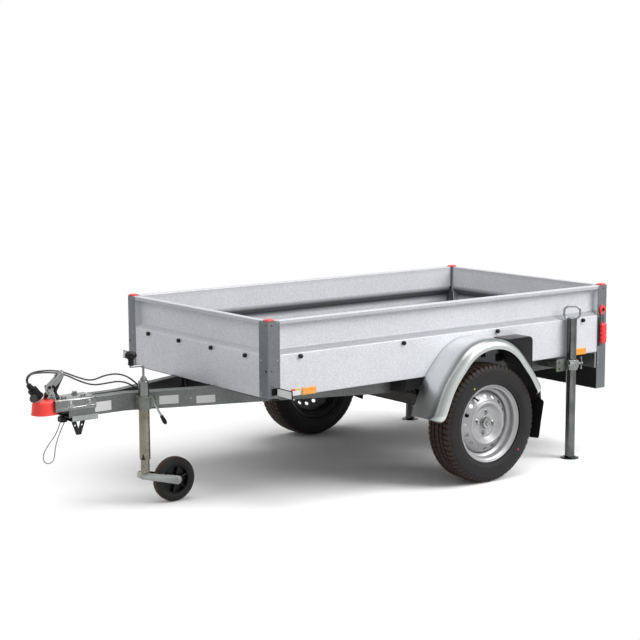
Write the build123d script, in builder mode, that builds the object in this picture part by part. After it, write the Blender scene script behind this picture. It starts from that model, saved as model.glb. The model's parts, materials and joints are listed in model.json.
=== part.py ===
"""Single-axle box trailer with a let-down tailgate, jockey wheel and prop stands.

Millimetres. +Z is up, -Y is forward to the coupling, +X is the trailer's left side.
The origin is on the ground, half way between the coupling's tip and the rearmost lamp.
"""

from build123d import *
import math
import os

os.makedirs("parts", exist_ok=True)

LEFT = 1
RIGHT = -1
SIDES = {"left": LEFT, "right": RIGHT}

# --- load bed: folded galvanised panels round a floor board ---
BOX_WIDTH = 1150.0
BOX_LENGTH = 2080.0
BED_Z = 505.0
PANEL_HEIGHT = 334.0
SHEET = 2.0
PANEL_DEPTH = 35.0
BAND_LOW = 185.0
BAND_HIGH = 205.0
RIM_HEIGHT = 18.0
RIM_LIP = 10.0
BOTTOM_FLANGE = 30.0
FLOOR_THICKNESS = 9.0
FLOOR_GAP = 1.5

# --- corner posts and their caps ---
POST_CORE = 42.0
POST_LEG = 62.0
POST_WALL = 2.0
POST_ROUND = 12.0
REAR_POST_FOOT_Z = 320.0
PANEL_GAP = 0.5
CAP_SIZE = 38.0
CAP_HEIGHT = 7.0
CAP_PLUG = 12.0
CAP_ROUND = 4.0

# --- tailgate ---
GATE_END_GAP = 6.0
GATE_HINGE_IN = 12.0
GATE_HINGE_UP = 13.0
GATE_PIN_RADIUS = 5.0
GATE_PIN_GAP = 0.3
GATE_FLOOR_GAP = 8.0
GATE_END_WALL = 3.0
GATE_PIN_LENGTH = 22.0

# --- chassis: bent drawbar beams that run on as frame rails ---
DRAWBAR_REACH = 814.0
BEAM_HEIGHT = 80.0
BEAM_FLANGE = 45.0
BEAM_WALL = 3.0
BEAM_ROUND = 4.0
HITCH_HALF = 55.0
FRAME_HALF = 450.0
BEAM_SETBACK = 145.0
FRONT_BEND_REACH = 399.0
REAR_BEND_BEHIND = 741.0
BEND_RADIUS = 160.0
CROSS_HEIGHT = 70.0
CROSS_FLANGE = 40.0
CROSS_WALL = 3.0
CROSS_GAP = 0.5
CROSS_BEHIND_FRONT = (30.0, 780.0, 1560.0)
REAR_CROSS_DEPTH = 65.0
REAR_CROSS_UNDER = 11.0
LIGHT_BAR_HEIGHT = 105.0
LIGHT_BAR_DEPTH = 60.0

# --- coupling ---
BALL_RADIUS = 25.0
SOCKET_GAP = 0.2
SOCKET_DEPTH = 20.0
SOCKET_BEHIND_TIP = 49.0
HEAD_RADIUS = 41.0
HEAD_BOTTOM_Z = 449.0
HEAD_TOP_Z = 498.0
HEAD_LENGTH = 112.0
COVER_WALL = 5.5
COVER_GAP = 0.5
COVER_SKIRT = 2.0
COVER_LENGTH = 110.0
COVER_ROUND = 9.0
SHELL_WALL = 3.5
SHELL_GAP = 0.3
SHELL_TOP_WALL = 5.0
SHELL_SKIRT = 46.0
SHELL_START = 80.0
SHELL_LENGTH = 195.0
LEVER_WIDTH = 32.0
LEVER_DEPTH = 26.0
LEVER_WALL = 3.0
LEVER_LINE = ((77.0, 516.0), (63.0, 559.0), (144.0, 629.0))
CLIP_WIDTH = 22.0
CLIP_LENGTH = 14.0
CLIP_WALL = 4.0
CLIP_AHEAD = 10.0
CLIP_DOWN = 24.5
GUIDE_START = 158.0
GUIDE_LENGTH = 125.0
GUIDE_HEIGHT = 17.0
ROPE_BLOCK_START = 126.0
ROPE_BLOCK_LENGTH = 30.0
ROPE_BLOCK_WIDTH = 40.0
ROPE_BLOCK_HEIGHT = 21.0
ROPE_BLOCK_ROUND = 6.0
VEE_START = 178.0
VEE_LENGTH = 46.0
VEE_DROP = 64.0
VEE_BAR = 22.0
VEE_THICKNESS = 6.0
VEE_X = 30.0
VEE_HOLE_RADIUS = 4.5
VEE_HOLE_DROP = 22.0
VEE_HOLE_IN = 6.5

# --- wheels: 13 inch steel rims ---
AXLE_BEHIND_FRONT = 1148.0
TYRE_RADIUS = 277.0
TYRE_WIDTH = 152.0
TREAD_WIDTH = 118.0
TYRE_WALL = 12.0
TYRE_TOE_IN = 24.0
TYRE_SEAT_IN = 12.0
TYRE_HEEL_IN = 5.0
SIDEWALL_LOW_IN = 6.0
SIDEWALL_LOW_UP = 14.0
SIDEWALL_DOWN = 55.0
SHOULDER_IN = 4.0
SHOULDER_DOWN = 26.0
TREAD_DROP = 3.0
TREAD_FLAT_IN = 22.0
CROWN_INSIDE_IN = 12.0
SIDEWALL_INSIDE_DOWN = 40.0
BEAD_INSIDE_UP = 22.0
TOE_INSIDE_IN = 22.0
TOE_INSIDE_UP = 4.0
WHEEL_HALF_TRACK = 666.0
RIM_LIP_RADIUS = 182.5
RIM_WIDTH = 124.0
RIM_LIP_WIDTH = 4.0
BEAD_IN = 10.0
BEAD_TAPER = 2.0
BEAD_RADIUS = 168.0
BEAD_GAP = 1.5
WELL_RADIUS = 150.0
WELL_FRONT_IN = 44.0
WELL_REAR_IN = 36.0
WELL_FRONT_SLOPE = 8.0
WELL_REAR_SLOPE = 12.0
RIM_WALL = 4.0
DISC_FACE_IN = 25.0
DISC_EDGE_IN = 20.0
DISC_SHOULDER = 13.0
DISC_SHOULDER_IN = 3.0
DISC_CROWN_FOOT = 12.0
DISC_CROWN_HALF = 4.0
DISC_CROWN_RADIUS = 100.0
DISC_CROWN_OUT = 9.0
DISC_FLAT_RADIUS = 76.0
DISC_FLAT_IN = 13.0
CENTRE_HOLE_RADIUS = 30.0
VENT_RING_RADIUS = 123.0
VENT_RADIUS = 8.5
VENT_COUNT = 16
HUB_RADIUS = 58.0
HUB_LENGTH = 36.0
HUB_WALL = 8.0
STUB_RADIUS = 20.0
STUB_GAP = 0.3
DUST_CAP_RADIUS = 28.0
DUST_CAP_OUT = 22.0
BOLT_RING_RADIUS = 50.0
BOLT_COUNT = 4
BOLT_TURN = -10.0
BOLT_RADIUS = 6.0
BOLT_HEAD_RADIUS = 10.0
BOLT_HEAD = 12.0
BOLT_GAP = 0.8

# --- torsion axle ---
AXLE_TUBE = 62.0
AXLE_TUBE_WALL = 4.0
AXLE_HALF = 515.0
AXLE_AHEAD = 120.0
AXLE_ABOVE = 78.0
ARM_THICKNESS = 24.0
ARM_GAP = 1.0
ARM_TOP_RADIUS = 42.0
ARM_HUB_RADIUS = 32.0
BRACKET_HALF_TOP = 70.0
BRACKET_HALF_LOW = 46.0
BRACKET_WALL = 6.0

# --- mudguards ---
GUARD_STANDOFF = 3.0
GUARD_WIDTH = 179.5
GUARD_WALL = 2.0
GUARD_ROLL = 36.0
GUARD_LIP = 5.0
GUARD_BEND = 150.0
# Along Y from the wheel's centre and height over the wheel's centre, front to rear.
GUARD_LINE = (
    (-352.0, 58.0),
    (-280.0, 223.0),
    (-120.0, 395.0),
    (120.0, 395.0),
    (265.0, 223.0),
    (330.0, 123.0),
)
LINER_GAP = 2.5
LINER_WALL = 3.0
LINER_INNER_IN = 8.0
LINER_OUTER_IN = 32.0
FLAP_OUTER_IN = 13.5
FLAP_LINE = ((333.0, 62.0), (308.0, -95.0))

# --- wheel chocks, stowed behind each mudguard ---
CHOCK_LENGTH = 175.0
CHOCK_HEIGHT = 180.0
CHOCK_TOE = 15.0
CHOCK_ROUND = 24.0
CHOCK_WIDTH = 94.0
CHOCK_BEHIND_AXLE = 148.0
CHOCK_BOTTOM_Z = 470.0
CHOCK_HOLDER_WALL = 5.0
CHOCK_HOLDER_LENGTH = 96.0
CHOCK_HOLDER_HEIGHT = 72.0
CHOCK_HOLDER_REAR_IN = 8.0
CHOCK_HOLDER_TOP_IN = 4.0

# --- jockey wheel ---
POST_BEHIND_BEND = 63.0
POST_OUT_FROM_BEAM = 38.17
POST_TUBE_RADIUS = 24.0
POST_TUBE_WALL = 3.0
POST_TUBE_LOW_Z = 212.0
POST_TUBE_TOP_Z = 560.0
POST_COLLAR_RADIUS = 15.0
POST_COLLAR_HEIGHT = 16.0
CRANK_ROD_RADIUS = 5.0
CRANK_RISE = 64.0
CRANK_ARM = 62.0
CRANK_BEND = 14.0
CRANK_SUNK = 1.0
KNOB_RADIUS = 23.0
KNOB_HEIGHT = 28.0
KNOB_NECK_RADIUS = 12.0
KNOB_NECK_HEIGHT = 34.0
STEM_RADIUS = 19.5
STEM_LOW_Z = 124.0
STEM_TOP_Z = 300.0
TRAIL = 152.0
JOCKEY_RADIUS = 100.0
JOCKEY_WIDTH = 50.0
JOCKEY_BEAD_IN = 3.0
JOCKEY_SIDE_DOWN = 18.0
JOCKEY_EDGE_IN = 7.0
JOCKEY_EDGE_DOWN = 5.0
JOCKEY_TREAD_IN = 17.0
JOCKEY_RIM_IN = 2.0
JOCKEY_OFFSET = 10.0
JOCKEY_RIM_RADIUS = 66.0
JOCKEY_HUB_RADIUS = 22.0
JOCKEY_PIN_RADIUS = 8.0
JOCKEY_PIN_GAP = 0.3
FORK_WALL = 6.0
FORK_GAP = 5.5
FORK_DEPTH = 40.0
FORK_TOP_Z = 150.0
CLAMP_GAP = 0.3
CLAMP_RADIUS = 34.0
CLAMP_LOW_Z = 436.0
CLAMP_TOP_Z = 492.0
CLAMP_PLATE_WALL = 6.0
CLAMP_PLATE_LENGTH = 105.0
CLAMP_PLATE_AHEAD = 31.5
CLAMP_WEB = 22.0
SCREW_RADIUS = 5.0
SCREW_GRIP_RADIUS = 8.0
SCREW_REACH = 46.0
SCREW_DROP = 65.0
SCREW_SLOPE = 38.0
SCREW_GRIP_FROM = 44.0
SCREW_GRIP_LENGTH = 54.0

# --- rear prop stands ---
STAND_OUT = 32.0
STAND_AHEAD_OF_REAR = 276.0
STAND_RADIUS = 24.0
STAND_WALL = 3.0
STAND_TOP_Z = 700.0
STAND_FOOT_RADIUS = 46.0
STAND_FOOT_HEIGHT = 8.0
LOOP_ROD_RADIUS = 5.0
LOOP_HALF_SPAN = 42.0
LOOP_RISE = 57.0
LOOP_ROUND = 20.0
STAND_CLAMP_RADIUS = 31.5
STAND_CLAMP_LOW_Z = 452.0
STAND_CLAMP_HEIGHT = 48.0
STAND_ARM_WIDTH = 30.0
STAND_ARM_HEIGHT = 34.0

# --- catches, knobs, lamps and reflectors ---
REAR_HARDWARE = 22.0
LAMP_WIDTH = 200.0
LAMP_HEIGHT = 66.0
LAMP_IN = 10.0
LAMP_ROUND = 6.0
FIT_GAP = 0.3
KNOB_Z = 675.0
COVER_KNOB_RADIUS = 10.0
COVER_KNOB_OUT = 14.0
KNOBS_A_SIDE = 4
SIDE_KNOB_END_IN = 169.0
END_KNOB_SIDE_IN = 175.0
END_KNOB_SHIFT = 11.0
HOOK_SIDE_IN = 105.0
HOOK_Z = 730.0
HOOK_RADIUS = 17.0
HOOK_OUT = 15.0
LATCH_EYE_Z = 719.0
LATCH_EYE_RADIUS = 19.0
LATCH_EYE_OUT = 10.0
LATCH_AHEAD_OF_REAR = 32.0
GRIP_LOW_Z = 546.0
GRIP_HEIGHT = 106.0
GRIP_WIDTH = 35.0
GRIP_OUT = 16.0
LATCH_WIRE_RADIUS = 3.0
AMBER_WIDTH = 76.0
AMBER_HEIGHT = 31.0
AMBER_OUT = 6.0
AMBER_LOW_Z = 504.0
AMBER_FRONT_IN = 216.0
AMBER_REAR_IN = 181.0
WHITE_WIDTH = 108.0
WHITE_HEIGHT = 38.0
WHITE_OUT = 6.0
WHITE_LOW_Z = 516.0
WHITE_BEHIND_FRONT = 41.0
WHITE_GAP_FROM_BOX = 14.0
ARM_PLATE_WALL = 3.0
ARM_PLATE_SHARE = 0.8

# --- cords, and what they run through ---
CABLE_RADIUS = 3.5
ROPE_RADIUS = 2.2
GLAND_RADIUS = 7.0
GLAND_LENGTH = 14.0
PLUG_RADIUS = 22.0
PLUG_RING_RADIUS = 25.0
PLUG_RING = 9.0
PLUG_NECK_RADIUS = 13.5
PLUG_NECK = 20.0
PLUG_LENGTH = 64.0
PLUG_OVERLAP = 6.0
LID_RADIUS = 21.0
LID_WALL = 5.0
LID_ALONG = 37.0
LID_OFF_AXIS = 22.0

# --- places worked out from the sizes above ---
TIP_Y = -(DRAWBAR_REACH + BOX_LENGTH + REAR_HARDWARE) / 2
FRONT_Y = TIP_Y + DRAWBAR_REACH
REAR_Y = FRONT_Y + BOX_LENGTH
BOX_HALF = BOX_WIDTH / 2
TOP_Z = BED_Z + PANEL_HEIGHT
BEAM_BOTTOM_Z = BED_Z - BEAM_HEIGHT
AXLE_Y = FRONT_Y + AXLE_BEHIND_FRONT
AXLE_TUBE_Y = AXLE_Y - AXLE_AHEAD
AXLE_TUBE_Z = TYRE_RADIUS + AXLE_ABOVE


def shifted(line, distance):
    """The line moved to its own left by distance, mitred at its corners."""
    count = len(line)
    normals = []
    for (ax, ay), (bx, by) in zip(line, line[1:]):
        length = math.hypot(bx - ax, by - ay)
        normals.append((-(by - ay) / length, (bx - ax) / length))
    other = []
    for i, (px, py) in enumerate(line):
        first = normals[max(i - 1, 0)]
        last = normals[min(i, count - 2)]
        share = distance / (1 + first[0] * last[0] + first[1] * last[1])
        other.append((px + share * (first[0] + last[0]), py + share * (first[1] + last[1])))
    return other


def folded(line, wall):
    """Closed outline of a bent sheet: the line, and the same line moved to its left by wall."""
    return list(line) + shifted(line, wall)[::-1]


# Panel section as (inward from the outer plane, height over the bed), on its outer skin.
panel_skin = [
    (BOTTOM_FLANGE, 0),
    (0, 0),
    (0, BAND_LOW),
    (PANEL_DEPTH - SHEET, BAND_HIGH),
    (PANEL_DEPTH - SHEET, PANEL_HEIGHT - SHEET),
    (SHEET, PANEL_HEIGHT - SHEET),
    (SHEET, PANEL_HEIGHT - RIM_HEIGHT + SHEET),
    (RIM_LIP, PANEL_HEIGHT - RIM_HEIGHT + SHEET),
]
panel_section = folded(panel_skin, -SHEET)

# ---------------------------------------------------------------- load bed
side_start_y = FRONT_Y + POST_CORE + PANEL_GAP
side_end_y = REAR_Y - POST_CORE - PANEL_GAP
end_half = BOX_HALF - POST_CORE - PANEL_GAP
gate_half = BOX_HALF - POST_CORE - GATE_END_GAP

for name, side in SIDES.items():
    with BuildPart() as panel_side:
        with BuildSketch(Plane.XZ.offset(-side_end_y)):
            with BuildLine():
                Polyline(*[(side * (BOX_HALF - u), BED_Z + h) for u, h in panel_section], close=True)
            make_face()
        extrude(amount=side_end_y - side_start_y)
    panel_side.part.label = f"panel_{name}"
    export_step(panel_side.part, f"parts/panel_{name}.step")

with BuildPart() as panel_front:
    with BuildSketch(Plane.YZ.offset(-end_half)):
        with BuildLine():
            Polyline(*[(FRONT_Y + u, BED_Z + h) for u, h in panel_section], close=True)
        make_face()
    extrude(amount=2 * end_half)
panel_front.part.label = "panel_front"
export_step(panel_front.part, "parts/panel_front.step")

floor_z = BED_Z + SHEET
floor_half = BOX_HALF - SHEET - FLOOR_GAP
floor_front_y = FRONT_Y + SHEET + FLOOR_GAP
floor_rear_y = REAR_Y - max(POST_CORE, PANEL_DEPTH) - GATE_FLOOR_GAP
core_keep = POST_CORE + FLOOR_GAP
with BuildPart() as floor_board:
    with BuildSketch(Plane.XY.offset(floor_z)):
        with Locations((0, (floor_front_y + floor_rear_y) / 2)):
            Rectangle(2 * floor_half, floor_rear_y - floor_front_y)
        for side in SIDES.values():
            with Locations((side * (BOX_HALF - core_keep / 2), FRONT_Y + core_keep / 2)):
                Rectangle(core_keep, core_keep, mode=Mode.SUBTRACT)
    extrude(amount=FLOOR_THICKNESS)
floor_board.part.label = "floor_board"
export_step(floor_board.part, "parts/floor_board.step")

# The gate hinges on two pins that stand in the rear posts' inner walls.
hinge_y = REAR_Y - GATE_HINGE_IN
hinge_z = BED_Z + GATE_HINGE_UP
gate_end_outline = [
    (0, 0),
    (BOTTOM_FLANGE, 0),
    (PANEL_DEPTH, BAND_HIGH),
    (PANEL_DEPTH - SHEET, BAND_HIGH),
    (0, BAND_LOW),
]
with BuildPart() as tailgate:
    with BuildSketch(Plane.YZ.offset(-gate_half)):
        with BuildLine():
            Polyline(*[(REAR_Y - u, BED_Z + h) for u, h in panel_section], close=True)
        make_face()
    extrude(amount=2 * gate_half)
    for side in SIDES.values():
        with BuildSketch(Plane.YZ.offset(side * gate_half)):
            with BuildLine():
                Polyline(*[(REAR_Y - u, BED_Z + h) for u, h in gate_end_outline], close=True)
            make_face()
        extrude(amount=-side * GATE_END_WALL)
        with BuildSketch(Plane.YZ.offset(side * gate_half)):
            with Locations((hinge_y, hinge_z)):
                Circle(GATE_PIN_RADIUS)
        extrude(amount=side * (GATE_PIN_LENGTH - GATE_END_WALL))
tailgate.part.label = "tailgate"
export_step(tailgate.part, "parts/tailgate.step")

# ---------------------------------------------------------------- corner posts
# Each end: its plane, the way into the bed (along), the posts' foot and the leg across the end.
ENDS = {
    "front": (FRONT_Y, 1, BED_Z, POST_LEG),
    "rear": (REAR_Y, -1, REAR_POST_FOOT_Z, POST_CORE),
}
return_outline = [
    (0, BAND_LOW),
    (PANEL_DEPTH - SHEET, BAND_HIGH),
    (PANEL_DEPTH - SHEET, PANEL_HEIGHT - RIM_HEIGHT),
    (0, PANEL_HEIGHT - RIM_HEIGHT),
]
for name, (end_y, along, foot_z, end_leg) in ENDS.items():
    with BuildPart() as posts:
        for side in SIDES.values():
            # leg along the side
            with BuildSketch(Plane.YZ.offset(side * BOX_HALF)) as leg:
                with Locations((end_y + along * (POST_LEG - POST_WALL) / 2, (foot_z + TOP_Z) / 2)):
                    Rectangle(POST_LEG + POST_WALL, TOP_Z - foot_z)
                fillet(leg.vertices().group_by(Axis.Y)[-1].sort_by(Axis.X)[-1 if along > 0 else 0], POST_ROUND)
            extrude(amount=side * POST_WALL)
            # leg across the end
            with BuildSketch(Plane.XZ.offset(-end_y)) as leg:
                with Locations((side * (BOX_HALF - end_leg / 2), (foot_z + TOP_Z) / 2)):
                    Rectangle(end_leg, TOP_Z - foot_z)
                fillet(leg.vertices().group_by(Axis.Y)[-1].sort_by(Axis.X)[0 if side > 0 else -1], POST_ROUND)
            extrude(amount=along * POST_WALL)
            # inner walls of the core
            with BuildSketch(Plane.XY.offset(BED_Z)):
                with Locations((side * (BOX_HALF - POST_CORE / 2), end_y + along * (POST_CORE - POST_WALL / 2))):
                    Rectangle(POST_CORE, POST_WALL)
                with Locations((side * (BOX_HALF - POST_CORE + POST_WALL / 2), end_y + along * POST_CORE / 2)):
                    Rectangle(POST_WALL, POST_CORE)
            extrude(amount=TOP_Z - BED_Z)
            # return at the open end of each leg, shaped to the panel's recess
            with BuildSketch(Plane.XZ.offset(-(end_y + along * POST_LEG))):
                with BuildLine():
                    Polyline(*[(side * (BOX_HALF - u), BED_Z + h) for u, h in return_outline], close=True)
                make_face()
            extrude(amount=along * POST_WALL)
            if along > 0:
                with BuildSketch(Plane.YZ.offset(side * (BOX_HALF - POST_LEG))):
                    with BuildLine():
                        Polyline(*[(end_y + u, BED_Z + h) for u, h in return_outline], close=True)
                    make_face()
                extrude(amount=side * POST_WALL)
            else:
                with BuildSketch(Plane.YZ.offset(side * (BOX_HALF - POST_CORE - POST_WALL))):
                    with Locations((hinge_y, hinge_z)):
                        Circle(GATE_PIN_RADIUS + GATE_PIN_GAP)
                extrude(amount=side * 3 * POST_WALL, mode=Mode.SUBTRACT)
    posts.part.label = f"{name}_posts"
    export_step(posts.part, f"parts/{name}_posts.step")

cap_plug_side = CAP_SIZE - 2 * POST_WALL - 2 * PANEL_GAP
with BuildPart() as post_caps:
    cap_places = [
        (side * (BOX_HALF - CAP_SIZE / 2), end_y + along * CAP_SIZE / 2)
        for side in SIDES.values()
        for end_y, along, _, _ in ENDS.values()
    ]
    with BuildSketch(Plane.XY.offset(TOP_Z)):
        with Locations(*cap_places):
            RectangleRounded(CAP_SIZE, CAP_SIZE, CAP_ROUND)
    extrude(amount=CAP_HEIGHT)
    with BuildSketch(Plane.XY.offset(TOP_Z)):
        with Locations(*cap_places):
            Rectangle(cap_plug_side, cap_plug_side)
    extrude(amount=-CAP_PLUG)
post_caps.part.label = "post_caps"
export_step(post_caps.part, "parts/post_caps.step")

# ---------------------------------------------------------------- chassis
beam_front_y = TIP_Y + BEAM_SETBACK
bend_front_y = FRONT_Y - FRONT_BEND_REACH
bend_rear_y = FRONT_Y + REAR_BEND_BEHIND
beam_rear_y = REAR_Y - SHEET - REAR_CROSS_DEPTH - CROSS_GAP
beam_turn = math.atan2(FRAME_HALF - HITCH_HALF, bend_rear_y - bend_front_y)


def beam_face_x(y):
    """Outer face of the left beam where it runs out from the drawbar to the frame."""
    share = (y - bend_front_y) / (bend_rear_y - bend_front_y)
    return HITCH_HALF + (FRAME_HALF - HITCH_HALF) * share


def beam_route(side, inset, z):
    """Route of a line that lies inset inward from a beam's outer face."""
    shift = inset * math.tan(beam_turn / 2)
    return [
        (side * (HITCH_HALF - inset), beam_front_y, z),
        (side * (HITCH_HALF - inset), bend_front_y + shift, z),
        (side * (FRAME_HALF - inset), bend_rear_y + shift, z),
        (side * (FRAME_HALF - inset), beam_rear_y, z),
    ]


for name, side in SIDES.items():
    with BuildPart() as beam:
        with BuildLine() as route:
            FilletPolyline(*beam_route(side, 0, BEAM_BOTTOM_Z), radius=BEND_RADIUS)
        with BuildSketch(Plane.XZ.offset(-beam_front_y)) as section:
            with BuildLine():
                Polyline(
                    (side * HITCH_HALF, BEAM_BOTTOM_Z),
                    (side * HITCH_HALF, BED_Z),
                    (side * (HITCH_HALF - BEAM_FLANGE), BED_Z),
                    (side * (HITCH_HALF - BEAM_FLANGE), BED_Z - BEAM_WALL),
                    (side * (HITCH_HALF - BEAM_WALL), BED_Z - BEAM_WALL),
                    (side * (HITCH_HALF - BEAM_WALL), BEAM_BOTTOM_Z + BEAM_WALL),
                    (side * (HITCH_HALF - BEAM_FLANGE), BEAM_BOTTOM_Z + BEAM_WALL),
                    (side * (HITCH_HALF - BEAM_FLANGE), BEAM_BOTTOM_Z),
                    close=True,
                )
            make_face()
            outer = [v for v in section.vertices() if abs(abs(v.X) - HITCH_HALF) < BEAM_WALL / 2]
            fillet(outer, BEAM_ROUND)
        sweep(path=route.wire())
    beam.part.label = f"drawbar_beam_{name}"
    export_step(beam.part, f"parts/drawbar_beam_{name}.step")

# Cross members stop short of the beams, whose outline is cut from them with a small gap.
cross_top_z = BED_Z - CROSS_GAP
cross_half = BOX_HALF - BOTTOM_FLANGE / 2
with BuildPart() as cross_members:
    for behind in CROSS_BEHIND_FRONT:
        web_y = FRONT_Y + behind
        channel = [
            (web_y + CROSS_FLANGE, cross_top_z),
            (web_y, cross_top_z),
            (web_y, cross_top_z - CROSS_HEIGHT),
            (web_y + CROSS_FLANGE, cross_top_z - CROSS_HEIGHT),
        ]
        with BuildSketch(Plane.YZ.offset(-cross_half)):
            with BuildLine():
                Polyline(*folded(channel, CROSS_WALL), close=True)
            make_face()
        extrude(amount=2 * cross_half)
    for side in SIDES.values():
        with BuildLine() as route:
            FilletPolyline(*beam_route(side, 0, BEAM_BOTTOM_Z), radius=BEND_RADIUS)
        with BuildSketch(Plane.XZ.offset(-beam_front_y)):
            with Locations((side * (HITCH_HALF - BEAM_FLANGE / 2), (BED_Z + BEAM_BOTTOM_Z) / 2)):
                Rectangle(BEAM_FLANGE + 2 * CROSS_GAP, BEAM_HEIGHT + 2 * CROSS_GAP)
        sweep(path=route.wire(), mode=Mode.SUBTRACT)
cross_members.part.label = "cross_members"
export_step(cross_members.part, "parts/cross_members.step")

rear_cross_top_z = BED_Z - REAR_CROSS_UNDER
rear_cross_low_z = rear_cross_top_z - CROSS_HEIGHT
rear_cross_front_y = REAR_Y - SHEET - REAR_CROSS_DEPTH
rear_half = BOX_HALF - SHEET
with BuildPart() as rear_cross_member:
    with BuildSketch(Plane.YZ.offset(-rear_half)):
        with Locations((rear_cross_front_y + REAR_CROSS_DEPTH / 2, rear_cross_low_z + CROSS_HEIGHT / 2)):
            Rectangle(REAR_CROSS_DEPTH, CROSS_HEIGHT)
            Rectangle(REAR_CROSS_DEPTH - 2 * CROSS_WALL, CROSS_HEIGHT - 2 * CROSS_WALL, mode=Mode.SUBTRACT)
    extrude(amount=2 * rear_half)
rear_cross_member.part.label = "rear_cross_member"
export_step(rear_cross_member.part, "parts/rear_cross_member.step")

bar_front_y = REAR_Y - SHEET - LIGHT_BAR_DEPTH
bar_line = [
    (REAR_Y - SHEET, rear_cross_low_z - CROSS_GAP),
    (bar_front_y, rear_cross_low_z - CROSS_GAP),
    (bar_front_y, rear_cross_low_z - CROSS_GAP - LIGHT_BAR_HEIGHT),
    (REAR_Y - SHEET, rear_cross_low_z - CROSS_GAP - LIGHT_BAR_HEIGHT),
]
with BuildPart() as light_bar:
    with BuildSketch(Plane.YZ.offset(-rear_half)):
        with BuildLine():
            Polyline(*folded(bar_line, SHEET), close=True)
        make_face()
    extrude(amount=2 * rear_half)
light_bar.part.label = "light_bar"
export_step(light_bar.part, "parts/light_bar.step")

# ---------------------------------------------------------------- coupling
socket_y = TIP_Y + SOCKET_BEHIND_TIP
socket_radius = BALL_RADIUS + SOCKET_GAP
neck_half = HITCH_HALF - SHELL_GAP
shell_top_z = BED_Z + SHELL_TOP_WALL
head_rear_y = TIP_Y + HEAD_LENGTH
with BuildPart() as coupling_head:
    with BuildSketch(Plane.XY.offset(HEAD_BOTTOM_Z)):
        with Locations((0, socket_y)):
            Circle(HEAD_RADIUS)
        with Locations((0, (socket_y + head_rear_y) / 2)):
            Rectangle(2 * HEAD_RADIUS, head_rear_y - socket_y)
    extrude(amount=HEAD_TOP_Z - HEAD_BOTTOM_Z)
    with BuildSketch(Plane.XY.offset(HEAD_BOTTOM_Z)):
        with Locations((0, (head_rear_y + beam_front_y - CROSS_GAP) / 2)):
            Rectangle(2 * neck_half, beam_front_y - CROSS_GAP - head_rear_y)
    extrude(amount=BED_Z - SHELL_GAP - HEAD_BOTTOM_Z)
    with BuildSketch(Plane.XY.offset(HEAD_BOTTOM_Z)):
        with Locations((0, socket_y)):
            Circle(socket_radius)
    extrude(amount=SOCKET_DEPTH, mode=Mode.SUBTRACT)
    with Locations((0, socket_y, HEAD_BOTTOM_Z + SOCKET_DEPTH)):
        Sphere(socket_radius, mode=Mode.SUBTRACT)
coupling_head.part.label = "coupling_head"
export_step(coupling_head.part, "parts/coupling_head.step")

cover_bottom_z = HEAD_BOTTOM_Z - COVER_SKIRT
cover_top_z = HEAD_TOP_Z + COVER_GAP + COVER_WALL
cover_rear_y = TIP_Y + COVER_LENGTH
with BuildPart() as coupling_cover:
    with BuildSketch(Plane.XY.offset(cover_bottom_z)):
        with Locations((0, socket_y)):
            Circle(SOCKET_BEHIND_TIP)
        with Locations((0, (socket_y + cover_rear_y) / 2)):
            Rectangle(2 * SOCKET_BEHIND_TIP, cover_rear_y - socket_y)
    extrude(amount=cover_top_z - cover_bottom_z)
    fillet(coupling_cover.faces().sort_by(Axis.Z)[-1].edges(), COVER_ROUND)
    with BuildSketch(Plane.XY.offset(cover_bottom_z)):
        with Locations((0, socket_y)):
            Circle(HEAD_RADIUS + COVER_GAP)
        with Locations((0, (socket_y + cover_rear_y) / 2)):
            Rectangle(2 * (HEAD_RADIUS + COVER_GAP), cover_rear_y - socket_y)
    extrude(amount=HEAD_TOP_Z + COVER_GAP - cover_bottom_z, mode=Mode.SUBTRACT)
coupling_cover.part.label = "coupling_cover"
export_step(coupling_cover.part, "parts/coupling_cover.step")

shell_start_y = TIP_Y + SHELL_START
shell_half = HITCH_HALF + SHELL_GAP + SHELL_WALL
with BuildPart() as coupling_shell:
    with BuildSketch(Plane.XZ.offset(-shell_start_y)) as section:
        with Locations((0, shell_top_z - (SHELL_SKIRT + SHELL_TOP_WALL) / 2)):
            Rectangle(2 * shell_half, SHELL_SKIRT + SHELL_TOP_WALL)
        fillet(section.vertices().group_by(Axis.Y)[-1], SHELL_TOP_WALL)
        with Locations((0, BED_Z + SHELL_GAP - (SHELL_SKIRT + SHELL_GAP) / 2)):
            Rectangle(2 * (HITCH_HALF + SHELL_GAP), SHELL_SKIRT + SHELL_GAP, mode=Mode.SUBTRACT)
    extrude(amount=-SHELL_LENGTH)
coupling_shell.part.label = "coupling_shell"
export_step(coupling_shell.part, "parts/coupling_shell.step")

lever_line = [(TIP_Y + behind, z) for behind, z in LEVER_LINE]
lever_top_y, lever_top_z = lever_line[-1]
with BuildPart() as coupling_lever:
    with BuildSketch(Plane.YZ.offset(-LEVER_WIDTH / 2)):
        with BuildLine():
            Polyline(*folded(lever_line, -LEVER_WALL), close=True)
        make_face()
    extrude(amount=LEVER_WIDTH)
    for side in SIDES.values():
        with BuildSketch(Plane.YZ.offset(side * LEVER_WIDTH / 2)):
            with BuildLine():
                Polyline(*folded(lever_line, -LEVER_DEPTH), close=True)
            make_face()
        extrude(amount=-side * LEVER_WALL)
coupling_lever.part.label = "coupling_lever"
export_step(coupling_lever.part, "parts/coupling_lever.step")

# Shelf on the lever's right side that the cables lie on.
with BuildPart() as cable_clip:
    with BuildSketch(Plane.XY.offset(lever_top_z - CLIP_DOWN)):
        with Locations((-LEVER_WIDTH / 2 - CLIP_WIDTH / 2, lever_top_y - CLIP_AHEAD)):
            Rectangle(CLIP_WIDTH, CLIP_LENGTH)
    extrude(amount=-CLIP_WALL)
cable_clip.part.label = "cable_clip"
export_step(cable_clip.part, "parts/cable_clip.step")

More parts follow.
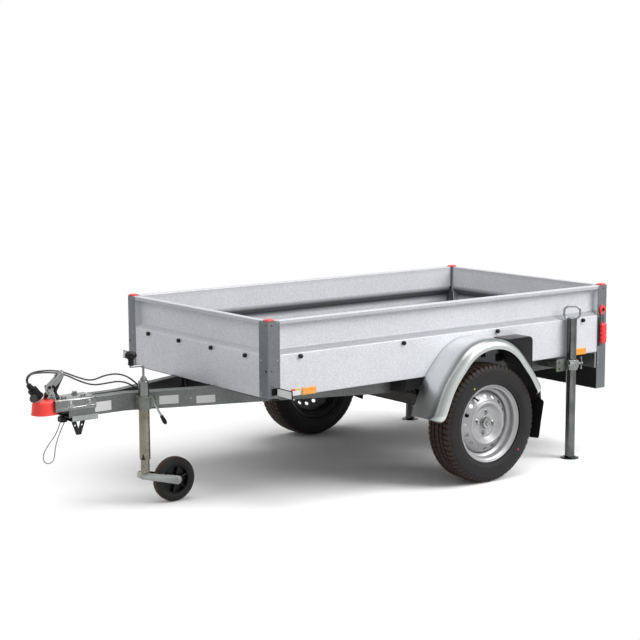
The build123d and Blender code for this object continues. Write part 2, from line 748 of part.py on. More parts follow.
# Channel plate under the beams, with the rope's block and the prop bracket below it.
guide_start_y = TIP_Y + GUIDE_START
guide_half = HITCH_HALF + SHELL_GAP + SHELL_WALL
guide_line = [
    (-guide_half, BEAM_BOTTOM_Z + GUIDE_HEIGHT / 2),
    (-guide_half, BEAM_BOTTOM_Z - GUIDE_HEIGHT),
    (guide_half, BEAM_BOTTOM_Z - GUIDE_HEIGHT),
    (guide_half, BEAM_BOTTOM_Z + GUIDE_HEIGHT / 2),
]
with BuildPart() as drawbar_guide:
    with BuildSketch(Plane.XZ.offset(-guide_start_y)):
        with BuildLine():
            Polyline(*folded(guide_line, SHELL_WALL), close=True)
        make_face()
    extrude(amount=-GUIDE_LENGTH)
drawbar_guide.part.label = "drawbar_guide"
export_step(drawbar_guide.part, "parts/drawbar_guide.step")

guide_under_z = BEAM_BOTTOM_Z - GUIDE_HEIGHT
rope_block_y = TIP_Y + ROPE_BLOCK_START + ROPE_BLOCK_LENGTH / 2
rope_block_top_z = BEAM_BOTTOM_Z - CROSS_GAP
vee_top_z = guide_under_z - CROSS_GAP
vee_start_y = TIP_Y + VEE_START
vee_line = [
    (vee_start_y - VEE_BAR / 2, vee_top_z),
    (vee_start_y + VEE_LENGTH / 2 - VEE_BAR / 2, vee_top_z - VEE_DROP),
    (vee_start_y + VEE_LENGTH / 2 + VEE_BAR / 2, vee_top_z - VEE_DROP),
    (vee_start_y + VEE_LENGTH + VEE_BAR / 2, vee_top_z),
    (vee_start_y + VEE_LENGTH - VEE_BAR / 2, vee_top_z),
    (vee_start_y + VEE_LENGTH / 2, vee_top_z - VEE_DROP + VEE_BAR),
    (vee_start_y + VEE_BAR / 2, vee_top_z),
]
with BuildPart() as prop_bracket:
    with BuildSketch(Plane.YZ.offset(VEE_X - VEE_THICKNESS / 2)):
        with BuildLine():
            Polyline(*vee_line, close=True)
        make_face()
        with Locations(
            (vee_start_y + VEE_HOLE_IN, vee_top_z - VEE_HOLE_DROP),
            (vee_start_y + VEE_LENGTH - VEE_HOLE_IN, vee_top_z - VEE_HOLE_DROP),
        ):
            Circle(VEE_HOLE_RADIUS, mode=Mode.SUBTRACT)
    extrude(amount=VEE_THICKNESS)
prop_bracket.part.label = "prop_bracket"
export_step(prop_bracket.part, "parts/prop_bracket.step")

with BuildPart() as rope_anchor:
    with BuildSketch(Plane.XY.offset(rope_block_top_z)):
        with Locations((0, rope_block_y)):
            RectangleRounded(ROPE_BLOCK_WIDTH, ROPE_BLOCK_LENGTH, ROPE_BLOCK_ROUND)
    extrude(amount=-ROPE_BLOCK_HEIGHT)
rope_anchor.part.label = "rope_anchor"
export_step(rope_anchor.part, "parts/rope_anchor.step")

# ---------------------------------------------------------------- axle
arm_start = AXLE_HALF + ARM_GAP
with BuildPart() as axle_tube:
    with BuildSketch(Plane.YZ.offset(-AXLE_HALF)):
        with Locations((AXLE_TUBE_Y, AXLE_TUBE_Z)):
            RectangleRounded(AXLE_TUBE, AXLE_TUBE, 2 * AXLE_TUBE_WALL)
            inner_side = AXLE_TUBE - 2 * AXLE_TUBE_WALL
            RectangleRounded(inner_side, inner_side, AXLE_TUBE_WALL, mode=Mode.SUBTRACT)
    extrude(amount=2 * AXLE_HALF)
axle_tube.part.label = "axle_tube"
export_step(axle_tube.part, "parts/axle_tube.step")

bracket_top_z = BEAM_BOTTOM_Z - CROSS_GAP
bracket_outline = [
    (AXLE_TUBE_Y - BRACKET_HALF_TOP, bracket_top_z),
    (AXLE_TUBE_Y - BRACKET_HALF_LOW, AXLE_TUBE_Z),
    (AXLE_TUBE_Y + BRACKET_HALF_LOW, AXLE_TUBE_Z),
    (AXLE_TUBE_Y + BRACKET_HALF_TOP, bracket_top_z),
]
with BuildPart() as axle_brackets:
    for side in SIDES.values():
        with BuildSketch(Plane.YZ.offset(side * FRAME_HALF)):
            with BuildLine():
                Polyline(*bracket_outline, close=True)
            make_face()
        extrude(amount=-side * BEAM_FLANGE)
        with BuildSketch(Plane.YZ.offset(side * (FRAME_HALF - BRACKET_WALL))):
            with BuildLine():
                Polyline(*bracket_outline, close=True)
            make_face()
        extrude(amount=-side * (BEAM_FLANGE - 2 * BRACKET_WALL), mode=Mode.SUBTRACT)
        with BuildSketch(Plane.XY.offset(bracket_top_z)):
            with Locations((side * (FRAME_HALF - BEAM_FLANGE / 2), AXLE_TUBE_Y)):
                Rectangle(BEAM_FLANGE, 2 * BRACKET_HALF_TOP)
        extrude(amount=-BRACKET_WALL)
    with BuildSketch(Plane.YZ.offset(-FRAME_HALF)):
        with Locations((AXLE_TUBE_Y, AXLE_TUBE_Z)):
            Rectangle(AXLE_TUBE + 2 * CROSS_GAP, AXLE_TUBE + 2 * CROSS_GAP)
    extrude(amount=2 * FRAME_HALF, mode=Mode.SUBTRACT)
axle_brackets.part.label = "axle_brackets"
export_step(axle_brackets.part, "parts/axle_brackets.step")

hub_start = WHEEL_HALF_TRACK + RIM_WIDTH / 2 - DISC_FACE_IN - DISC_FLAT_IN - RIM_WALL - HUB_LENGTH
stub_end = hub_start + HUB_LENGTH - HUB_WALL
with BuildPart() as axle_arms:
    for side in SIDES.values():
        with BuildSketch(Plane.YZ.offset(side * arm_start)):
            with Locations((AXLE_TUBE_Y, AXLE_TUBE_Z)):
                Circle(ARM_TOP_RADIUS)
            with Locations((AXLE_Y, TYRE_RADIUS)):
                Circle(ARM_HUB_RADIUS)
            make_hull()
        extrude(amount=side * ARM_THICKNESS)
        with BuildSketch(Plane.YZ.offset(side * arm_start)):
            with Locations((AXLE_Y, TYRE_RADIUS)):
                Circle(STUB_RADIUS)
        extrude(amount=side * (stub_end - STUB_GAP - arm_start))
axle_arms.part.label = "axle_arms"
export_step(axle_arms.part, "parts/axle_arms.step")

# ---------------------------------------------------------------- wheels
# Sections are (out from the wheel's middle plane, radius), turned about the axle line.
half_rim = RIM_WIDTH / 2
disc_face = half_rim - DISC_FACE_IN
disc_flat = disc_face - DISC_FLAT_IN
barrel_line = [
    (half_rim, RIM_LIP_RADIUS),
    (half_rim - RIM_LIP_WIDTH, RIM_LIP_RADIUS),
    (half_rim - BEAD_IN, BEAD_RADIUS),
    (half_rim - WELL_FRONT_IN + WELL_FRONT_SLOPE, BEAD_RADIUS - BEAD_TAPER),
    (half_rim - WELL_FRONT_IN, WELL_RADIUS),
    (WELL_REAR_IN - half_rim, WELL_RADIUS),
    (WELL_REAR_IN - WELL_REAR_SLOPE - half_rim, BEAD_RADIUS - BEAD_TAPER),
    (BEAD_IN - half_rim, BEAD_RADIUS),
    (RIM_LIP_WIDTH - half_rim, RIM_LIP_RADIUS),
    (-half_rim, RIM_LIP_RADIUS),
]
disc_line = [
    (disc_face - DISC_EDGE_IN, WELL_RADIUS - RIM_WALL / 2),
    (disc_face - DISC_SHOULDER_IN, WELL_RADIUS - DISC_SHOULDER),
    (disc_face, VENT_RING_RADIUS),
    (disc_face, DISC_CROWN_RADIUS + DISC_CROWN_FOOT),
    (disc_face + DISC_CROWN_OUT, DISC_CROWN_RADIUS + DISC_CROWN_HALF),
    (disc_face + DISC_CROWN_OUT, DISC_CROWN_RADIUS - DISC_CROWN_HALF),
    (disc_flat, DISC_FLAT_RADIUS),
    (disc_flat, CENTRE_HOLE_RADIUS),
]
tyre_half = TYRE_WIDTH / 2
tread_half = TREAD_WIDTH / 2
tyre_outside = [
    (half_rim - TYRE_TOE_IN, BEAD_RADIUS + BEAD_GAP),
    (half_rim - TYRE_SEAT_IN, BEAD_RADIUS + BEAD_GAP),
    (half_rim - TYRE_HEEL_IN, RIM_LIP_RADIUS + BEAD_GAP),
    (tyre_half - SIDEWALL_LOW_IN, RIM_LIP_RADIUS + SIDEWALL_LOW_UP),
    (tyre_half, TYRE_RADIUS - SIDEWALL_DOWN),
    (tyre_half - SHOULDER_IN, TYRE_RADIUS - SHOULDER_DOWN),
    (tread_half, TYRE_RADIUS - TREAD_DROP),
    (tread_half - TREAD_FLAT_IN, TYRE_RADIUS),
]
tyre_inside = [
    (tread_half - CROWN_INSIDE_IN, TYRE_RADIUS - TYRE_WALL),
    (tyre_half - TYRE_WALL, TYRE_RADIUS - SIDEWALL_INSIDE_DOWN),
    (tyre_half - TYRE_WALL - SIDEWALL_LOW_IN, RIM_LIP_RADIUS + BEAD_INSIDE_UP),
    (half_rim - TOE_INSIDE_IN, RIM_LIP_RADIUS + TOE_INSIDE_UP),
]
tyre_section = (
    tyre_outside
    + [(-out, r) for out, r in tyre_outside[::-1]]
    + [(-out, r) for out, r in tyre_inside[::-1]]
    + tyre_inside
)
for name, side in SIDES.items():
    wheel_x = side * WHEEL_HALF_TRACK
    wheel_axis = Axis((0, AXLE_Y, TYRE_RADIUS), (1, 0, 0))
    with BuildPart() as tyre:
        with BuildSketch(Plane.XY.offset(TYRE_RADIUS)):
            with BuildLine():
                Polyline(*[(wheel_x + side * out, AXLE_Y + r) for out, r in tyre_section], close=True)
            make_face()
        revolve(axis=wheel_axis)
    tyre.part.label = f"tyre_{name}"
    export_step(tyre.part, f"parts/tyre_{name}.step")

    with BuildPart() as rim:
        for line, wall in ((barrel_line, RIM_WALL), (disc_line, -RIM_WALL)):
            with BuildSketch(Plane.XY.offset(TYRE_RADIUS)):
                with BuildLine():
                    outline = folded(line, wall)
                    Polyline(*[(wheel_x + side * out, AXLE_Y + r) for out, r in outline], close=True)
                make_face()
            revolve(axis=wheel_axis)
        with BuildSketch(Plane.YZ.offset(wheel_x + side * half_rim)):
            with Locations((AXLE_Y, TYRE_RADIUS)):
                with PolarLocations(VENT_RING_RADIUS, VENT_COUNT):
                    Circle(VENT_RADIUS)
                with PolarLocations(BOLT_RING_RADIUS, BOLT_COUNT, start_angle=BOLT_TURN):
                    Circle(BOLT_RADIUS + BOLT_GAP)
        extrude(amount=-side * RIM_WIDTH, mode=Mode.SUBTRACT)
    rim.part.label = f"rim_{name}"
    export_step(rim.part, f"parts/rim_{name}.step")

    flat_x = wheel_x + side * disc_flat
    with BuildPart() as hub:
        with BuildSketch(Plane.YZ.offset(side * hub_start)):
            with Locations((AXLE_Y, TYRE_RADIUS)):
                Circle(HUB_RADIUS)
        extrude(amount=side * HUB_LENGTH)
        with BuildSketch(Plane.YZ.offset(side * hub_start)):
            with Locations((AXLE_Y, TYRE_RADIUS)):
                Circle(STUB_RADIUS + STUB_GAP)
        extrude(amount=side * (HUB_LENGTH - HUB_WALL), mode=Mode.SUBTRACT)
        with BuildSketch(Plane.YZ.offset(side * (hub_start + HUB_LENGTH))):
            with Locations((AXLE_Y, TYRE_RADIUS)):
                Circle(DUST_CAP_RADIUS)
        extrude(amount=side * (RIM_WALL + DUST_CAP_OUT))
        with BuildSketch(Plane.YZ.offset(side * (hub_start + HUB_LENGTH))):
            with Locations((AXLE_Y, TYRE_RADIUS)):
                with PolarLocations(BOLT_RING_RADIUS, BOLT_COUNT, start_angle=BOLT_TURN):
                    Circle(BOLT_RADIUS)
        extrude(amount=side * (RIM_WALL + BOLT_HEAD))
        with BuildSketch(Plane.YZ.offset(flat_x)):
            with Locations((AXLE_Y, TYRE_RADIUS)):
                with PolarLocations(BOLT_RING_RADIUS, BOLT_COUNT, start_angle=BOLT_TURN):
                    RegularPolygon(BOLT_HEAD_RADIUS, 6)
        extrude(amount=side * BOLT_HEAD)
    hub.part.label = f"hub_{name}"
    export_step(hub.part, f"parts/hub_{name}.step")

# ---------------------------------------------------------------- mudguards, flaps and chocks
guard_inner_x = BOX_HALF + GUARD_STANDOFF
guard_outer_x = guard_inner_x + GUARD_WIDTH
guard_line = [(AXLE_Y + along, TYRE_RADIUS + up) for along, up in GUARD_LINE]
guard_rise = math.atan2(guard_line[1][1] - guard_line[0][1], guard_line[1][0] - guard_line[0][0])
guard_start = Vector(0, guard_line[0][0], guard_line[0][1])
guard_way = Vector(0, math.cos(guard_rise), math.sin(guard_rise))
with BuildPart() as mudguards:
    for side in SIDES.values():
        with BuildLine() as route:
            FilletPolyline(*[(0, y, z) for y, z in guard_line], radius=GUARD_BEND)
        with BuildSketch(Plane(origin=guard_start, x_dir=(1, 0, 0), z_dir=guard_way)):
            with BuildLine():
                centre = (side * (guard_outer_x - GUARD_ROLL), GUARD_ROLL)
                lip_end = GUARD_ROLL + GUARD_LIP
                lip_inner_x = guard_outer_x - GUARD_WALL
                outer_arc = CenterArc(centre, GUARD_ROLL, -90, side * 90)
                inner_arc = CenterArc(centre, GUARD_ROLL - GUARD_WALL, -90, side * 90)
                Line(outer_arc @ 1, (side * guard_outer_x, lip_end))
                Line((side * guard_outer_x, lip_end), (side * lip_inner_x, lip_end))
                Line((side * lip_inner_x, lip_end), inner_arc @ 1)
                Line(inner_arc @ 0, (side * guard_inner_x, GUARD_WALL))
                Line((side * guard_inner_x, GUARD_WALL), (side * guard_inner_x, 0))
                Line((side * guard_inner_x, 0), outer_arc @ 0)
            make_face()
        sweep(path=route.wire())
mudguards.part.label = "mudguards"
export_step(mudguards.part, "parts/mudguards.step")

# Liner inside the rear half of each mudguard, which runs on below it as the flap.
liner_depth = GUARD_WALL + LINER_GAP
top_middle = (AXLE_Y, TYRE_RADIUS + GUARD_LINE[3][1])
flap_line = [(AXLE_Y + along, TYRE_RADIUS + up) for along, up in FLAP_LINE]
rear_line = [top_middle] + guard_line[3:]
liner_outer = shifted(rear_line, -liner_depth) + flap_line
liner_inner = shifted(liner_outer, -LINER_WALL)
with BuildPart() as mud_flaps:
    for side in SIDES.values():
        liner_start = side * (guard_inner_x + LINER_INNER_IN)
        liner_end = side * (guard_outer_x - LINER_OUTER_IN)
        flap_end = side * (guard_outer_x - FLAP_OUTER_IN)
        with BuildSketch(Plane.YZ.offset(liner_start)):
            with BuildLine():
                outer_run = FilletPolyline(*liner_outer[:-2], radius=GUARD_BEND - liner_depth)
                inner_run = FilletPolyline(*liner_inner[:-2], radius=GUARD_BEND - liner_depth - LINER_WALL)
                Line(outer_run @ 0, inner_run @ 0)
                Polyline(outer_run @ 1, *liner_outer[-2:], *liner_inner[-2:][::-1], inner_run @ 1)
            make_face()
        extrude(amount=liner_end - liner_start)
        with BuildSketch(Plane.YZ.offset(liner_end)):
            with BuildLine():
                Polyline(*liner_outer[-2:], *liner_inner[-2:][::-1], close=True)
            make_face()
        extrude(amount=flap_end - liner_end)
mud_flaps.part.label = "mud_flaps"
export_step(mud_flaps.part, "parts/mud_flaps.step")

chock_front_y = AXLE_Y + CHOCK_BEHIND_AXLE
chock_outline = [
    (chock_front_y, CHOCK_BOTTOM_Z + CHOCK_HEIGHT),
    (chock_front_y + CHOCK_LENGTH, CHOCK_BOTTOM_Z + CHOCK_HEIGHT),
    (chock_front_y + CHOCK_LENGTH, CHOCK_BOTTOM_Z),
    (chock_front_y + CHOCK_LENGTH - CHOCK_TOE, CHOCK_BOTTOM_Z),
]
holder_x = BOX_HALF + FIT_GAP
chock_x = holder_x + CHOCK_HOLDER_WALL
holder_y = chock_front_y + CHOCK_LENGTH - CHOCK_HOLDER_REAR_IN - CHOCK_HOLDER_LENGTH / 2
holder_z = CHOCK_BOTTOM_Z + CHOCK_HEIGHT - CHOCK_HOLDER_TOP_IN - CHOCK_HOLDER_HEIGHT / 2
with BuildPart() as wheel_chocks:
    for side in SIDES.values():
        with BuildSketch(Plane.YZ.offset(side * chock_x)) as wedge:
            with BuildLine():
                Polyline(*chock_outline, close=True)
            make_face()
            fillet(wedge.vertices().sort_by(Axis.X)[-2:].sort_by(Axis.Y)[-1], CHOCK_ROUND)
        extrude(amount=side * CHOCK_WIDTH)
        with BuildSketch(Plane.YZ.offset(side * holder_x)):
            with Locations((holder_y, holder_z)):
                Rectangle(CHOCK_HOLDER_LENGTH, CHOCK_HOLDER_HEIGHT)
        extrude(amount=side * CHOCK_HOLDER_WALL)
wheel_chocks.part.label = "wheel_chocks"
export_step(wheel_chocks.part, "parts/wheel_chocks.step")

# ---------------------------------------------------------------- jockey wheel
post_y = bend_front_y + POST_BEHIND_BEND
post_x = beam_face_x(post_y) + POST_OUT_FROM_BEAM
tube_inner_radius = POST_TUBE_RADIUS - POST_TUBE_WALL
collar_top_z = POST_TUBE_TOP_Z + POST_COLLAR_HEIGHT
crank_top_z = collar_top_z + CRANK_RISE - CRANK_BEND
crank_end_y = post_y - CRANK_ARM
with BuildPart() as jockey_post:
    with BuildSketch(Plane.XY.offset(POST_TUBE_LOW_Z)):
        with Locations((post_x, post_y)):
            Circle(POST_TUBE_RADIUS)
            Circle(tube_inner_radius, mode=Mode.SUBTRACT)
    extrude(amount=POST_TUBE_TOP_Z - POST_TUBE_LOW_Z)
    with BuildSketch(Plane.XY.offset(POST_TUBE_TOP_Z - 2 * POST_TUBE_WALL)):
        with Locations((post_x, post_y)):
            Circle(POST_TUBE_RADIUS)
    extrude(amount=2 * POST_TUBE_WALL)
    with BuildSketch(Plane.XY.offset(POST_TUBE_TOP_Z)):
        with Locations((post_x, post_y)):
            Circle(POST_COLLAR_RADIUS)
    extrude(amount=POST_COLLAR_HEIGHT)
    with BuildLine() as route:
        FilletPolyline(
            (post_x, post_y, collar_top_z - CRANK_SUNK),
            (post_x, post_y, crank_top_z),
            (post_x, crank_end_y, crank_top_z + SHEET),
            radius=CRANK_BEND,
        )
    with BuildSketch(Plane.XY.offset(collar_top_z - CRANK_SUNK)):
        with Locations((post_x, post_y)):
            Circle(CRANK_ROD_RADIUS)
    sweep(path=route.wire())
jockey_post.part.label = "jockey_post"
export_step(jockey_post.part, "parts/jockey_post.step")

knob_low_z = crank_top_z + SHEET + CRANK_ROD_RADIUS + FIT_GAP
with BuildPart() as crank_knob:
    with BuildSketch(Plane.XY.offset(knob_low_z)):
        with Locations((post_x, crank_end_y + KNOB_NECK_RADIUS / 2)):
            Circle(KNOB_NECK_RADIUS)
    extrude(amount=KNOB_NECK_HEIGHT)
    with BuildSketch(Plane.XY.offset(knob_low_z + KNOB_NECK_HEIGHT)):
        with Locations((post_x, crank_end_y + KNOB_NECK_RADIUS / 2)):
            Circle(KNOB_RADIUS)
    extrude(amount=KNOB_HEIGHT)
    fillet(crank_knob.edges().filter_by(GeomType.CIRCLE).sort_by(Axis.Z)[-1], KNOB_HEIGHT / 3)
crank_knob.part.label = "crank_knob"
export_step(crank_knob.part, "parts/crank_knob.step")

wheel_y = post_y + TRAIL
jockey_x = post_x - JOCKEY_OFFSET
fork_half = JOCKEY_WIDTH / 2 + FORK_GAP
with BuildPart() as jockey_fork:
    with BuildSketch(Plane.XY.offset(STEM_LOW_Z)):
        with Locations((post_x, post_y)):
            Circle(STEM_RADIUS)
    extrude(amount=STEM_TOP_Z - STEM_LOW_Z)
    # bridge across the two arms, in front of the wheel
    with BuildSketch(Plane.XY.offset(STEM_LOW_Z)):
        with Locations((jockey_x, post_y)):
            RectangleRounded(2 * (fork_half + FORK_WALL), 2 * STEM_RADIUS, FORK_WALL)
    extrude(amount=FORK_TOP_Z - STEM_LOW_Z)
    for side in SIDES.values():
        with BuildSketch(Plane.YZ.offset(jockey_x + side * fork_half)):
            with Locations((wheel_y, JOCKEY_RADIUS)):
                Circle(FORK_DEPTH / 2)
            with Locations((post_y, (STEM_LOW_Z + FORK_TOP_Z) / 2)):
                Circle((FORK_TOP_Z - STEM_LOW_Z) / 2)
            make_hull()
        extrude(amount=side * FORK_WALL)
    with BuildSketch(Plane.YZ.offset(jockey_x - fork_half - FORK_WALL)):
        with Locations((wheel_y, JOCKEY_RADIUS)):
            Circle(JOCKEY_PIN_RADIUS)
    extrude(amount=2 * (fork_half + FORK_WALL))
jockey_fork.part.label = "jockey_fork"
export_step(jockey_fork.part, "parts/jockey_fork.step")

jockey_axis = Axis((0, wheel_y, JOCKEY_RADIUS), (1, 0, 0))
half_width = JOCKEY_WIDTH / 2
jockey_tyre_section = [
    (half_width - JOCKEY_BEAD_IN, JOCKEY_RIM_RADIUS + FIT_GAP),
    (half_width, JOCKEY_RADIUS - JOCKEY_SIDE_DOWN),
    (half_width - JOCKEY_EDGE_IN, JOCKEY_RADIUS - JOCKEY_EDGE_DOWN),
    (half_width - JOCKEY_TREAD_IN, JOCKEY_RADIUS),
    (JOCKEY_TREAD_IN - half_width, JOCKEY_RADIUS),
    (JOCKEY_EDGE_IN - half_width, JOCKEY_RADIUS - JOCKEY_EDGE_DOWN),
    (-half_width, JOCKEY_RADIUS - JOCKEY_SIDE_DOWN),
    (JOCKEY_BEAD_IN - half_width, JOCKEY_RIM_RADIUS + FIT_GAP),
]
with BuildPart() as jockey_tyre:
    with BuildSketch(Plane.XY.offset(JOCKEY_RADIUS)):
        with BuildLine():
            Polyline(*[(jockey_x + out, wheel_y + r) for out, r in jockey_tyre_section], close=True)
        make_face()
    revolve(axis=jockey_axis)
jockey_tyre.part.label = "jockey_tyre"
export_step(jockey_tyre.part, "parts/jockey_tyre.step")

with BuildPart() as jockey_rim:
    with BuildSketch(Plane.YZ.offset(jockey_x - half_width + JOCKEY_RIM_IN)):
        with Locations((wheel_y, JOCKEY_RADIUS)):
            Circle(JOCKEY_RIM_RADIUS)
            Circle(JOCKEY_RIM_RADIUS - FORK_WALL, mode=Mode.SUBTRACT)
    extrude(amount=JOCKEY_WIDTH - 2 * JOCKEY_RIM_IN)
    with BuildSketch(Plane.YZ.offset(jockey_x - FORK_WALL / 2)):
        with Locations((wheel_y, JOCKEY_RADIUS)):
            Circle(JOCKEY_RIM_RADIUS - FORK_WALL / 2)
    extrude(amount=FORK_WALL)
    with BuildSketch(Plane.YZ.offset(jockey_x - half_width)):
        with Locations((wheel_y, JOCKEY_RADIUS)):
            Circle(JOCKEY_HUB_RADIUS)
    extrude(amount=JOCKEY_WIDTH)
    with BuildSketch(Plane.YZ.offset(jockey_x - half_width)):
        with Locations((wheel_y, JOCKEY_RADIUS)):
            Circle(JOCKEY_PIN_RADIUS + JOCKEY_PIN_GAP)
    extrude(amount=JOCKEY_WIDTH, mode=Mode.SUBTRACT)
jockey_rim.part.label = "jockey_rim"
export_step(jockey_rim.part, "parts/jockey_rim.step")

plate_gap = FIT_GAP / math.cos(beam_turn)
plate_out = (FIT_GAP + CLAMP_PLATE_WALL) / math.cos(beam_turn)
plate_start_y = post_y - CLAMP_PLATE_AHEAD
plate_end_y = plate_start_y + CLAMP_PLATE_LENGTH
clamp_bore = POST_TUBE_RADIUS + CLAMP_GAP
with BuildPart() as jockey_clamp:
    with BuildSketch(Plane.XY.offset(CLAMP_LOW_Z)):
        with BuildLine():
            Polyline(
                (beam_face_x(plate_start_y) + plate_gap, plate_start_y),
                (beam_face_x(plate_end_y) + plate_gap, plate_end_y),
                (beam_face_x(plate_end_y) + plate_out, plate_end_y),
                (beam_face_x(plate_start_y) + plate_out, plate_start_y),
                close=True,
            )
        make_face()
        with BuildLine():
            Polyline(
                (beam_face_x(post_y - CLAMP_WEB) + plate_gap, post_y - CLAMP_WEB),
                (post_x, post_y - CLAMP_WEB),
                (post_x, post_y + CLAMP_WEB),
                (beam_face_x(post_y + CLAMP_WEB) + plate_gap, post_y + CLAMP_WEB),
                close=True,
            )
        make_face()
        with Locations((post_x, post_y)):
            Circle(CLAMP_RADIUS)
            Circle(clamp_bore, mode=Mode.SUBTRACT)
    extrude(amount=CLAMP_TOP_Z - CLAMP_LOW_Z)
jockey_clamp.part.label = "jockey_clamp"
export_step(jockey_clamp.part, "parts/jockey_clamp.step")

screw_z = (CLAMP_LOW_Z + CLAMP_TOP_Z) / 2
screw_eye = Vector(post_x, post_y + SCREW_REACH, screw_z)
screw_way = Vector(0, SCREW_SLOPE, -SCREW_DROP)
screw_length = screw_way.length
grip_from = screw_eye + screw_way.normalized() * SCREW_GRIP_FROM
with BuildPart() as clamp_lever:
    with BuildSketch(Plane.XZ.offset(-(post_y + CLAMP_RADIUS + FIT_GAP))):
        with Locations((post_x, screw_z)):
            Circle(2 * SCREW_RADIUS)
    extrude(amount=-(SCREW_REACH - CLAMP_RADIUS + SCREW_RADIUS))
    with BuildSketch(Plane(origin=screw_eye, x_dir=(1, 0, 0), z_dir=screw_way)):
        Circle(SCREW_RADIUS)
    extrude(amount=screw_length)
    with BuildSketch(Plane(origin=grip_from, x_dir=(1, 0, 0), z_dir=screw_way)):
        Circle(SCREW_GRIP_RADIUS)
    extrude(amount=SCREW_GRIP_LENGTH)
clamp_lever.part.label = "clamp_lever"
export_step(clamp_lever.part, "parts/clamp_lever.step")

# ---------------------------------------------------------------- rear prop stands
stand_x = BOX_HALF + STAND_OUT
stand_y = REAR_Y - STAND_AHEAD_OF_REAR
loop_low_z = STAND_TOP_Z + LOOP_ROD_RADIUS + FIT_GAP
loop_top_z = STAND_TOP_Z + LOOP_RISE - LOOP_ROD_RADIUS
loop_half = LOOP_HALF_SPAN - LOOP_ROD_RADIUS
for name, side in SIDES.items():
    with BuildPart() as stand:
        with BuildSketch(Plane.XY):
            with Locations((side * stand_x, stand_y)):
                Circle(STAND_FOOT_RADIUS)
        extrude(amount=STAND_FOOT_HEIGHT)
        with BuildSketch(Plane.XY.offset(STAND_FOOT_HEIGHT)):
            with Locations((side * stand_x, stand_y)):
                Circle(STAND_RADIUS)
        extrude(amount=STAND_TOP_Z - STAND_FOOT_HEIGHT)
        with BuildSketch(Plane.XY.offset(STAND_FOOT_HEIGHT)):
            with Locations((side * stand_x, stand_y)):
                Circle(STAND_RADIUS - STAND_WALL)
        extrude(amount=STAND_TOP_Z - STAND_FOOT_HEIGHT - 2 * STAND_WALL, mode=Mode.SUBTRACT)
    stand.part.label = f"stand_{name}"
    export_step(stand.part, f"parts/stand_{name}.step")

    with BuildPart() as ring:
        with BuildLine() as route:
            FilletPolyline(
                (side * stand_x, stand_y - loop_half, loop_low_z),
                (side * stand_x, stand_y - loop_half, loop_top_z),
                (side * stand_x, stand_y + loop_half, loop_top_z),
                (side * stand_x, stand_y + loop_half, loop_low_z),
                radius=LOOP_ROUND,
                close=True,
            )
        with BuildSketch(Plane(origin=route.wire() @ 0, x_dir=(1, 0, 0), z_dir=route.wire() % 0)):
            Circle(LOOP_ROD_RADIUS)
        sweep(path=route.wire())
    ring.part.label = f"stand_ring_{name}"
    export_step(ring.part, f"parts/stand_ring_{name}.step")

stand_bore = STAND_RADIUS + CLAMP_GAP
with BuildPart() as stand_clamps:
    for side in SIDES.values():
        with BuildSketch(Plane.XY.offset(STAND_CLAMP_LOW_Z)):
            with Locations((side * stand_x, stand_y)):
                Circle(STAND_CLAMP_RADIUS)
                Circle(stand_bore, mode=Mode.SUBTRACT)
        extrude(amount=STAND_CLAMP_HEIGHT)
        arm_start_x = FRAME_HALF + FIT_GAP
        arm_end_x = stand_x - (STAND_RADIUS + STAND_CLAMP_RADIUS) / 2
        with BuildSketch(Plane.XY.offset(STAND_CLAMP_LOW_Z + (STAND_CLAMP_HEIGHT - STAND_ARM_HEIGHT) / 2)):
            with Locations((side * (arm_start_x + arm_end_x) / 2, stand_y)):
                Rectangle(arm_end_x - arm_start_x, STAND_ARM_WIDTH)
            with Locations((side * stand_x, stand_y)):
                Circle(stand_bore, mode=Mode.SUBTRACT)
        extrude(amount=STAND_ARM_HEIGHT)
        with BuildSketch(Plane.XZ.offset(-(stand_y + (stand_bore + STAND_CLAMP_RADIUS) / 2))):
            with Locations((side * stand_x, STAND_CLAMP_LOW_Z + STAND_CLAMP_HEIGHT / 2)):
                Circle(SCREW_RADIUS)
        extrude(amount=-SCREW_REACH)
stand_clamps.part.label = "stand_clamps"
export_step(stand_clamps.part, "parts/stand_clamps.step")

# ---------------------------------------------------------------- lamps and reflectors
lamp_low_z = rear_cross_low_z + (CROSS_HEIGHT - LAMP_HEIGHT) / 2
lamp_centre_x = BOX_HALF - LAMP_IN - LAMP_WIDTH / 2
pad_half = (LAMP_WIDTH - POST_CORE - LAMP_IN) / 2
pad_centre_x = BOX_HALF - POST_CORE - FIT_GAP - pad_half
with BuildPart() as rear_lamps:
    for side in SIDES.values():
        with BuildSketch(Plane.XZ.offset(-(REAR_Y + POST_WALL + FIT_GAP))):
            with Locations((side * lamp_centre_x, lamp_low_z + LAMP_HEIGHT / 2)):
                RectangleRounded(LAMP_WIDTH, LAMP_HEIGHT, LAMP_ROUND)
        extrude(amount=-(REAR_HARDWARE - POST_WALL - FIT_GAP))
        with BuildSketch(Plane.XZ.offset(-(REAR_Y - SHEET + FIT_GAP))):
            with Locations((side * pad_centre_x, lamp_low_z + LAMP_HEIGHT / 2)):
                Rectangle(2 * pad_half, LAMP_HEIGHT - 2 * LAMP_ROUND)
        extrude(amount=-(SHEET + POST_WALL))
rear_lamps.part.label = "rear_lamps"
export_step(rear_lamps.part, "parts/rear_lamps.step")

amber_x = BOX_HALF + FIT_GAP
with BuildPart() as side_reflectors:
    for side in SIDES.values():
        for reflector_y in (FRONT_Y + AMBER_FRONT_IN, REAR_Y - AMBER_REAR_IN):
            with BuildSketch(Plane.YZ.offset(side * amber_x)):
                with Locations((reflector_y, AMBER_LOW_Z + AMBER_HEIGHT / 2)):
                    RectangleRounded(AMBER_WIDTH, AMBER_HEIGHT, SHEET)
            extrude(amount=side * AMBER_OUT)
side_reflectors.part.label = "side_reflectors"
export_step(side_reflectors.part, "parts/side_reflectors.step")

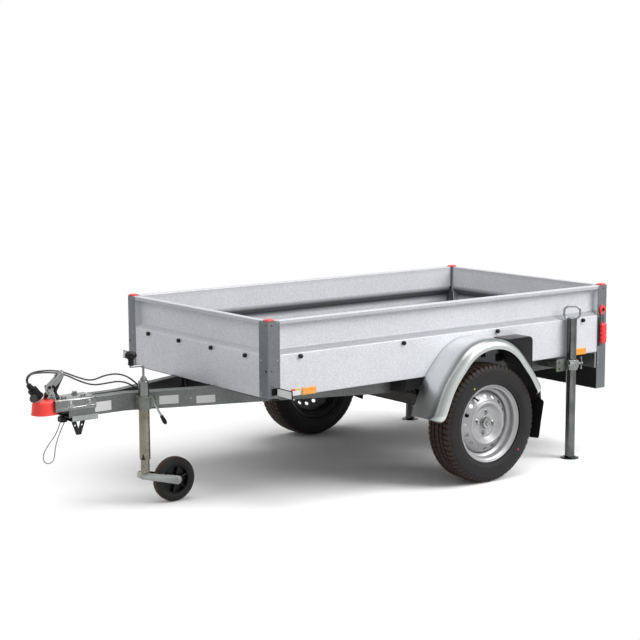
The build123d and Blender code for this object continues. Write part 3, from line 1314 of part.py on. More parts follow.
white_y = FRONT_Y + WHITE_BEHIND_FRONT
white_centre_x = BOX_HALF + WHITE_GAP_FROM_BOX + WHITE_WIDTH / 2
white_middle_z = WHITE_LOW_Z + WHITE_HEIGHT / 2
arm_plate_start = BOX_HALF + SHEET + FIT_GAP
arm_plate_end = white_centre_x + WHITE_WIDTH / 4
with BuildPart() as reflector_arms:
    for side in SIDES.values():
        with BuildSketch(Plane.XZ.offset(-white_y)):
            with Locations((side * (arm_plate_start + arm_plate_end) / 2, white_middle_z)):
                Rectangle(arm_plate_end - arm_plate_start, WHITE_HEIGHT * ARM_PLATE_SHARE)
        extrude(amount=-ARM_PLATE_WALL)
        with BuildSketch(Plane.YZ.offset(side * arm_plate_start)):
            with Locations((white_y - WHITE_BEHIND_FRONT / 3 + ARM_PLATE_WALL, white_middle_z)):
                Rectangle(WHITE_BEHIND_FRONT * 2 / 3, WHITE_HEIGHT * ARM_PLATE_SHARE)
        extrude(amount=side * ARM_PLATE_WALL)
reflector_arms.part.label = "reflector_arms"
export_step(reflector_arms.part, "parts/reflector_arms.step")

with BuildPart() as front_reflectors:
    for side in SIDES.values():
        with BuildSketch(Plane.XZ.offset(-(white_y - FIT_GAP))):
            with Locations((side * white_centre_x, white_middle_z)):
                RectangleRounded(WHITE_WIDTH, WHITE_HEIGHT, SHEET)
        extrude(amount=WHITE_OUT)
front_reflectors.part.label = "front_reflectors"
export_step(front_reflectors.part, "parts/front_reflectors.step")

# ---------------------------------------------------------------- knobs, hooks and latches
side_knob_pitch = (BOX_LENGTH - 2 * SIDE_KNOB_END_IN) / (KNOBS_A_SIDE - 1)
side_knobs_y = [FRONT_Y + SIDE_KNOB_END_IN + i * side_knob_pitch for i in range(KNOBS_A_SIDE)]
end_knob_half = BOX_HALF - END_KNOB_SIDE_IN
end_knob_pitch = 2 * end_knob_half / (KNOBS_A_SIDE - 1)
end_knobs_x = [END_KNOB_SHIFT - end_knob_half + i * end_knob_pitch for i in range(KNOBS_A_SIDE)]
with BuildPart() as cover_knobs:
    for side in SIDES.values():
        for knob_y in side_knobs_y:
            with BuildSketch(Plane.YZ.offset(side * (BOX_HALF + FIT_GAP))):
                with Locations((knob_y, KNOB_Z)):
                    Circle(COVER_KNOB_RADIUS)
            extrude(amount=side * COVER_KNOB_OUT)
    for knob_x in end_knobs_x:
        with BuildSketch(Plane.XZ.offset(-(FRONT_Y - FIT_GAP))):
            with Locations((knob_x, KNOB_Z)):
                Circle(COVER_KNOB_RADIUS)
        extrude(amount=COVER_KNOB_OUT)
cover_knobs.part.label = "cover_knobs"
export_step(cover_knobs.part, "parts/cover_knobs.step")

with BuildPart() as gate_knobs:
    for knob_x in end_knobs_x:
        with BuildSketch(Plane.XZ.offset(-(REAR_Y + FIT_GAP))):
            with Locations((knob_x, KNOB_Z)):
                Circle(COVER_KNOB_RADIUS)
        extrude(amount=-COVER_KNOB_OUT)
gate_knobs.part.label = "gate_knobs"
export_step(gate_knobs.part, "parts/gate_knobs.step")

gate_skin_y = REAR_Y - PANEL_DEPTH + SHEET
with BuildPart() as gate_hooks:
    for side in SIDES.values():
        with BuildSketch(Plane.XZ.offset(-(gate_skin_y + FIT_GAP))):
            with Locations((side * (BOX_HALF - HOOK_SIDE_IN), HOOK_Z)):
                Circle(HOOK_RADIUS)
        extrude(amount=-(PANEL_DEPTH - SHEET + HOOK_OUT))
gate_hooks.part.label = "gate_hooks"
export_step(gate_hooks.part, "parts/gate_hooks.step")

latch_y = REAR_Y - LATCH_AHEAD_OF_REAR
latch_x = BOX_HALF + SHEET + FIT_GAP
with BuildPart() as latch_handles:
    for side in SIDES.values():
        with BuildSketch(Plane.YZ.offset(side * latch_x)):
            with Locations((latch_y, LATCH_EYE_Z)):
                Circle(LATCH_EYE_RADIUS)
        extrude(amount=side * LATCH_EYE_OUT)
        with BuildSketch(Plane.YZ.offset(side * latch_x)):
            with Locations((latch_y, GRIP_LOW_Z + GRIP_HEIGHT / 2)):
                RectangleRounded(GRIP_WIDTH, GRIP_HEIGHT, 2 * ARM_PLATE_WALL)
        extrude(amount=side * GRIP_OUT)
latch_handles.part.label = "latch_handles"
export_step(latch_handles.part, "parts/latch_handles.step")

wire_low_z = GRIP_LOW_Z + GRIP_HEIGHT + FIT_GAP
wire_length = LATCH_EYE_Z - LATCH_EYE_RADIUS - FIT_GAP - wire_low_z
with BuildPart() as latch_wires:
    for side in SIDES.values():
        for offset_y in (-GRIP_WIDTH / 4, GRIP_WIDTH / 4):
            with BuildSketch(Plane.XY.offset(wire_low_z)):
                with Locations((side * (latch_x + LATCH_WIRE_RADIUS + SHEET), latch_y + offset_y)):
                    Circle(LATCH_WIRE_RADIUS)
            extrude(amount=wire_length)
latch_wires.part.label = "latch_wires"
export_step(latch_wires.part, "parts/latch_wires.step")

# ---------------------------------------------------------------- cords
# Routes are (x, behind the coupling's tip, height), from where each cord leaves the trailer.
CABLE_ROUTE = [
    (-6, 541, 498),
    (-7, 497, 546),
    (-9, 432, 580),
    (-12, 360, 580),
    (-16, 295, 560),
    (-24, 232, 582),
    (-31, 165, 614),
    (-31, 98, 627),
    (-20, 38, 630),
    (-9, 2, 627),
    (-5, -18.5, 612.5),
    (-4, -21.5, 589.5),
    (-4, -7, 571),
]
LAMP_CABLE_ROUTE = [
    (7, 519, 498),
    (5, 481, 528),
    (1, 424, 549),
    (-3, 360, 545),
    (-8, 300, 542),
    (-15, 238, 565),
    (-23, 166, 605),
    (-23, 98, 619),
    (-12, 38, 625),
    (-1, 2, 626),
    (3, -18.5, 612.5),
    (4, -21.5, 589.5),
    (4, -7, 571),
]
ROPE_ROUTE = [
    (-4, 133, 402.3),
    (-4, 121, 372),
    (-3.5, 103, 342),
    (-3, 68, 306),
    (-1.5, 46, 272),
    (-0.5, 46, 240),
    (0.5, 72, 226),
    (1.5, 97, 243),
    (3, 100, 288),
    (4, 112, 330),
    (4, 130, 368),
    (4, 149, 402.3),
]


def corner_radii(points):
    """Radius at each corner of a route: 0.45 of its shorter run over the tangent of half the turn."""
    radii = []
    for before, corner, after in zip(points, points[1:], points[2:]):
        run_in = Vector(*corner) - Vector(*before)
        run_out = Vector(*after) - Vector(*corner)
        half_turn = math.radians(run_in.get_angle(run_out)) / 2
        radii.append(0.45 * min(run_in.length, run_out.length) / math.tan(half_turn))
    return radii


CORDS = (
    ("plug_cable", CABLE_ROUTE, CABLE_RADIUS),
    ("lamp_cable", LAMP_CABLE_ROUTE, CABLE_RADIUS),
    ("safety_rope", ROPE_ROUTE, ROPE_RADIUS),
)
for name, route_points, cord_radius in CORDS:
    points = [(x, TIP_Y + behind, z) for x, behind, z in route_points]
    radii = corner_radii(points)
    with BuildPart() as cord:
        with BuildLine() as route:
            FilletPolyline(*points, radius=radii)
        route_wire = route.wire()
        with BuildSketch(Plane(origin=route_wire @ 0, z_dir=route_wire % 0)):
            Circle(cord_radius)
        sweep(path=route_wire)
    cord.part.label = name
    export_step(cord.part, f"parts/{name}.step")
    expected = math.pi * cord_radius**2 * route_wire.length
    print(name, "length", round(route_wire.length), "volume share", round(cord.part.volume / expected, 4))
    print(name, "radii", [round(radius) for radius in radii])

# Gland block between the beams; its two nozzles point along the cables' first runs.
cable_end = Vector(0, CABLE_ROUTE[-1][1] + TIP_Y, CABLE_ROUTE[-1][2])
plug_way = Vector(0, CABLE_ROUTE[-1][1] - CABLE_ROUTE[-2][1], CABLE_ROUTE[-1][2] - CABLE_ROUTE[-2][2])
plug_way = plug_way.normalized()
plug_side = Vector(1, 0, 0)
with BuildPart() as cable_gland:
    for route_points in (CABLE_ROUTE, LAMP_CABLE_ROUTE):
        first, second = [Vector(x, TIP_Y + behind, z) for x, behind, z in route_points[:2]]
        way = (second - first).normalized()
        with BuildSketch(Plane(origin=first, z_dir=way)):
            Circle(GLAND_RADIUS)
        extrude(amount=-GLAND_LENGTH)
    gland_middle_y = TIP_Y + (CABLE_ROUTE[0][1] + LAMP_CABLE_ROUTE[0][1]) / 2 + GLAND_LENGTH / 2
    with BuildSketch(Plane.XY.offset(CABLE_ROUTE[0][2] - GLAND_RADIUS)):
        with Locations((0, gland_middle_y)):
            RectangleRounded(6 * GLAND_RADIUS, 6 * GLAND_RADIUS, SHEET)
    extrude(amount=-2 * GLAND_RADIUS)
cable_gland.part.label = "cable_gland"
export_step(cable_gland.part, "parts/cable_gland.step")

plug_start = cable_end
ring_start = plug_start + plug_way * (PLUG_LENGTH - PLUG_RING)
lid_way = plug_way.cross(plug_side)
lid_centre = plug_start + plug_way * LID_ALONG - lid_way * LID_OFF_AXIS
with BuildPart() as cable_plug:
    with BuildSketch(Plane(origin=plug_start, x_dir=plug_side, z_dir=plug_way)):
        Circle(PLUG_NECK_RADIUS)
    extrude(amount=PLUG_NECK)
    with BuildSketch(Plane(origin=plug_start + plug_way * (PLUG_NECK - PLUG_OVERLAP), x_dir=plug_side, z_dir=plug_way)):
        Circle(PLUG_RADIUS)
    extrude(amount=PLUG_LENGTH - PLUG_RING - PLUG_NECK + PLUG_OVERLAP)
    with BuildSketch(Plane(origin=ring_start, x_dir=plug_side, z_dir=plug_way)):
        Circle(PLUG_RING_RADIUS)
    extrude(amount=PLUG_RING)
    with BuildSketch(Plane.YZ.offset(PLUG_RADIUS)):
        with Locations((lid_centre.Y, lid_centre.Z)):
            Circle(LID_RADIUS)
    extrude(amount=-LID_WALL)
cable_plug.part.label = "cable_plug"
export_step(cable_plug.part, "parts/cable_plug.step")
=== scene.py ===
"""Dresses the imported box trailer: finishes, rolled and moulded forms, trim, cords and studio.

Sizes are millimetres in the trailer's own frame: +Z up, -Y forward to the coupling, +X its left
side. They turn to metres only where a mesh is made.
"""

import json
import logging
import math
from collections.abc import Callable
from dataclasses import dataclass, replace
from enum import Enum

import bmesh
import bpy
import numpy as np
from mathutils import Matrix, Vector

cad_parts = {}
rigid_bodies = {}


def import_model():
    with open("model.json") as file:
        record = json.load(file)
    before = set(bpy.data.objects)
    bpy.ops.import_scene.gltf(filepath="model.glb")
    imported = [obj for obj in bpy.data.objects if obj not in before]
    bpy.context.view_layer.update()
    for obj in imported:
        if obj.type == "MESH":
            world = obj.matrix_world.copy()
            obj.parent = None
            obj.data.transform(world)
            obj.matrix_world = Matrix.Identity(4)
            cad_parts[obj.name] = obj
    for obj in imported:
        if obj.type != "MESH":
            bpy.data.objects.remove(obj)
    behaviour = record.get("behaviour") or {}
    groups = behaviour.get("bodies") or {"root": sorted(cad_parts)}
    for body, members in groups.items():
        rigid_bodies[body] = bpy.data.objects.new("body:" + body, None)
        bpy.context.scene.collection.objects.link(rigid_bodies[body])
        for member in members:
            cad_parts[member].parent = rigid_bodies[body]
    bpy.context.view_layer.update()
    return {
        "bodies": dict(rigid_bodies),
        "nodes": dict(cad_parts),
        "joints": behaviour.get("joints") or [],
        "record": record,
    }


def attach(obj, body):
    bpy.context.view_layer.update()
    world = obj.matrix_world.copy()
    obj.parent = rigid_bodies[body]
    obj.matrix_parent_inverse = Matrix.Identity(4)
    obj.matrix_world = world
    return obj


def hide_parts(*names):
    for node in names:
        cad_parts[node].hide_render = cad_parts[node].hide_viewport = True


LOG = logging.getLogger("trailer")

Pair = tuple[float, float]
Pairs = tuple[Pair, ...]
Point = tuple[float, float, float]

METRE = 0.001
# Planes that the pieces share: coupling's tip, box's front and rear, axle, box's half width,
# bed and posts' tops.
TIP_Y = -1458.0
FRONT_Y = -644.0
REAR_Y = 1436.0
AXLE_Y = 504.0
BOX_HALF = 575.0
BED_Z = 505.0
TOP_Z = 839.0


class Body(str, Enum):
    """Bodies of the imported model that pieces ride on."""

    TRAILER = "trailer"
    WHEEL_LEFT = "wheel_left"
    WHEEL_RIGHT = "wheel_right"
    TAILGATE = "tailgate"
    STAND_LEFT = "stand_left"
    STAND_RIGHT = "stand_right"
    JOCKEY_POST = "jockey_post"
    JOCKEY_FORK = "jockey_fork"
    JOCKEY_WHEEL = "jockey_wheel"


class Side(Enum):
    """The trailer's two sides, as the sign of X."""

    LEFT = 1
    RIGHT = -1

    def take(self, shape: "Shape") -> "Shape":
        """The shape, which is drawn on the left, on this side."""
        return shape if self is Side.LEFT else shape.mirrored()


# ---- surfaces


@dataclass
class Shape:
    """Points in millimetres and faces over them; shapes add up with +."""

    points: np.ndarray
    faces: list[tuple[int, ...]]
    shade: np.ndarray | None = None

    def __add__(self, other: "Shape") -> "Shape":
        """The two shapes as one, each keeping its own points.

        Args:
            other: The other shape.

        Returns:
            One shape, which keeps its shade where both have one.
        """
        first = len(self.points)
        faces = self.faces + [tuple(i + first for i in face) for face in other.faces]
        shade = None
        if self.shade is not None and other.shade is not None:
            shade = np.concatenate([self.shade, other.shade])
        return Shape(np.vstack([self.points, other.points]), faces, shade)

    def mirrored(self) -> "Shape":
        """The shape on the trailer's other side."""
        return Shape(self.points * (-1, 1, 1), [face[::-1] for face in self.faces], self.shade)

    def both_sides(self) -> "Shape":
        """The shape and its mirror image."""
        return self + self.mirrored()


@dataclass(frozen=True)
class Workplane:
    """Where a shape is drawn: (a, b, c) lies at origin + a*across + b*up + c*out."""

    origin: Point
    across: Point
    up: Point
    out: Point

    def place(self, points: np.ndarray) -> np.ndarray:
        """Turns an array of local points, last axis (a, b, c), to trailer points."""
        axes = np.array([self.across, self.up, self.out], float)
        return np.asarray(self.origin, float) + np.asarray(points, float) @ axes


def side_plane(x: float, y: float = 0.0, z: float = 0.0) -> Workplane:
    """Plane that faces the trailer's left: across is rearward, up is up."""
    return Workplane((x, y, z), (0, 1, 0), (0, 0, 1), (1, 0, 0))


def front_plane(y: float, x: float = 0.0, z: float = 0.0) -> Workplane:
    """Plane that faces forward: across is to the left side, up is up."""
    return Workplane((x, y, z), (1, 0, 0), (0, 0, 1), (0, -1, 0))


def rear_plane(y: float, x: float = 0.0, z: float = 0.0) -> Workplane:
    """Plane that faces rearward: across is to the left side, up is up."""
    return Workplane((x, y, z), (1, 0, 0), (0, 0, 1), (0, 1, 0))


def top_plane(z: float, x: float = 0.0, y: float = 0.0) -> Workplane:
    """Plane that faces up: across is to the left side, up is rearward."""
    return Workplane((x, y, z), (1, 0, 0), (0, 1, 0), (0, 0, 1))


def aimed_plane(origin: tuple[float, ...], way: tuple[float, ...], across: tuple[float, ...]) -> Workplane:
    """Plane whose out axis points along way, and whose across axis is nearest to across.

    Args:
        origin: Its origin.
        way: Where its out axis points.
        across: What its across axis stays nearest to.

    Returns:
        The plane.
    """
    out = np.asarray(way, float)
    out = out / np.linalg.norm(out)
    side = np.asarray(across, float)
    side = side - out * (side @ out)
    side = side / np.linalg.norm(side)
    return Workplane(tuple(origin), tuple(side), tuple(np.cross(out, side)), tuple(out))


def loft(rings: np.ndarray, closed: bool = True, caps: bool = True, cyclic: bool = False) -> Shape:
    """Skin over a stack of rings: quads join point j of ring i to its neighbours on both.

    Args:
        rings: Array (rings, points, 3).
        closed: Whether each ring runs back to its first point.
        caps: Whether the first and last ring are filled.
        cyclic: Whether the last ring joins the first.

    Returns:
        The skinned shape.
    """
    rows, columns, _ = rings.shape
    i = np.arange(rows if cyclic else rows - 1)[:, None]
    j = np.arange(columns if closed else columns - 1)[None, :]
    below = i * columns
    above = (i + 1) % rows * columns
    k = (j + 1) % columns
    quads = np.stack([below + j, below + k, above + k, above + j], axis=-1).reshape(-1, 4)
    faces = [tuple(quad) for quad in quads.tolist()]
    if caps and closed and not cyclic:
        faces.append(tuple(range(columns))[::-1])
        faces.append(tuple(range((rows - 1) * columns, rows * columns)))
    return Shape(rings.reshape(-1, 3), faces)


def unit(vectors: np.ndarray) -> np.ndarray:
    """Vectors scaled to length one along their last axis."""
    return vectors / np.maximum(np.linalg.norm(vectors, axis=-1, keepdims=True), 1e-12)


def rounded_line(corners: list, radius: float | tuple[float, ...], steps: int = 6,
                 closed: bool = False) -> np.ndarray:
    """A polyline whose corners are arcs.

    Each arc touches both runs of its corner: its centre lies on the corner's bisector, radius
    over the sine of the half angle away, and its points turn evenly from one touch point to
    the other.

    Args:
        corners: The corner points, in two or three dimensions.
        radius: One radius, or one for each corner.
        steps: Divisions of each arc.
        closed: Whether the line runs back to its first corner.

    Returns:
        Array of points.
    """
    corners = np.asarray(corners, float)
    a = unit(np.roll(corners, 1, 0) - corners)
    b = unit(np.roll(corners, -1, 0) - corners)
    half = 0.5 * np.arccos(np.clip((a * b).sum(-1), -1, 1))
    radii = np.broadcast_to(np.asarray(radius, float), len(corners))
    centre = corners + unit(a + b) * (radii / np.sin(half))[:, None]
    start = corners + a * (radii / np.tan(half))[:, None] - centre
    end = corners + b * (radii / np.tan(half))[:, None] - centre
    turn = np.maximum(np.pi - 2 * half, 1e-6)[:, None]
    t = np.linspace(0, 1, steps + 1)[None, :]
    fade_out = np.sin((1 - t) * turn) / np.sin(turn)
    fade_in = np.sin(t * turn) / np.sin(turn)
    arcs = centre[:, None] + fade_out[..., None] * start[:, None] + fade_in[..., None] * end[:, None]
    if closed:
        return arcs.reshape(-1, corners.shape[1])
    inner = arcs[1:-1].reshape(-1, corners.shape[1])
    return np.vstack([corners[:1], inner, corners[-1:]])


def shifted_line(line: np.ndarray, distance: float) -> np.ndarray:
    """An open flat line moved to its own left by distance, mitred at its points.

    Args:
        line: Points (n, 2).
        distance: How far it moves.

    Returns:
        Array of as many points.
    """
    runs = unit(np.diff(line, axis=0))
    normals = np.stack([-runs[:, 1], runs[:, 0]], axis=-1)
    first = np.vstack([normals[:1], normals])
    last = np.vstack([normals, normals[-1:]])
    share = distance / (1 + (first * last).sum(-1))
    return line + share[:, None] * (first + last)


def folded_sheet(line: np.ndarray, wall: float) -> np.ndarray:
    """Closed outline of a bent sheet: the line, and the line moved to its left by wall."""
    return np.vstack([line, shifted_line(line, wall)[::-1]])


def inset(outline: np.ndarray, distance: float) -> np.ndarray:
    """A closed anticlockwise outline moved inward by distance, mitred at its points.

    Args:
        outline: Points (n, 2).
        distance: How far it moves in.

    Returns:
        Array of as many points.
    """
    before = unit(outline - np.roll(outline, 1, 0))
    after = unit(np.roll(outline, -1, 0) - outline)
    first = np.stack([-before[:, 1], before[:, 0]], axis=-1)
    last = np.stack([-after[:, 1], after[:, 0]], axis=-1)
    share = distance / (1 + (first * last).sum(-1))
    return outline + share[:, None] * (first + last)


def circle(radius: float, points: int = 32, centre: Pair = (0.0, 0.0)) -> np.ndarray:
    """Points of a circle: centre + radius * (cos, sin) of even steps round it."""
    turn = np.linspace(0, 2 * np.pi, points, endpoint=False)
    return np.asarray(centre, float) + radius * np.stack([np.cos(turn), np.sin(turn)], axis=-1)


def rounded_box(width: float, height: float, radius: float, steps: int = 5) -> np.ndarray:
    """Outline of a rectangle with round corners, centred and anticlockwise."""
    w, h = width / 2, height / 2
    return rounded_line([(-w, -h), (w, -h), (w, h), (-w, h)], radius, steps, closed=True)


def slab(plane: Workplane, outline: np.ndarray, low: float, high: float, edge: float = 0.6,
         steps: int = 2) -> Shape:
    """A plate with rounded rims: the outline carried from low to high along the plane's out axis.

    Over each rim the outline draws in by edge * (1 - cos) while its height turns by edge * sin of
    the same quarter turn.

    Args:
        plane: Where it is drawn.
        outline: Closed outline, array (n, 2).
        low: Height of its back.
        high: Height of its face.
        edge: Radius of its rims.
        steps: Divisions of each rim.

    Returns:
        The closed plate.
    """
    after = np.roll(outline, -1, 0)
    if (outline[:, 0] * after[:, 1] - outline[:, 1] * after[:, 0]).sum() < 0:
        outline = outline[::-1]
    turn = np.linspace(0, np.pi / 2, steps + 1)
    draw = edge * (1 - np.sin(turn))
    rise = edge * (1 - np.cos(turn))
    draws = np.concatenate([draw, draw[::-1]])
    heights = np.concatenate([low + rise, high - rise[::-1]])
    rings = [at_height(inset(outline, d), h) for d, h in zip(draws, heights)]
    return loft(plane.place(np.array(rings)))


def turned(plane: Workplane, profile: list, segments: int = 48, ring: bool = False) -> Shape:
    """A lathe form: radius and height of the profile carried round the plane's out axis.

    Args:
        plane: Its origin and out axis are the axis of the turning.
        profile: Pairs (radius, height).
        segments: Divisions of the turn.
        ring: Whether the profile closes on itself, so the form is a ring.

    Returns:
        The closed form.
    """
    profile = np.asarray(profile, float)
    turn = np.linspace(0, 2 * np.pi, segments, endpoint=False)
    radius, height = profile[:, :1], profile[:, 1:]
    local = np.stack([radius * np.cos(turn), radius * np.sin(turn), height + 0 * turn], axis=-1)
    return loft(plane.place(local), cyclic=ring)


def carried(path: np.ndarray, outline: np.ndarray, across: Point,
            swell: np.ndarray | None = None) -> Shape:
    """A closed outline carried along a path.

    At each point the ring lies in the plane of across and the path's normal, which is across
    turned a quarter about the path's direction.

    Args:
        path: Points (m, 3).
        outline: Closed outline (n, 2) as (along across, along the normal).
        across: Direction that the path never turns to.
        swell: Factors (m, 2) on the outline's two coordinates, one pair for each point.

    Returns:
        The closed form.
    """
    way = unit(np.gradient(path, axis=0))
    side = np.asarray(across, float)
    side = unit(side - way * (way @ side)[:, None])
    normal = np.cross(way, side)
    sizes = outline[None] * (np.ones((len(path), 1, 2)) if swell is None else swell[:, None])
    rings = path[:, None] + sizes[..., :1] * side[:, None] + sizes[..., 1:] * normal[:, None]
    return loft(rings)


def rod(path: np.ndarray, radius: float, segments: int = 16, cyclic: bool = False) -> Shape:
    """A round rod along a path in a plane or nearly so, its rings square to the path.

    Args:
        path: Points (m, 3).
        radius: Radius of the rod.
        segments: Divisions round it.
        cyclic: Whether the path closes on itself.

    Returns:
        The closed form.
    """
    path = np.asarray(path, float)
    ends = (np.roll(path, -1, 0) - np.roll(path, 1, 0)) if cyclic else np.gradient(path, axis=0)
    way = unit(ends)
    reference = np.array([0.31, 0.17, 0.93]) if abs(way[:, 2]).max() < 0.8 else np.array([0.93, 0.31, 0.17])
    side = unit(np.cross(way, reference))
    normal = np.cross(way, side)
    turn = np.linspace(0, 2 * np.pi, segments, endpoint=False)[None, :, None]
    rings = path[:, None] + radius * (np.cos(turn) * side[:, None] + np.sin(turn) * normal[:, None])
    return loft(rings, cyclic=cyclic, caps=not cyclic)


def joined(shapes: list[Shape]) -> Shape:
    """All the shapes as one.

    Args:
        shapes: One shape or more.

    Returns:
        One shape, which keeps its shade where all have one.
    """
    total = shapes[0]
    for shape in shapes[1:]:
        total = total + shape
    return total


def subdivided(line: np.ndarray, step: float) -> np.ndarray:
    """The line with more points on its long runs, evenly spaced and no further apart than step.

    Args:
        line: Points of the line.
        step: Most that two points may be apart.

    Returns:
        Array of points.
    """
    runs = np.linalg.norm(np.diff(line, axis=0), axis=1)
    counts = np.maximum(np.ceil(runs / step).astype(int), 1)
    parts = [np.linspace(a, b, n, endpoint=False) for a, b, n in zip(line[:-1], line[1:], counts)]
    return np.vstack([*parts, line[-1:]])


def lengths_along(line: np.ndarray) -> np.ndarray:
    """How far along the line each of its points is: the running sum of its runs' lengths."""
    return np.concatenate([[0], np.cumsum(np.linalg.norm(np.diff(line, axis=0), axis=1))])


def at_height(flat: np.ndarray, height: float | np.ndarray) -> np.ndarray:
    """Flat points (n, 2) with the height as their third coordinate."""
    return np.column_stack([flat, np.broadcast_to(height, len(flat))])


def bent_plate(line: np.ndarray, wall: float, low: float, high: float, round_top: float = 0.0) -> Shape:
    """An upright plate bent along a line in plan.

    Its top drops at both free ends by round_top - sqrt(round_top**2 - (round_top - d)**2), where d
    is the distance from the end, so the corners there are quarter circles.

    Args:
        line: Points (x, y) of its outer skin.
        wall: Thickness to the line's left, or to its right where negative.
        low: Height of its foot.
        high: Height of its top.
        round_top: Radius of its free top corners.

    Returns:
        The closed plate.
    """
    line = subdivided(line, 3 if round_top else 60)
    back = shifted_line(line, wall)
    along = lengths_along(line)
    gap = np.clip(round_top - np.minimum(along, along[-1] - along), 0, round_top)
    top = high - (round_top - np.sqrt(round_top**2 - gap**2))
    rings = np.stack([
        at_height(line, low), at_height(line, top), at_height(back, top), at_height(back, low),
    ], axis=1)
    return loft(rings)


def framed_hole(plane: Workplane, low: Pair, high: Pair,
                hole: Pair, radius: float, wall: float) -> Shape:
    """A rectangular plate with a round hole.

    Each point of the hole's circle has one on the rectangle, where the ray from the hole's centre
    through it meets the nearest side; the corners are moved onto the rays nearest to them.

    Args:
        plane: Where it is drawn, its face outward.
        low: Its lower corner (across, up).
        high: Its upper corner.
        hole: Centre of the hole.
        radius: Radius of the hole.
        wall: Its thickness behind the plane.

    Returns:
        The closed plate.
    """
    way = circle(1, 40)
    reach = np.where(way > 0, np.subtract(high, hole), np.subtract(hole, low))
    share = (reach / np.maximum(np.abs(way), 1e-9)).min(axis=1, keepdims=True)
    frame = np.asarray(hole) + way * share
    corners = np.array([(low[0], low[1]), (high[0], low[1]), (high[0], high[1]), (low[0], high[1])])
    nearest = np.linalg.norm(frame[None] - corners[:, None], axis=-1).argmin(axis=1)
    frame[nearest] = corners
    inner = np.asarray(hole) + way * radius
    rings = [(inner, -wall), (inner, 0), (frame, 0), (frame, -wall)]
    local = np.array([at_height(flat, height) for flat, height in rings])
    return loft(plane.place(local), cyclic=True)


def relief_block(plane: Workplane, width: float, height: float, rise: np.ndarray, low: float) -> Shape:
    """A block whose face is a grid of heights, centred on the plane's origin.

    Row j of the grid is one ring: its points across the block, and two more at its back.

    Args:
        plane: Where it is drawn.
        width: Its size across.
        height: Its size up.
        rise: Heights (rows, columns) over the plane.
        low: Height of its back.

    Returns:
        The closed block.
    """
    rows, columns = rise.shape
    across = np.linspace(-width / 2, width / 2, columns)
    up = np.linspace(-height / 2, height / 2, rows)
    a, b = np.meshgrid(across, up)
    face = np.dstack([a, b, rise])
    right = np.dstack([np.full(rows, width / 2), up, np.full(rows, low)]).reshape(rows, 1, 3)
    left = right * (-1, 1, 1)
    return loft(plane.place(np.concatenate([face, right, left], axis=1)))


def hexagon_bolt(plane: Workplane, across: float, height: float, washer: float = 1.7) -> Shape:
    """A hexagon head with a chamfer on a flat washer; across is the size over its flats.

    Args:
        plane: Where it sits, its out axis the bolt's.
        across: Size over its flats.
        height: Height of its head.
        washer: Thickness of its washer.

    Returns:
        The bolt.
    """
    corner = across / math.sqrt(3)
    outline = rounded_line(circle(corner, 6).tolist(), corner * 0.12, 2, closed=True)
    seat = turned(plane, [(across * 0.86, -0.4), (across * 0.86, washer * 0.7), (across * 0.8, washer),
                          (across * 0.3, washer)], 28)
    head = slab(plane, outline, washer * 0.6, washer + height, height * 0.16, 2)
    stamp = turned(plane, [(across * 0.4, washer + height * 0.8), (across * 0.38, washer + height + 0.25),
                           (across * 0.1, washer + height + 0.3)], 20)
    return seat + head + stamp


def rivet(plane: Workplane, radius: float, rise: float) -> Shape:
    """A blind rivet: a low dome with a dimple in its middle.

    Args:
        plane: Where it sits.
        radius: Radius of its head.
        rise: Height of its head.

    Returns:
        The rivet.
    """
    return turned(plane, [
        (radius, -0.5), (radius, rise * 0.25), (radius * 0.85, rise * 0.7), (radius * 0.55, rise),
        (radius * 0.34, rise), (radius * 0.26, rise * 0.5), (radius * 0.05, rise * 0.45),
    ], 18)


def flat_disc(plane: Workplane, radius: float, rise: float = 0.35) -> Shape:
    """A thin disc, for painted shade in a hole's mouth or for a dab of paint."""
    profile = [(radius, -0.4), (radius, rise * 0.6), (radius * 0.9, rise), (radius * 0.1, rise)]
    return turned(plane, profile, 20)


# ---- finishes


def linear(code: str) -> tuple[float, float, float, float]:
    """An sRGB hex colour as linear RGBA.

    Args:
        code: A hash and six hex digits.

    Returns:
        Red, green, blue and a full alpha.
    """
    channels = [int(code[i:i + 2], 16) / 255 for i in (1, 3, 5)]
    red, green, blue = [c / 12.92 if c <= 0.04045 else ((c + 0.055) / 1.055) ** 2.4 for c in channels]
    return red, green, blue, 1.0


def add_node(tree: bpy.types.NodeTree, kind: str, inputs: dict | None = None,
             **settings: object) -> bpy.types.Node:
    """Adds a node.

    Args:
        tree: The tree that gets it.
        kind: Its type name.
        inputs: Socket name or number to a value, or to the output that feeds it.
        settings: Properties of the node.

    Returns:
        The new node.
    """
    node = tree.nodes.new(kind)
    for name, value in settings.items():
        setattr(node, name, value)
    for key, value in (inputs or {}).items():
        if isinstance(value, bpy.types.NodeSocket):
            tree.links.new(value, node.inputs[key])
        else:
            node.inputs[key].default_value = value
    return node


def per_metre(size_mm: float) -> float:
    """Texture scale at which one cell is size_mm across, on coordinates in metres."""
    return 1000.0 / size_mm


# Painted shade, a brown black, on faces that look to the trailer's middle: it stands in for the shadow
# between the beams.
PAINTED_INWARD_SHADE = "#1C1B19"


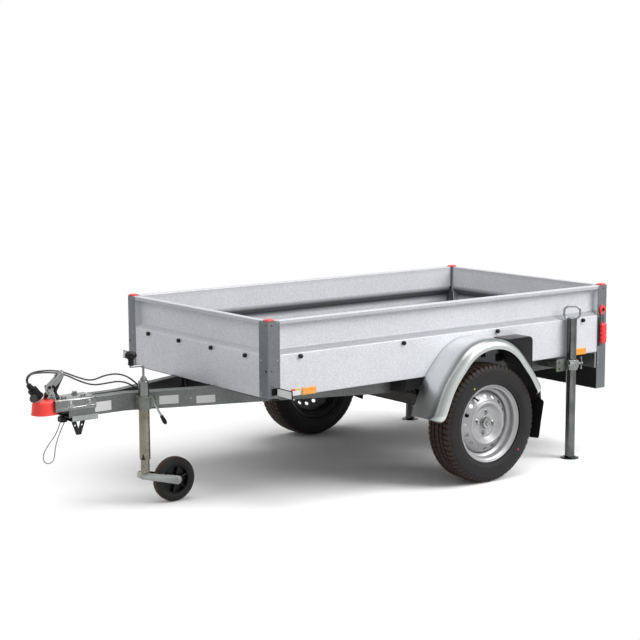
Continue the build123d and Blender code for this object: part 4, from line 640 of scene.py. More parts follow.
@dataclass(frozen=True)
class Finish:
    """A surface: its real name, its clean and its darker colour, and how it takes light.

    grain is the small pattern (spangle, moulding grain, paint texture) and cloud the slow change
    over a whole piece, each with its real size in millimetres and its share of the way from
    colour to shade.
    """

    name: str
    colour: str
    shade: str
    roughness: float
    metallic: float = 0.0
    grain_mm: float = 3.0
    grain: float = 0.2
    cloud_mm: float = 160.0
    cloud: float = 0.3
    rough_spread: float = 0.08
    relief_mm: float = 0.05
    relief_size_mm: float = 1.5
    coat: float = 0.0
    specular: float = 0.5
    cells: bool = False
    # Point attribute that mixes in the mark colour: real wax bloom on the tyres, painted shade on the panels,
    # the guards' roll and the wheel barrel.
    marks: str = ""
    mark_and_shade_colour: str = "#000000"
    # Share of painted shade on faces that look to the trailer's middle.
    inward: float = 0.0
    coat_roughness: float = 0.12

    def material(self) -> bpy.types.Material:
        """The finish as a material, made once."""
        found = bpy.data.materials.get(self.name)
        return found if found else self.mixed()

    def mixed(self) -> bpy.types.Material:
        """Builds the nodes: grain and cloud mix the two colours, and grain lifts the surface.

        Returns:
            The new material.
        """
        made = bpy.data.materials.new(self.name)
        made.use_nodes = True
        tree = made.node_tree
        shader = tree.nodes["Principled BSDF"]
        place = add_node(tree, "ShaderNodeTexCoord").outputs["Object"]
        cloud = add_node(tree, "ShaderNodeTexNoise", {
            "Vector": place, "Scale": per_metre(self.cloud_mm), "Detail": 4, "Roughness": 0.6,
        }).outputs["Fac"]
        if self.cells:
            spots = add_node(tree, "ShaderNodeTexVoronoi", {
                "Vector": place, "Scale": per_metre(self.grain_mm), "Randomness": 1,
            }).outputs["Color"]
            grain = add_node(tree, "ShaderNodeSeparateColor", {"Color": spots}).outputs["Red"]
        else:
            grain = add_node(tree, "ShaderNodeTexNoise", {
                "Vector": place, "Scale": per_metre(self.grain_mm), "Detail": 2, "Roughness": 0.6,
            }).outputs["Fac"]
        slow = add_node(tree, "ShaderNodeMapRange", {
            "Value": cloud, "From Min": 0.3, "From Max": 0.7, "To Min": 0, "To Max": self.cloud,
        }).outputs["Result"]
        quick = add_node(tree, "ShaderNodeMapRange", {
            "Value": grain, "From Min": 0.15, "From Max": 0.85, "To Min": 0, "To Max": self.grain,
        }).outputs["Result"]
        share = add_node(tree, "ShaderNodeMath", {0: slow, 1: quick}, operation="ADD", use_clamp=True)
        colour = add_node(tree, "ShaderNodeMix", {
            "Factor": share.outputs[0], "A": linear(self.colour), "B": linear(self.shade),
        }, data_type="RGBA").outputs["Result"]
        # The marks attribute: bloom on tyres, painted shade on panels, guards and barrels.
        if self.marks:
            mask = add_node(tree, "ShaderNodeAttribute", attribute_name=self.marks).outputs["Fac"]
            colour = add_node(tree, "ShaderNodeMix", {
                "Factor": mask, "A": colour, "B": linear(self.mark_and_shade_colour),
            }, data_type="RGBA").outputs["Result"]
        # Painted shade on faces that look to the trailer's middle.
        if self.inward:
            colour = self.shaded_inward(tree, place, colour)
        tree.links.new(colour, shader.inputs["Base Color"])
        rough = add_node(tree, "ShaderNodeMapRange", {
            "Value": share.outputs[0], "From Min": 0, "From Max": 1,
            "To Min": self.roughness - self.rough_spread / 2, "To Max": self.roughness + self.rough_spread,
        }).outputs["Result"]
        tree.links.new(rough, shader.inputs["Roughness"])
        shader.inputs["Metallic"].default_value = self.metallic
        shader.inputs["Specular IOR Level"].default_value = self.specular
        shader.inputs["Coat Weight"].default_value = self.coat
        shader.inputs["Coat Roughness"].default_value = self.coat_roughness
        relief = add_node(tree, "ShaderNodeTexNoise", {
            "Vector": place, "Scale": per_metre(self.relief_size_mm), "Detail": 3,
        }).outputs["Fac"]
        bump = add_node(tree, "ShaderNodeBump", {
            "Height": relief, "Strength": 1, "Distance": self.relief_mm * METRE,
        })
        tree.links.new(bump.outputs["Normal"], shader.inputs["Normal"])
        return made

    def shaded_inward(self, tree: bpy.types.NodeTree, place: bpy.types.NodeSocket,
               colour: bpy.types.NodeSocket) -> bpy.types.NodeSocket:
        """The colour, darkened by inward on faces that look to the trailer's middle: painted shade.

        A face does so where the product of its place's X and its normal's X is below nought.

        Args:
            tree: The material's tree.
            place: Output with the place.
            colour: Output with the colour.

        Returns:
            Output with the new colour.
        """
        normal = add_node(tree, "ShaderNodeNewGeometry").outputs["True Normal"]
        product = add_node(tree, "ShaderNodeVectorMath", {0: place, 1: normal},
                           operation="MULTIPLY").outputs[0]
        out = add_node(tree, "ShaderNodeSeparateXYZ", {0: product}).outputs["X"]
        mask = add_node(tree, "ShaderNodeMapRange", {
            "Value": out, "From Min": 0, "From Max": -0.02, "To Min": 0, "To Max": self.inward,
        }).outputs["Result"]
        return add_node(tree, "ShaderNodeMix", {
            "Factor": mask, "A": colour, "B": linear(PAINTED_INWARD_SHADE),
        }, data_type="RGBA").outputs["Result"]


# Continuously galvanised sheet: tiny spangles, matt and pale, drawn at 4 mm so that they show. Its band
# attribute mixes in painted shade, a dark grey, on the panels' sloping band, under that band inside and on
# the top rim.
SHEET_ZINC = Finish("continuously_galvanised_sheet", "#DDDEE3", "#B0B2B8", 0.42, 0.12, 4, 0.45, 420,
                    0.2, 0.1, 0.01, 4, cells=True, marks="band", mark_and_shade_colour="#4A4D50")
# Batch hot-dip galvanised steel after some weather: a dull grey-green patina, faint crystals, and painted
# shade on the faces that look to the trailer's middle.
DIP_ZINC = Finish("hot_dip_galvanised_steel", "#6E7270", "#535654", 0.46, 0.65, 7, 0.3, 180, 0.4,
                  0.12, 0.03, 3, cells=True, inward=0.75)
# The rolled posts come from darker dipped sheet.
POST_ZINC = Finish("hot_dip_galvanised_post_sheet", "#75797C", "#5D6164", 0.5, 0.6, 6, 0.3, 160, 0.35,
                   0.1, 0.02, 3, cells=True)
# Bright electroplated zinc on tubes and fittings: mirror-like with a faint blue.
BRIGHT_ZINC = Finish("bright_electroplated_zinc", "#9EA1A0", "#656866", 0.22, 1, 9, 0.3, 90, 0.35,
                     0.12, 0.02, 2)
# The same zinc in a darker colour, on the coupling's shell and the jockey tube's sleeve.
DARKER_ZINC = Finish("darker_electroplated_zinc", "#868887", "#565957", 0.24, 1, 9, 0.3, 90, 0.35,
                   0.12, 0.02, 2)
# Zinc on the prop stands' tubes, its colour set nearly black: painted reflection of dark surroundings that
# the tube mirrors.
STAND_ZINC = Finish("bright_zinc_on_stand_tube", "#6E716F", "#3C3F3E", 0.2, 1, 9, 0.3, 90, 0.5,
                    0.1, 0.02, 2)
# The jockey wheel's drawn tube, zinc with a warm oily film.
JOCKEY_ZINC = Finish("oiled_zinc_on_jockey_tube", "#8F8B80", "#5A564A", 0.24, 1, 9, 0.35, 80, 0.6,
                     0.1, 0.02, 2)
# Pressed zinc sheet of the mudguards: glossy, with long soft reflections, and painted shade mixed in on the
# rolled edge.
GUARD_ZINC = Finish("pressed_bright_zinc_sheet", "#E0E4E3", "#C4CAC9", 0.33, 1, 5, 0.16, 140, 0.3,
                    0.04, 0.001, 6, cells=True, marks="roll", mark_and_shade_colour="#7E8482")
# Yellow-green chromated zinc on the clamp castings.
CHROMATE_ZINC = Finish("chromated_zinc_clamp", "#84887F", "#4B544B", 0.3, 0.5, 6, 0.5, 30, 0.6,
                       0.15, 0.05, 2)
# Black passivated zinc on the feet of the prop stands.
BLACK_ZINC = Finish("black_passivated_zinc", "#2B2D30", "#101113", 0.22, 0.9, 5, 0.4, 40, 0.4,
                    0.1, 0.02, 2)
# Chassis steel in black primer, dusty in its corners.
BLACK_STEEL = Finish("black_primed_chassis_steel", "#0E0E0F", "#171615", 0.5, 0, 6, 0.4, 120, 0.5,
                     0.1, 0.04, 2.5, specular=0.3)
# The axle and its arms: brown-black oiled steel.
AXLE_STEEL = Finish("brown_primed_axle_steel", "#2A241F", "#171412", 0.45, 0.3, 5, 0.4, 90, 0.5,
                    0.12, 0.05, 2.5)
# Injection moulded polypropylene: red fittings with a fine moulding grain.
RED_PLASTIC = Finish("red_moulded_polypropylene", "#EE3A36", "#D42B2B", 0.36, 0, 2, 0.25, 60, 0.3,
                     0.08, 0.03, 0.9)
# The soft coupling cover: matt red PVC.
RED_VINYL = Finish("red_soft_pvc", "#F8463F", "#EA3432", 0.38, 0, 3, 0.3, 50, 0.35, 0.08, 0.04, 1.4)
# Black glass-filled nylon of knobs, plug and chocks, a little glossy.
BLACK_PLASTIC = Finish("black_glass_filled_nylon", "#0C0C0D", "#161618", 0.3, 0, 2, 0.35, 50, 0.4,
                       0.1, 0.04, 1, specular=0.2)
# Cable sheath and flaps: black rubber, satin.
BLACK_RUBBER = Finish("black_sheath_rubber", "#17171A", "#26262A", 0.45, 0, 3, 0.4, 60, 0.4,
                      0.1, 0.03, 1.5)
# Mud flaps: matt filled rubber.
FLAP_RUBBER = Finish("matt_flap_rubber", "#0F0F10", "#181717", 0.6, 0, 3, 0.4, 80, 0.4,
                     0.1, 0.05, 1.5, specular=0.2)
# Tyre: carbon-black rubber with brown wax bloom and dust on the tread bars.
TYRE_RUBBER = Finish("carbon_black_tyre_rubber", "#19191A", "#29292B", 0.55, 0, 2, 0.35, 70, 0.5,
                     0.12, 0.04, 1.2, specular=0.2, marks="tread", mark_and_shade_colour="#4B3524")
# Wheel paint: silver basecoat under clear lacquer, with painted shade, near black, mixed in inside the barrel
# behind the disc.
SILVER_PAINT = Finish("silver_lacquered_wheel_steel", "#ABABAD", "#8E8E91", 0.36, 0.4, 1, 0.3, 90, 0.3,
                      0.06, 0.01, 1, coat=0.15, marks="barrel_shade", mark_and_shade_colour="#14120F")
# Amber acrylic lens over a prism grid.
AMBER_LENS = Finish("amber_acrylic_reflector", "#F7A414", "#E58A05", 0.14, 0, 3, 0.5, 30, 0.2,
                    0.05, 0.25, 3, coat=0.5, cells=True)
# Clear acrylic reflector over silvered prisms.
WHITE_LENS = Finish("clear_acrylic_reflector", "#E9EAEA", "#B4B7B8", 0.16, 0.1, 3, 0.5, 30, 0.2,
                    0.05, 0.25, 3, coat=0.5, cells=True)
# Red acrylic lamp lens with moulded flutes.
RED_LENS = Finish("red_acrylic_lamp_lens", "#C5141A", "#8E0C12", 0.14, 0, 4, 0.4, 30, 0.2,
                  0.05, 0.2, 4, coat=0.5)
# Galvanised steel wire rope under a clear vinyl sleeve.
WIRE_ROPE = Finish("sleeved_steel_wire_rope", "#918F86", "#4F4D47", 0.36, 0.4, 1.2, 0.6, 12, 0.3,
                   0.1, 0.1, 1.2)
# Film-faced birch plywood, a grey phenolic skin with a pressed mesh.
FILM_PLY = Finish("film_faced_birch_plywood", "#908F8E", "#7A7877", 0.5, 0, 4, 0.5, 120, 0.4,
                  0.1, 0.15, 4, cells=True)
# Polyester label stock, left blank.
LABEL = Finish("blank_polyester_label", "#DEDEDE", "#CBCCCC", 0.4, 0, 1.5, 0.2, 40, 0.3, 0.05, 0.01, 1)
LABEL_RED = Finish("red_label_strip", "#D8262B", "#C01F25", 0.4, 0, 1.5, 0.2, 40, 0.2, 0.05, 0.01, 1)
LABEL_YELLOW = Finish("yellow_label_strip", "#F0C31A", "#D9AC10", 0.4, 0, 1.5, 0.2, 40, 0.2, 0.05,
                      0.01, 1)
LABEL_GREEN = Finish("green_label_mark", "#2E9E57", "#1F8146", 0.4, 0, 1.5, 0.2, 40, 0.2, 0.05,
                     0.01, 1)

# CAD nodes that show as they are.
NODE_FINISHES = {
    "drawbar_beam_left": DIP_ZINC, "drawbar_beam_right": DIP_ZINC, "rear_cross_member": DIP_ZINC,
    "floor_board": FILM_PLY, "axle_tube": AXLE_STEEL, "axle_arms": AXLE_STEEL,
    "axle_brackets": BLACK_STEEL, "coupling_head": BLACK_STEEL, "prop_bracket": BLACK_STEEL,
    "light_bar": BLACK_PLASTIC, "cable_clip": BLACK_PLASTIC, "cable_gland": BLACK_PLASTIC,
    "rope_anchor": BLACK_PLASTIC,
}


def put(name: str, shape: Shape, finish: Finish, body: Body, stands_for: tuple[str, ...] = (),
        crease: float = 32.0, sheet: float = 0.0, faces_to: Point = (0, 0, 0),
        ) -> bpy.types.Object:
    """Makes a piece of a shape.

    Args:
        name: The piece's name.
        shape: Its surface, in millimetres.
        finish: Its finish.
        body: The body that it rides on.
        stands_for: CAD nodes that it replaces.
        crease: Angle in degrees past which an edge is sharp.
        sheet: Thickness given to an open surface, behind its face.
        faces_to: Where an open surface mostly faces.

    Returns:
        The new object.
    """
    mesh = bpy.data.meshes.new(name)
    mesh.from_pydata((shape.points * METRE).tolist(), [], shape.faces)
    if shape.shade is not None:
        layer = mesh.attributes.new(finish.marks, "FLOAT", "POINT")
        layer.data.foreach_set("value", shape.shade.astype(np.float32))
    work = bmesh.new()
    work.from_mesh(mesh)
    bmesh.ops.remove_doubles(work, verts=work.verts, dist=2e-6)
    bmesh.ops.dissolve_degenerate(work, edges=work.edges, dist=1e-6)
    bmesh.ops.recalc_face_normals(work, faces=work.faces)
    if sheet:
        facing = sum((face.normal * face.calc_area() for face in work.faces), Vector())
        if facing.dot(Vector(faces_to)) < 0:
            bmesh.ops.reverse_faces(work, faces=work.faces)
    work.to_mesh(mesh)
    work.free()
    mesh.materials.append(finish.material())
    mesh.shade_smooth()
    mesh.set_sharp_from_angle(angle=math.radians(crease))
    piece = bpy.data.objects.new(name, mesh)
    bpy.context.scene.collection.objects.link(piece)
    if sheet:
        wall = piece.modifiers.new("wall", "SOLIDIFY")
        wall.thickness = sheet * METRE
        wall.offset = -1.0
        wall.use_even_offset = True
    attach(piece, body.value)
    if stands_for:
        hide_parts(*stands_for)
    LOG.info("%s: %d faces, %s", name, len(mesh.polygons), finish.name)
    return piece


# ---- wheels


@dataclass
class Wheel:
    """One road wheel: tyre, painted steel rim, hub with its bolts, valve and paint dots."""

    side: Side
    body: Body
    track: float = 666.0
    radius: float = 277.0
    pitches: int = 64
    slot_phases: tuple[float, ...] = (0, 0.07, 0.21, 0.28, 0.5, 0.75)
    slot_depths: tuple[float, ...] = (0, 1, 1, 0, 0, 0)
    slot_slant: float = 0.009
    # Half of the tyre's tread, from its middle: out, radius, bloom, slot depth.
    tread_rows: tuple[tuple[float, float, float, float], ...] = (
        (0, 277, 1, 1.5), (11, 276.9, 1, 1.5), (12.3, 268.6, 0, 0),
        (18.2, 268.4, 0, 0), (19.5, 276.6, 1, 2), (33.5, 276, 1, 2),
        (34.8, 267.6, 0, 0), (40.2, 267.2, 0, 0), (41.5, 275.3, 1, 5),
        (52, 274.3, 1, 5.5), (60, 272.2, 0.9, 5.5), (65.5, 267.5, 0.5, 5.5),
        (69.3, 260, 0.2, 4.5), (71.6, 252.5, 0, 2),
    )
    # The side wall on to the bead: out, radius.
    wall_rows: Pairs = (
        (72.6, 249.6), (73.9, 248.8), (74.6, 245), (74, 244), (75.3, 236), (76, 227),
        (76, 217), (75.3, 208.5), (75.9, 207.6), (75.6, 204.6), (74.6, 203.8), (72.9, 198),
        (70.6, 192.5), (69.8, 191), (70, 188), (68.4, 185.4), (64.5, 184.2), (57, 184),
        (50, 169.6), (38, 169.6),
    )
    tyre_inside: Pairs = ((41, 187), (58, 204), (63, 236), (46, 264))
    # Barrel seen from outside, from its lip inward: out, radius.
    barrel: Pairs = (
        (58.5, 183), (62.5, 182.4), (63.2, 178.5), (60.5, 176.2), (55.5, 173.2), (51, 165.8), (46.5, 163.2),
        (38, 162.6), (30, 163), (23, 160), (16, 149.5), (10, 146.6), (-26, 146.2),
        (-38, 160), (-52, 163), (-58, 176), (-62.5, 178), (-62, 182.6),
    )
    barrel_wall: float = 3.6
    rim_segments: int = 128
    # Painted shade inside the barrel behind the disc: its share, where it starts and over how far it grows.
    barrel_shade: float = 0.92
    barrel_shade_from: float = 4.0
    barrel_shade_over: float = 14.0
    # Disc seen from outside: radius, out.
    disc: Pairs = (
        (146.5, 3), (143, 7.5), (138.5, 13.5), (106, 38.5), (101, 44.5), (96, 46.2), (91, 44.8),
        (85, 38), (74, 27), (67, 24.6), (62.5, 25.4), (58.5, 26.6), (54, 25), (36, 24.8),
        (33, 26), (29, 26), (27.5, 22),
    )
    disc_wall: float = 4.0
    vents: int = 16
    vent_ring: float = 122.5
    vent_radius: float = 9.6
    vent_band: Pair = (109, 136)
    sector_steps: int = 8
    bolt_ring: float = 50.0
    bolt_turn: float = -10.0
    bolt_out: float = 23.5
    valve_turn: float = 118.7

    def plane(self) -> Workplane:
        """The wheel's own plane on the left side: across is rearward, out is outward."""
        return side_plane(self.track, AXLE_Y, self.radius)

    def tyre(self) -> Shape:
        """Rows of the section carried round the axle, with slots cut at even pitches.

        A point's radius is its row's radius less the row's slot depth times the column's share;
        each column leans along the turn by slot_slant of a pitch for each millimetre out.

        Returns:
            The tyre, shaded by its bloom.
        """
        half = np.vstack([self.tread_rows, np.pad(self.wall_rows, ((0, 0), (0, 2)))])
        inside = np.pad(self.tyre_inside, ((0, 0), (0, 2)))
        flip = (-1, 1, 1, 1)
        rows = np.vstack([half[::-1] * flip, half[1:], inside, inside[::-1] * flip])
        pitch = 2 * np.pi / self.pitches
        phase = (np.arange(self.pitches)[:, None] + np.array(self.slot_phases)[None, :]).ravel() * pitch
        depth = np.tile(self.slot_depths, self.pitches)
        out, radius, bloom, slot = rows.T[..., None]
        lean = np.clip(np.abs(out), 0, 72) * self.slot_slant * pitch
        turn = phase[None, :] + lean
        r = radius - slot * depth[None, :]
        local = np.stack([r * np.cos(turn), r * np.sin(turn), out + 0 * r], axis=-1)
        shape = loft(self.plane().place(local), cyclic=True)
        shape.shade = (0.6 * bloom * (1 - depth[None, :])).ravel()
        return shape

    def rim_barrel(self) -> Shape:
        """The barrel's bent section turned about the axle, its wall behind the line that shows.

        Returns:
            The barrel, with painted shade behind the disc.
        """
        line = rounded_line(list(self.barrel), 1.6, 3)
        section = folded_sheet(line, -self.barrel_wall)
        shape = turned(self.plane(), section[:, ::-1].tolist(), self.rim_segments, ring=True)
        behind = np.clip((self.barrel_shade_from - section[:, 0]) / self.barrel_shade_over, 0, 1)
        shape.shade = np.repeat(self.barrel_shade * behind, self.rim_segments)
        return shape

    def disc_height(self, radius: np.ndarray) -> np.ndarray:
        """How far out the disc's face is at a radius: its rounded section, read between points.

        Args:
            radius: Distances from the axle.

        Returns:
            Distances out of the wheel's plane.
        """
        line = rounded_line(list(self.disc), 2, 4)
        order = np.argsort(line[:, 0])
        return np.interp(radius, line[order, 0], line[order, 1])

    def disc_ring(self, radii: np.ndarray) -> Shape:
        """Part of the disc's face between its first and last radius.

        Args:
            radii: Distances from the axle, in order.

        Returns:
            The open surface.
        """
        turn = np.linspace(0, 2 * np.pi, self.vents * self.sector_steps, endpoint=False)
        height = self.disc_height(radii)
        local = np.stack([
            radii[:, None] * np.cos(turn), radii[:, None] * np.sin(turn), height[:, None] + 0 * turn,
        ], axis=-1)
        return loft(self.plane().place(local), caps=False)

    def vent_sector(self) -> np.ndarray:
        """Rings from a vent's edge to the edge of its sector of the band.

        Each ring is the share s of the way from the vent's circle to the sector's outline, in the
        wheel's plane, and lies on the disc, drawn in by the drop at the vent's own edge.

        Returns:
            Array (rings, points, 3) in the wheel's plane.
        """
        half = np.pi / self.vents
        n = self.sector_steps
        low, high = self.vent_band
        along = np.linspace(-half, half, n + 1)
        rise = np.linspace(low, high, 6)
        outline = np.vstack([
            np.column_stack([np.full(n, high), along[:-1]]),
            np.column_stack([rise[::-1][:-1], np.full(5, half)]),
            np.column_stack([np.full(n, low), along[::-1][:-1]]),
            np.column_stack([rise[:-1], np.full(5, -half)]),
        ])
        flat = np.column_stack([outline[:, 0] * np.cos(outline[:, 1]), outline[:, 0] * np.sin(outline[:, 1])])
        away = unit(flat - (self.vent_ring, 0))
        circle_points = np.array([self.vent_ring, 0]) + self.vent_radius * away * (0.82, 1)
        share = np.array([0, 0.06, 0.16, 0.35, 0.65, 1])[:, None, None]
        rings = circle_points + share * (flat - circle_points)
        radii = np.linalg.norm(rings, axis=-1)
        drop = np.array([1.6, 0.4, 0, 0, 0, 0])[:, None]
        return np.dstack([rings, self.disc_height(radii) - drop])

    def rim_disc(self) -> Shape:
        """The disc's face: an outer ring, the vented band sector by sector, and the dish.

        Returns:
            The open surface.
        """
        sector = self.vent_sector()
        shapes = []
        for turn in np.arange(self.vents) * 2 * np.pi / self.vents:
            c, s = np.cos(turn), np.sin(turn)
            spun = sector @ np.array([[c, s, 0], [-s, c, 0], [0, 0, 1]])
            shapes.append(loft(self.plane().place(spun), caps=False))
        low, high = self.vent_band
        shapes.append(self.disc_ring(np.linspace(146.5, high, 8)))
        shapes.append(self.disc_ring(np.linspace(low, 27.5, 60)))
        return joined(shapes)

    def bolt(self, turn: float) -> Shape:
        """A wheel bolt: a hexagon head with a domed face on a cone seat.

        Args:
            turn: Its angle round the axle, in degrees.

        Returns:
            The bolt.
        """
        base = side_plane(*self.polar(turn, self.bolt_ring, self.bolt_out))
        hexagon = rounded_line(circle(9.8, 6).tolist(), 1.2, 2, closed=True)
        head = slab(base, hexagon, 1.5, 13, 1.6, 3)
        seat = turned(base, [(13.5, 0), (13, 2.4), (10.5, 4.2), (6, 4.4)], 28)
        pip = turned(base, [(6.2, 12), (6, 14.4), (4.6, 15), (3, 14.2), (2.6, 13.4)], 20)
        return head + seat + pip

    def hub(self) -> Shape:
        """Drum behind the disc, four bolts and the pressed grease cap.

        Returns:
            The hub.
        """
        drum = turned(self.plane(), [(58, -16), (58.5, -14), (58.5, 17), (57, 19.5), (22, 19.6)], 64)
        cap = turned(self.plane(), [
            (27.4, 18), (27.6, 27), (30.5, 28.2), (30.8, 30), (27.6, 31.2), (26.4, 40.5), (24.6, 43.6),
            (21, 45), (15.5, 45.3), (13.6, 43.2), (9.6, 42.6), (8.4, 45), (4, 46),
        ], 56)
        bolts = [self.bolt(self.bolt_turn + quarter) for quarter in (0, 90, 180, 270)]
        return joined([drum, cap, *bolts])

    def polar(self, turn: float, radius: float, out: float) -> Point:
        """Trailer point at an angle, a radius and a distance out of this wheel."""
        a = math.radians(turn)
        return self.track + out, AXLE_Y + radius * math.cos(a), self.radius + radius * math.sin(a)

    def valve(self) -> Shape:
        """Rubber valve stem that leans out of the barrel, with its ribbed cap.

        Returns:
            The valve.
        """
        foot = self.polar(self.valve_turn, 146, 14)
        tip = self.polar(self.valve_turn, 128, 48)
        plane = aimed_plane(foot, tuple(np.subtract(tip, foot)), (0, 1, 0))
        return turned(plane, [
            (7.5, -1), (7.4, 1.5), (5.6, 4), (5.2, 14), (4.2, 22), (4.2, 25), (5.2, 25.6), (5.2, 36),
            (4.2, 37.4), (2, 37.8),
        ], 24)

    def dot(self, turn: float, radius: float, out: float, size: float) -> Shape:
        """A dab of marking paint on the sidewall, a flat dome."""
        plane = side_plane(*self.polar(turn, radius, out))
        return turned(plane, [(size, -1.2), (size, 0.1), (size * 0.8, 0.5), (size * 0.3, 0.7)], 20)

    def build(self) -> None:
        """Makes the wheel's pieces."""
        end = self.side.name.lower()
        put(f"tyre_{end}_treaded", self.side.take(self.tyre()), TYRE_RUBBER, self.body, (f"tyre_{end}",),
            crease=24)
        put(f"rim_{end}_barrel", self.side.take(self.rim_barrel()), SILVER_PAINT, self.body)
        put(f"rim_{end}_disc", self.side.take(self.rim_disc()), SILVER_PAINT, self.body, (f"rim_{end}",),
            sheet=self.disc_wall, faces_to=(self.side.value, 0, 0))
        put(f"hub_{end}_bolted", self.side.take(self.hub()), BRIGHT_ZINC, self.body, (f"hub_{end}",))
        put(f"valve_{end}", self.side.take(self.valve()), BLACK_RUBBER, self.body)
        put(f"dot_{end}_yellow", self.side.take(self.dot(122.6, 210.2, 75.4, 4.4)), LABEL_YELLOW, self.body)
        put(f"dot_{end}_red", self.side.take(self.dot(-40.2, 219.8, 76, 4.4)), LABEL_RED, self.body)


# ---- load bed


@dataclass
class Bed:
    """Load bed of folded galvanised sheet, with its corner posts, caps, rivets and marks."""

    sheet: float = 2.0
    depth: float = 35.0
    band_low: float = 185.0
    band_high: float = 205.0
    height: float = 334.0
    rim: float = 18.0
    lip: float = 10.0
    flange: float = 30.0
    core: float = 42.0
    leg: float = 62.0
    fit: float = 0.5
    gate_half: float = 527.0
    post_round: float = 12.0
    rear_foot: float = 320.0
    ripple: float = 0.45
    # Share of painted shade on the panels' top rim, which faces the lamps.
    rim_shade: float = 0.3
    cap_size: float = 38.0
    hinge_y: float = 1424.0
    hinge_z: float = 518.0
    pocket_half: float = 13.0
    stud_at: Pair = (562, 786)
    nut_at: Pair = (1394, 724)
    knob_z: float = 675.0
    side_knobs_y: tuple[float, ...] = (-475, 105.667, 686.333, 1267)
    end_knobs_x: tuple[float, ...] = (-389, -122.333, 144.333, 411)

    def section(self) -> np.ndarray:
        """The panel's folds as a closed outline: inward from its outer plane, height over the bed.

        Returns:
            Closed outline (n, 2).
        """
        s, top, inner = self.sheet, self.height, self.depth - self.sheet
        corners = [
            (self.flange, 0), (0, 0), (0, self.band_low), (inner, self.band_high), (inner, top - s),
            (s, top - s), (s, top - self.rim + s), (self.lip, top - self.rim + s),
        ]
        line = rounded_line(corners, (1, 4, 7, 5, 2.5, 1.6, 1.2, 1), 5)
        return folded_sheet(subdivided(line, 26), -s)

    def panel(self, start: float, end: float, place: Callable[..., tuple], band: float = 0.47) -> Shape:
        """The section carried from start to end, with the faint waves of thin folded sheet.

        The waves move the sheet in and out by ripple * sin of the place along it * sin of the
        height, and die away at both ends and at each fold.

        Args:
            start: Place along the panel where it begins.
            end: Place where it ends.
            place: Turns arrays (inward, along, height) to trailer points.
            band: Share of the painted shade on the band's outer skin; the inner skin's band, and a strip
                under it, have it all.

        Returns:
            The closed panel, with painted shade on its sloping band, under that band inside, and on its top
            rim.
        """
        outline = self.section()
        along = np.linspace(start, end, 72)
        inward, height = outline[None, :, 0], outline[None, :, 1]
        free = np.sin(np.pi * (along - start) / (end - start))[:, None]
        lower = np.sin(np.pi * np.clip(height / self.band_low, 0, 1))
        above = (height - self.band_high) / (self.height - self.rim - self.band_high)
        upper = np.sin(np.pi * np.clip(above, 0, 1))
        wave = np.sin(along / 61 + 0.8) + 0.7 * np.sin(along / 37 + 2.1)
        moved = inward + self.ripple * free * wave[:, None] * (lower - 0.8 * upper)
        rings = place(moved, along[:, None] + 0 * moved, height + 0 * moved)
        shape = loft(np.stack(rings, axis=-1))
        # Painted shade: the outer band by the band argument, the inner band and a strip under it in full, the
        # top rim by rim_shade.
        on_band = (height > self.band_low - 1) & (height < self.band_high + 1.5)
        inside = np.arange(outline.shape[0])[None, :] >= outline.shape[0] // 2
        rim = np.where(height > self.height - self.rim + 1, self.rim_shade, 0)
        under_band = inside & (height > self.band_low - 16) & (height < self.band_high + 4)
        shape.shade = (np.where(under_band, 1, np.where(on_band, band, rim)) + 0 * moved).ravel()
        return shape

    def side_panel(self) -> Shape:
        """The left side panel."""
        start, end = FRONT_Y + self.core + self.fit, REAR_Y - self.core - self.fit
        return self.panel(start, end, lambda u, s, h: (BOX_HALF - u, s, BED_Z + h))

    def front_panel(self) -> Shape:
        """The front panel."""
        half = BOX_HALF - self.core - self.fit
        return self.panel(-half, half, lambda u, s, h: (s, FRONT_Y + u, BED_Z + h), 0)

    def gate(self) -> Shape:
        """The tailgate: the panel's section, its end plates and hinge pins.

        Returns:
            The tailgate.
        """
        skin = self.panel(-self.gate_half, self.gate_half, lambda u, s, h: (s, REAR_Y - u, BED_Z + h))
        d, s = self.depth, self.sheet
        outline = [(0, 0), (self.flange, 0), (d, self.band_high), (d - s, self.band_high), (0, self.band_low)]
        flat = np.array([(REAR_Y - u, BED_Z + h) for u, h in outline])
        ends = slab(side_plane(self.gate_half), flat, -3, 0, 0.4, 1)
        pins = turned(side_plane(self.gate_half, self.hinge_y, self.hinge_z), [(5, -3), (5, 18), (4, 19)], 24)
        rest = (ends + pins).both_sides()
        rest.shade = np.zeros(len(rest.points))
        return skin + rest

    def plate(self, start: float, end: float, foot: float, corner: float) -> Shape:
        """A post's outer angle on the left: along the side from start to end, then across.

        Args:
            start: Its free edge along the side.
            end: Its corner, along the trailer.
            foot: Height of its foot.
            corner: Its other free edge, across the trailer.

        Returns:
            The angle.
        """
        x, wall = BOX_HALF + self.sheet, -self.sheet if start > end else self.sheet
        line = rounded_line([(x, start), (x, end), (corner, end)], 4.5, 6)
        return bent_plate(line, wall, foot, TOP_Z, self.post_round)

    def recess_outline(self) -> np.ndarray:
        """Outline of the returns that fill a panel's recess: inward, height over the ground.

        Returns:
            Outline (4, 2).
        """
        inner = self.depth - self.sheet
        points = [(0, self.band_low), (inner, self.band_high), (inner, self.height - self.rim),
                  (0, self.height - self.rim)]
        return np.array(points) + (0, BED_Z)

    def front_post(self) -> Shape:
        """The left front post: its angle and core.

        Returns:
            The post.
        """
        inner = BOX_HALF - self.core
        angle = self.plate(FRONT_Y + self.leg, FRONT_Y - self.sheet, BED_Z, BOX_HALF - self.leg)
        line = np.array([(BOX_HALF, FRONT_Y + self.core), (inner, FRONT_Y + self.core), (inner, FRONT_Y)])
        return angle + bent_plate(line, self.sheet, BED_Z, TOP_Z)

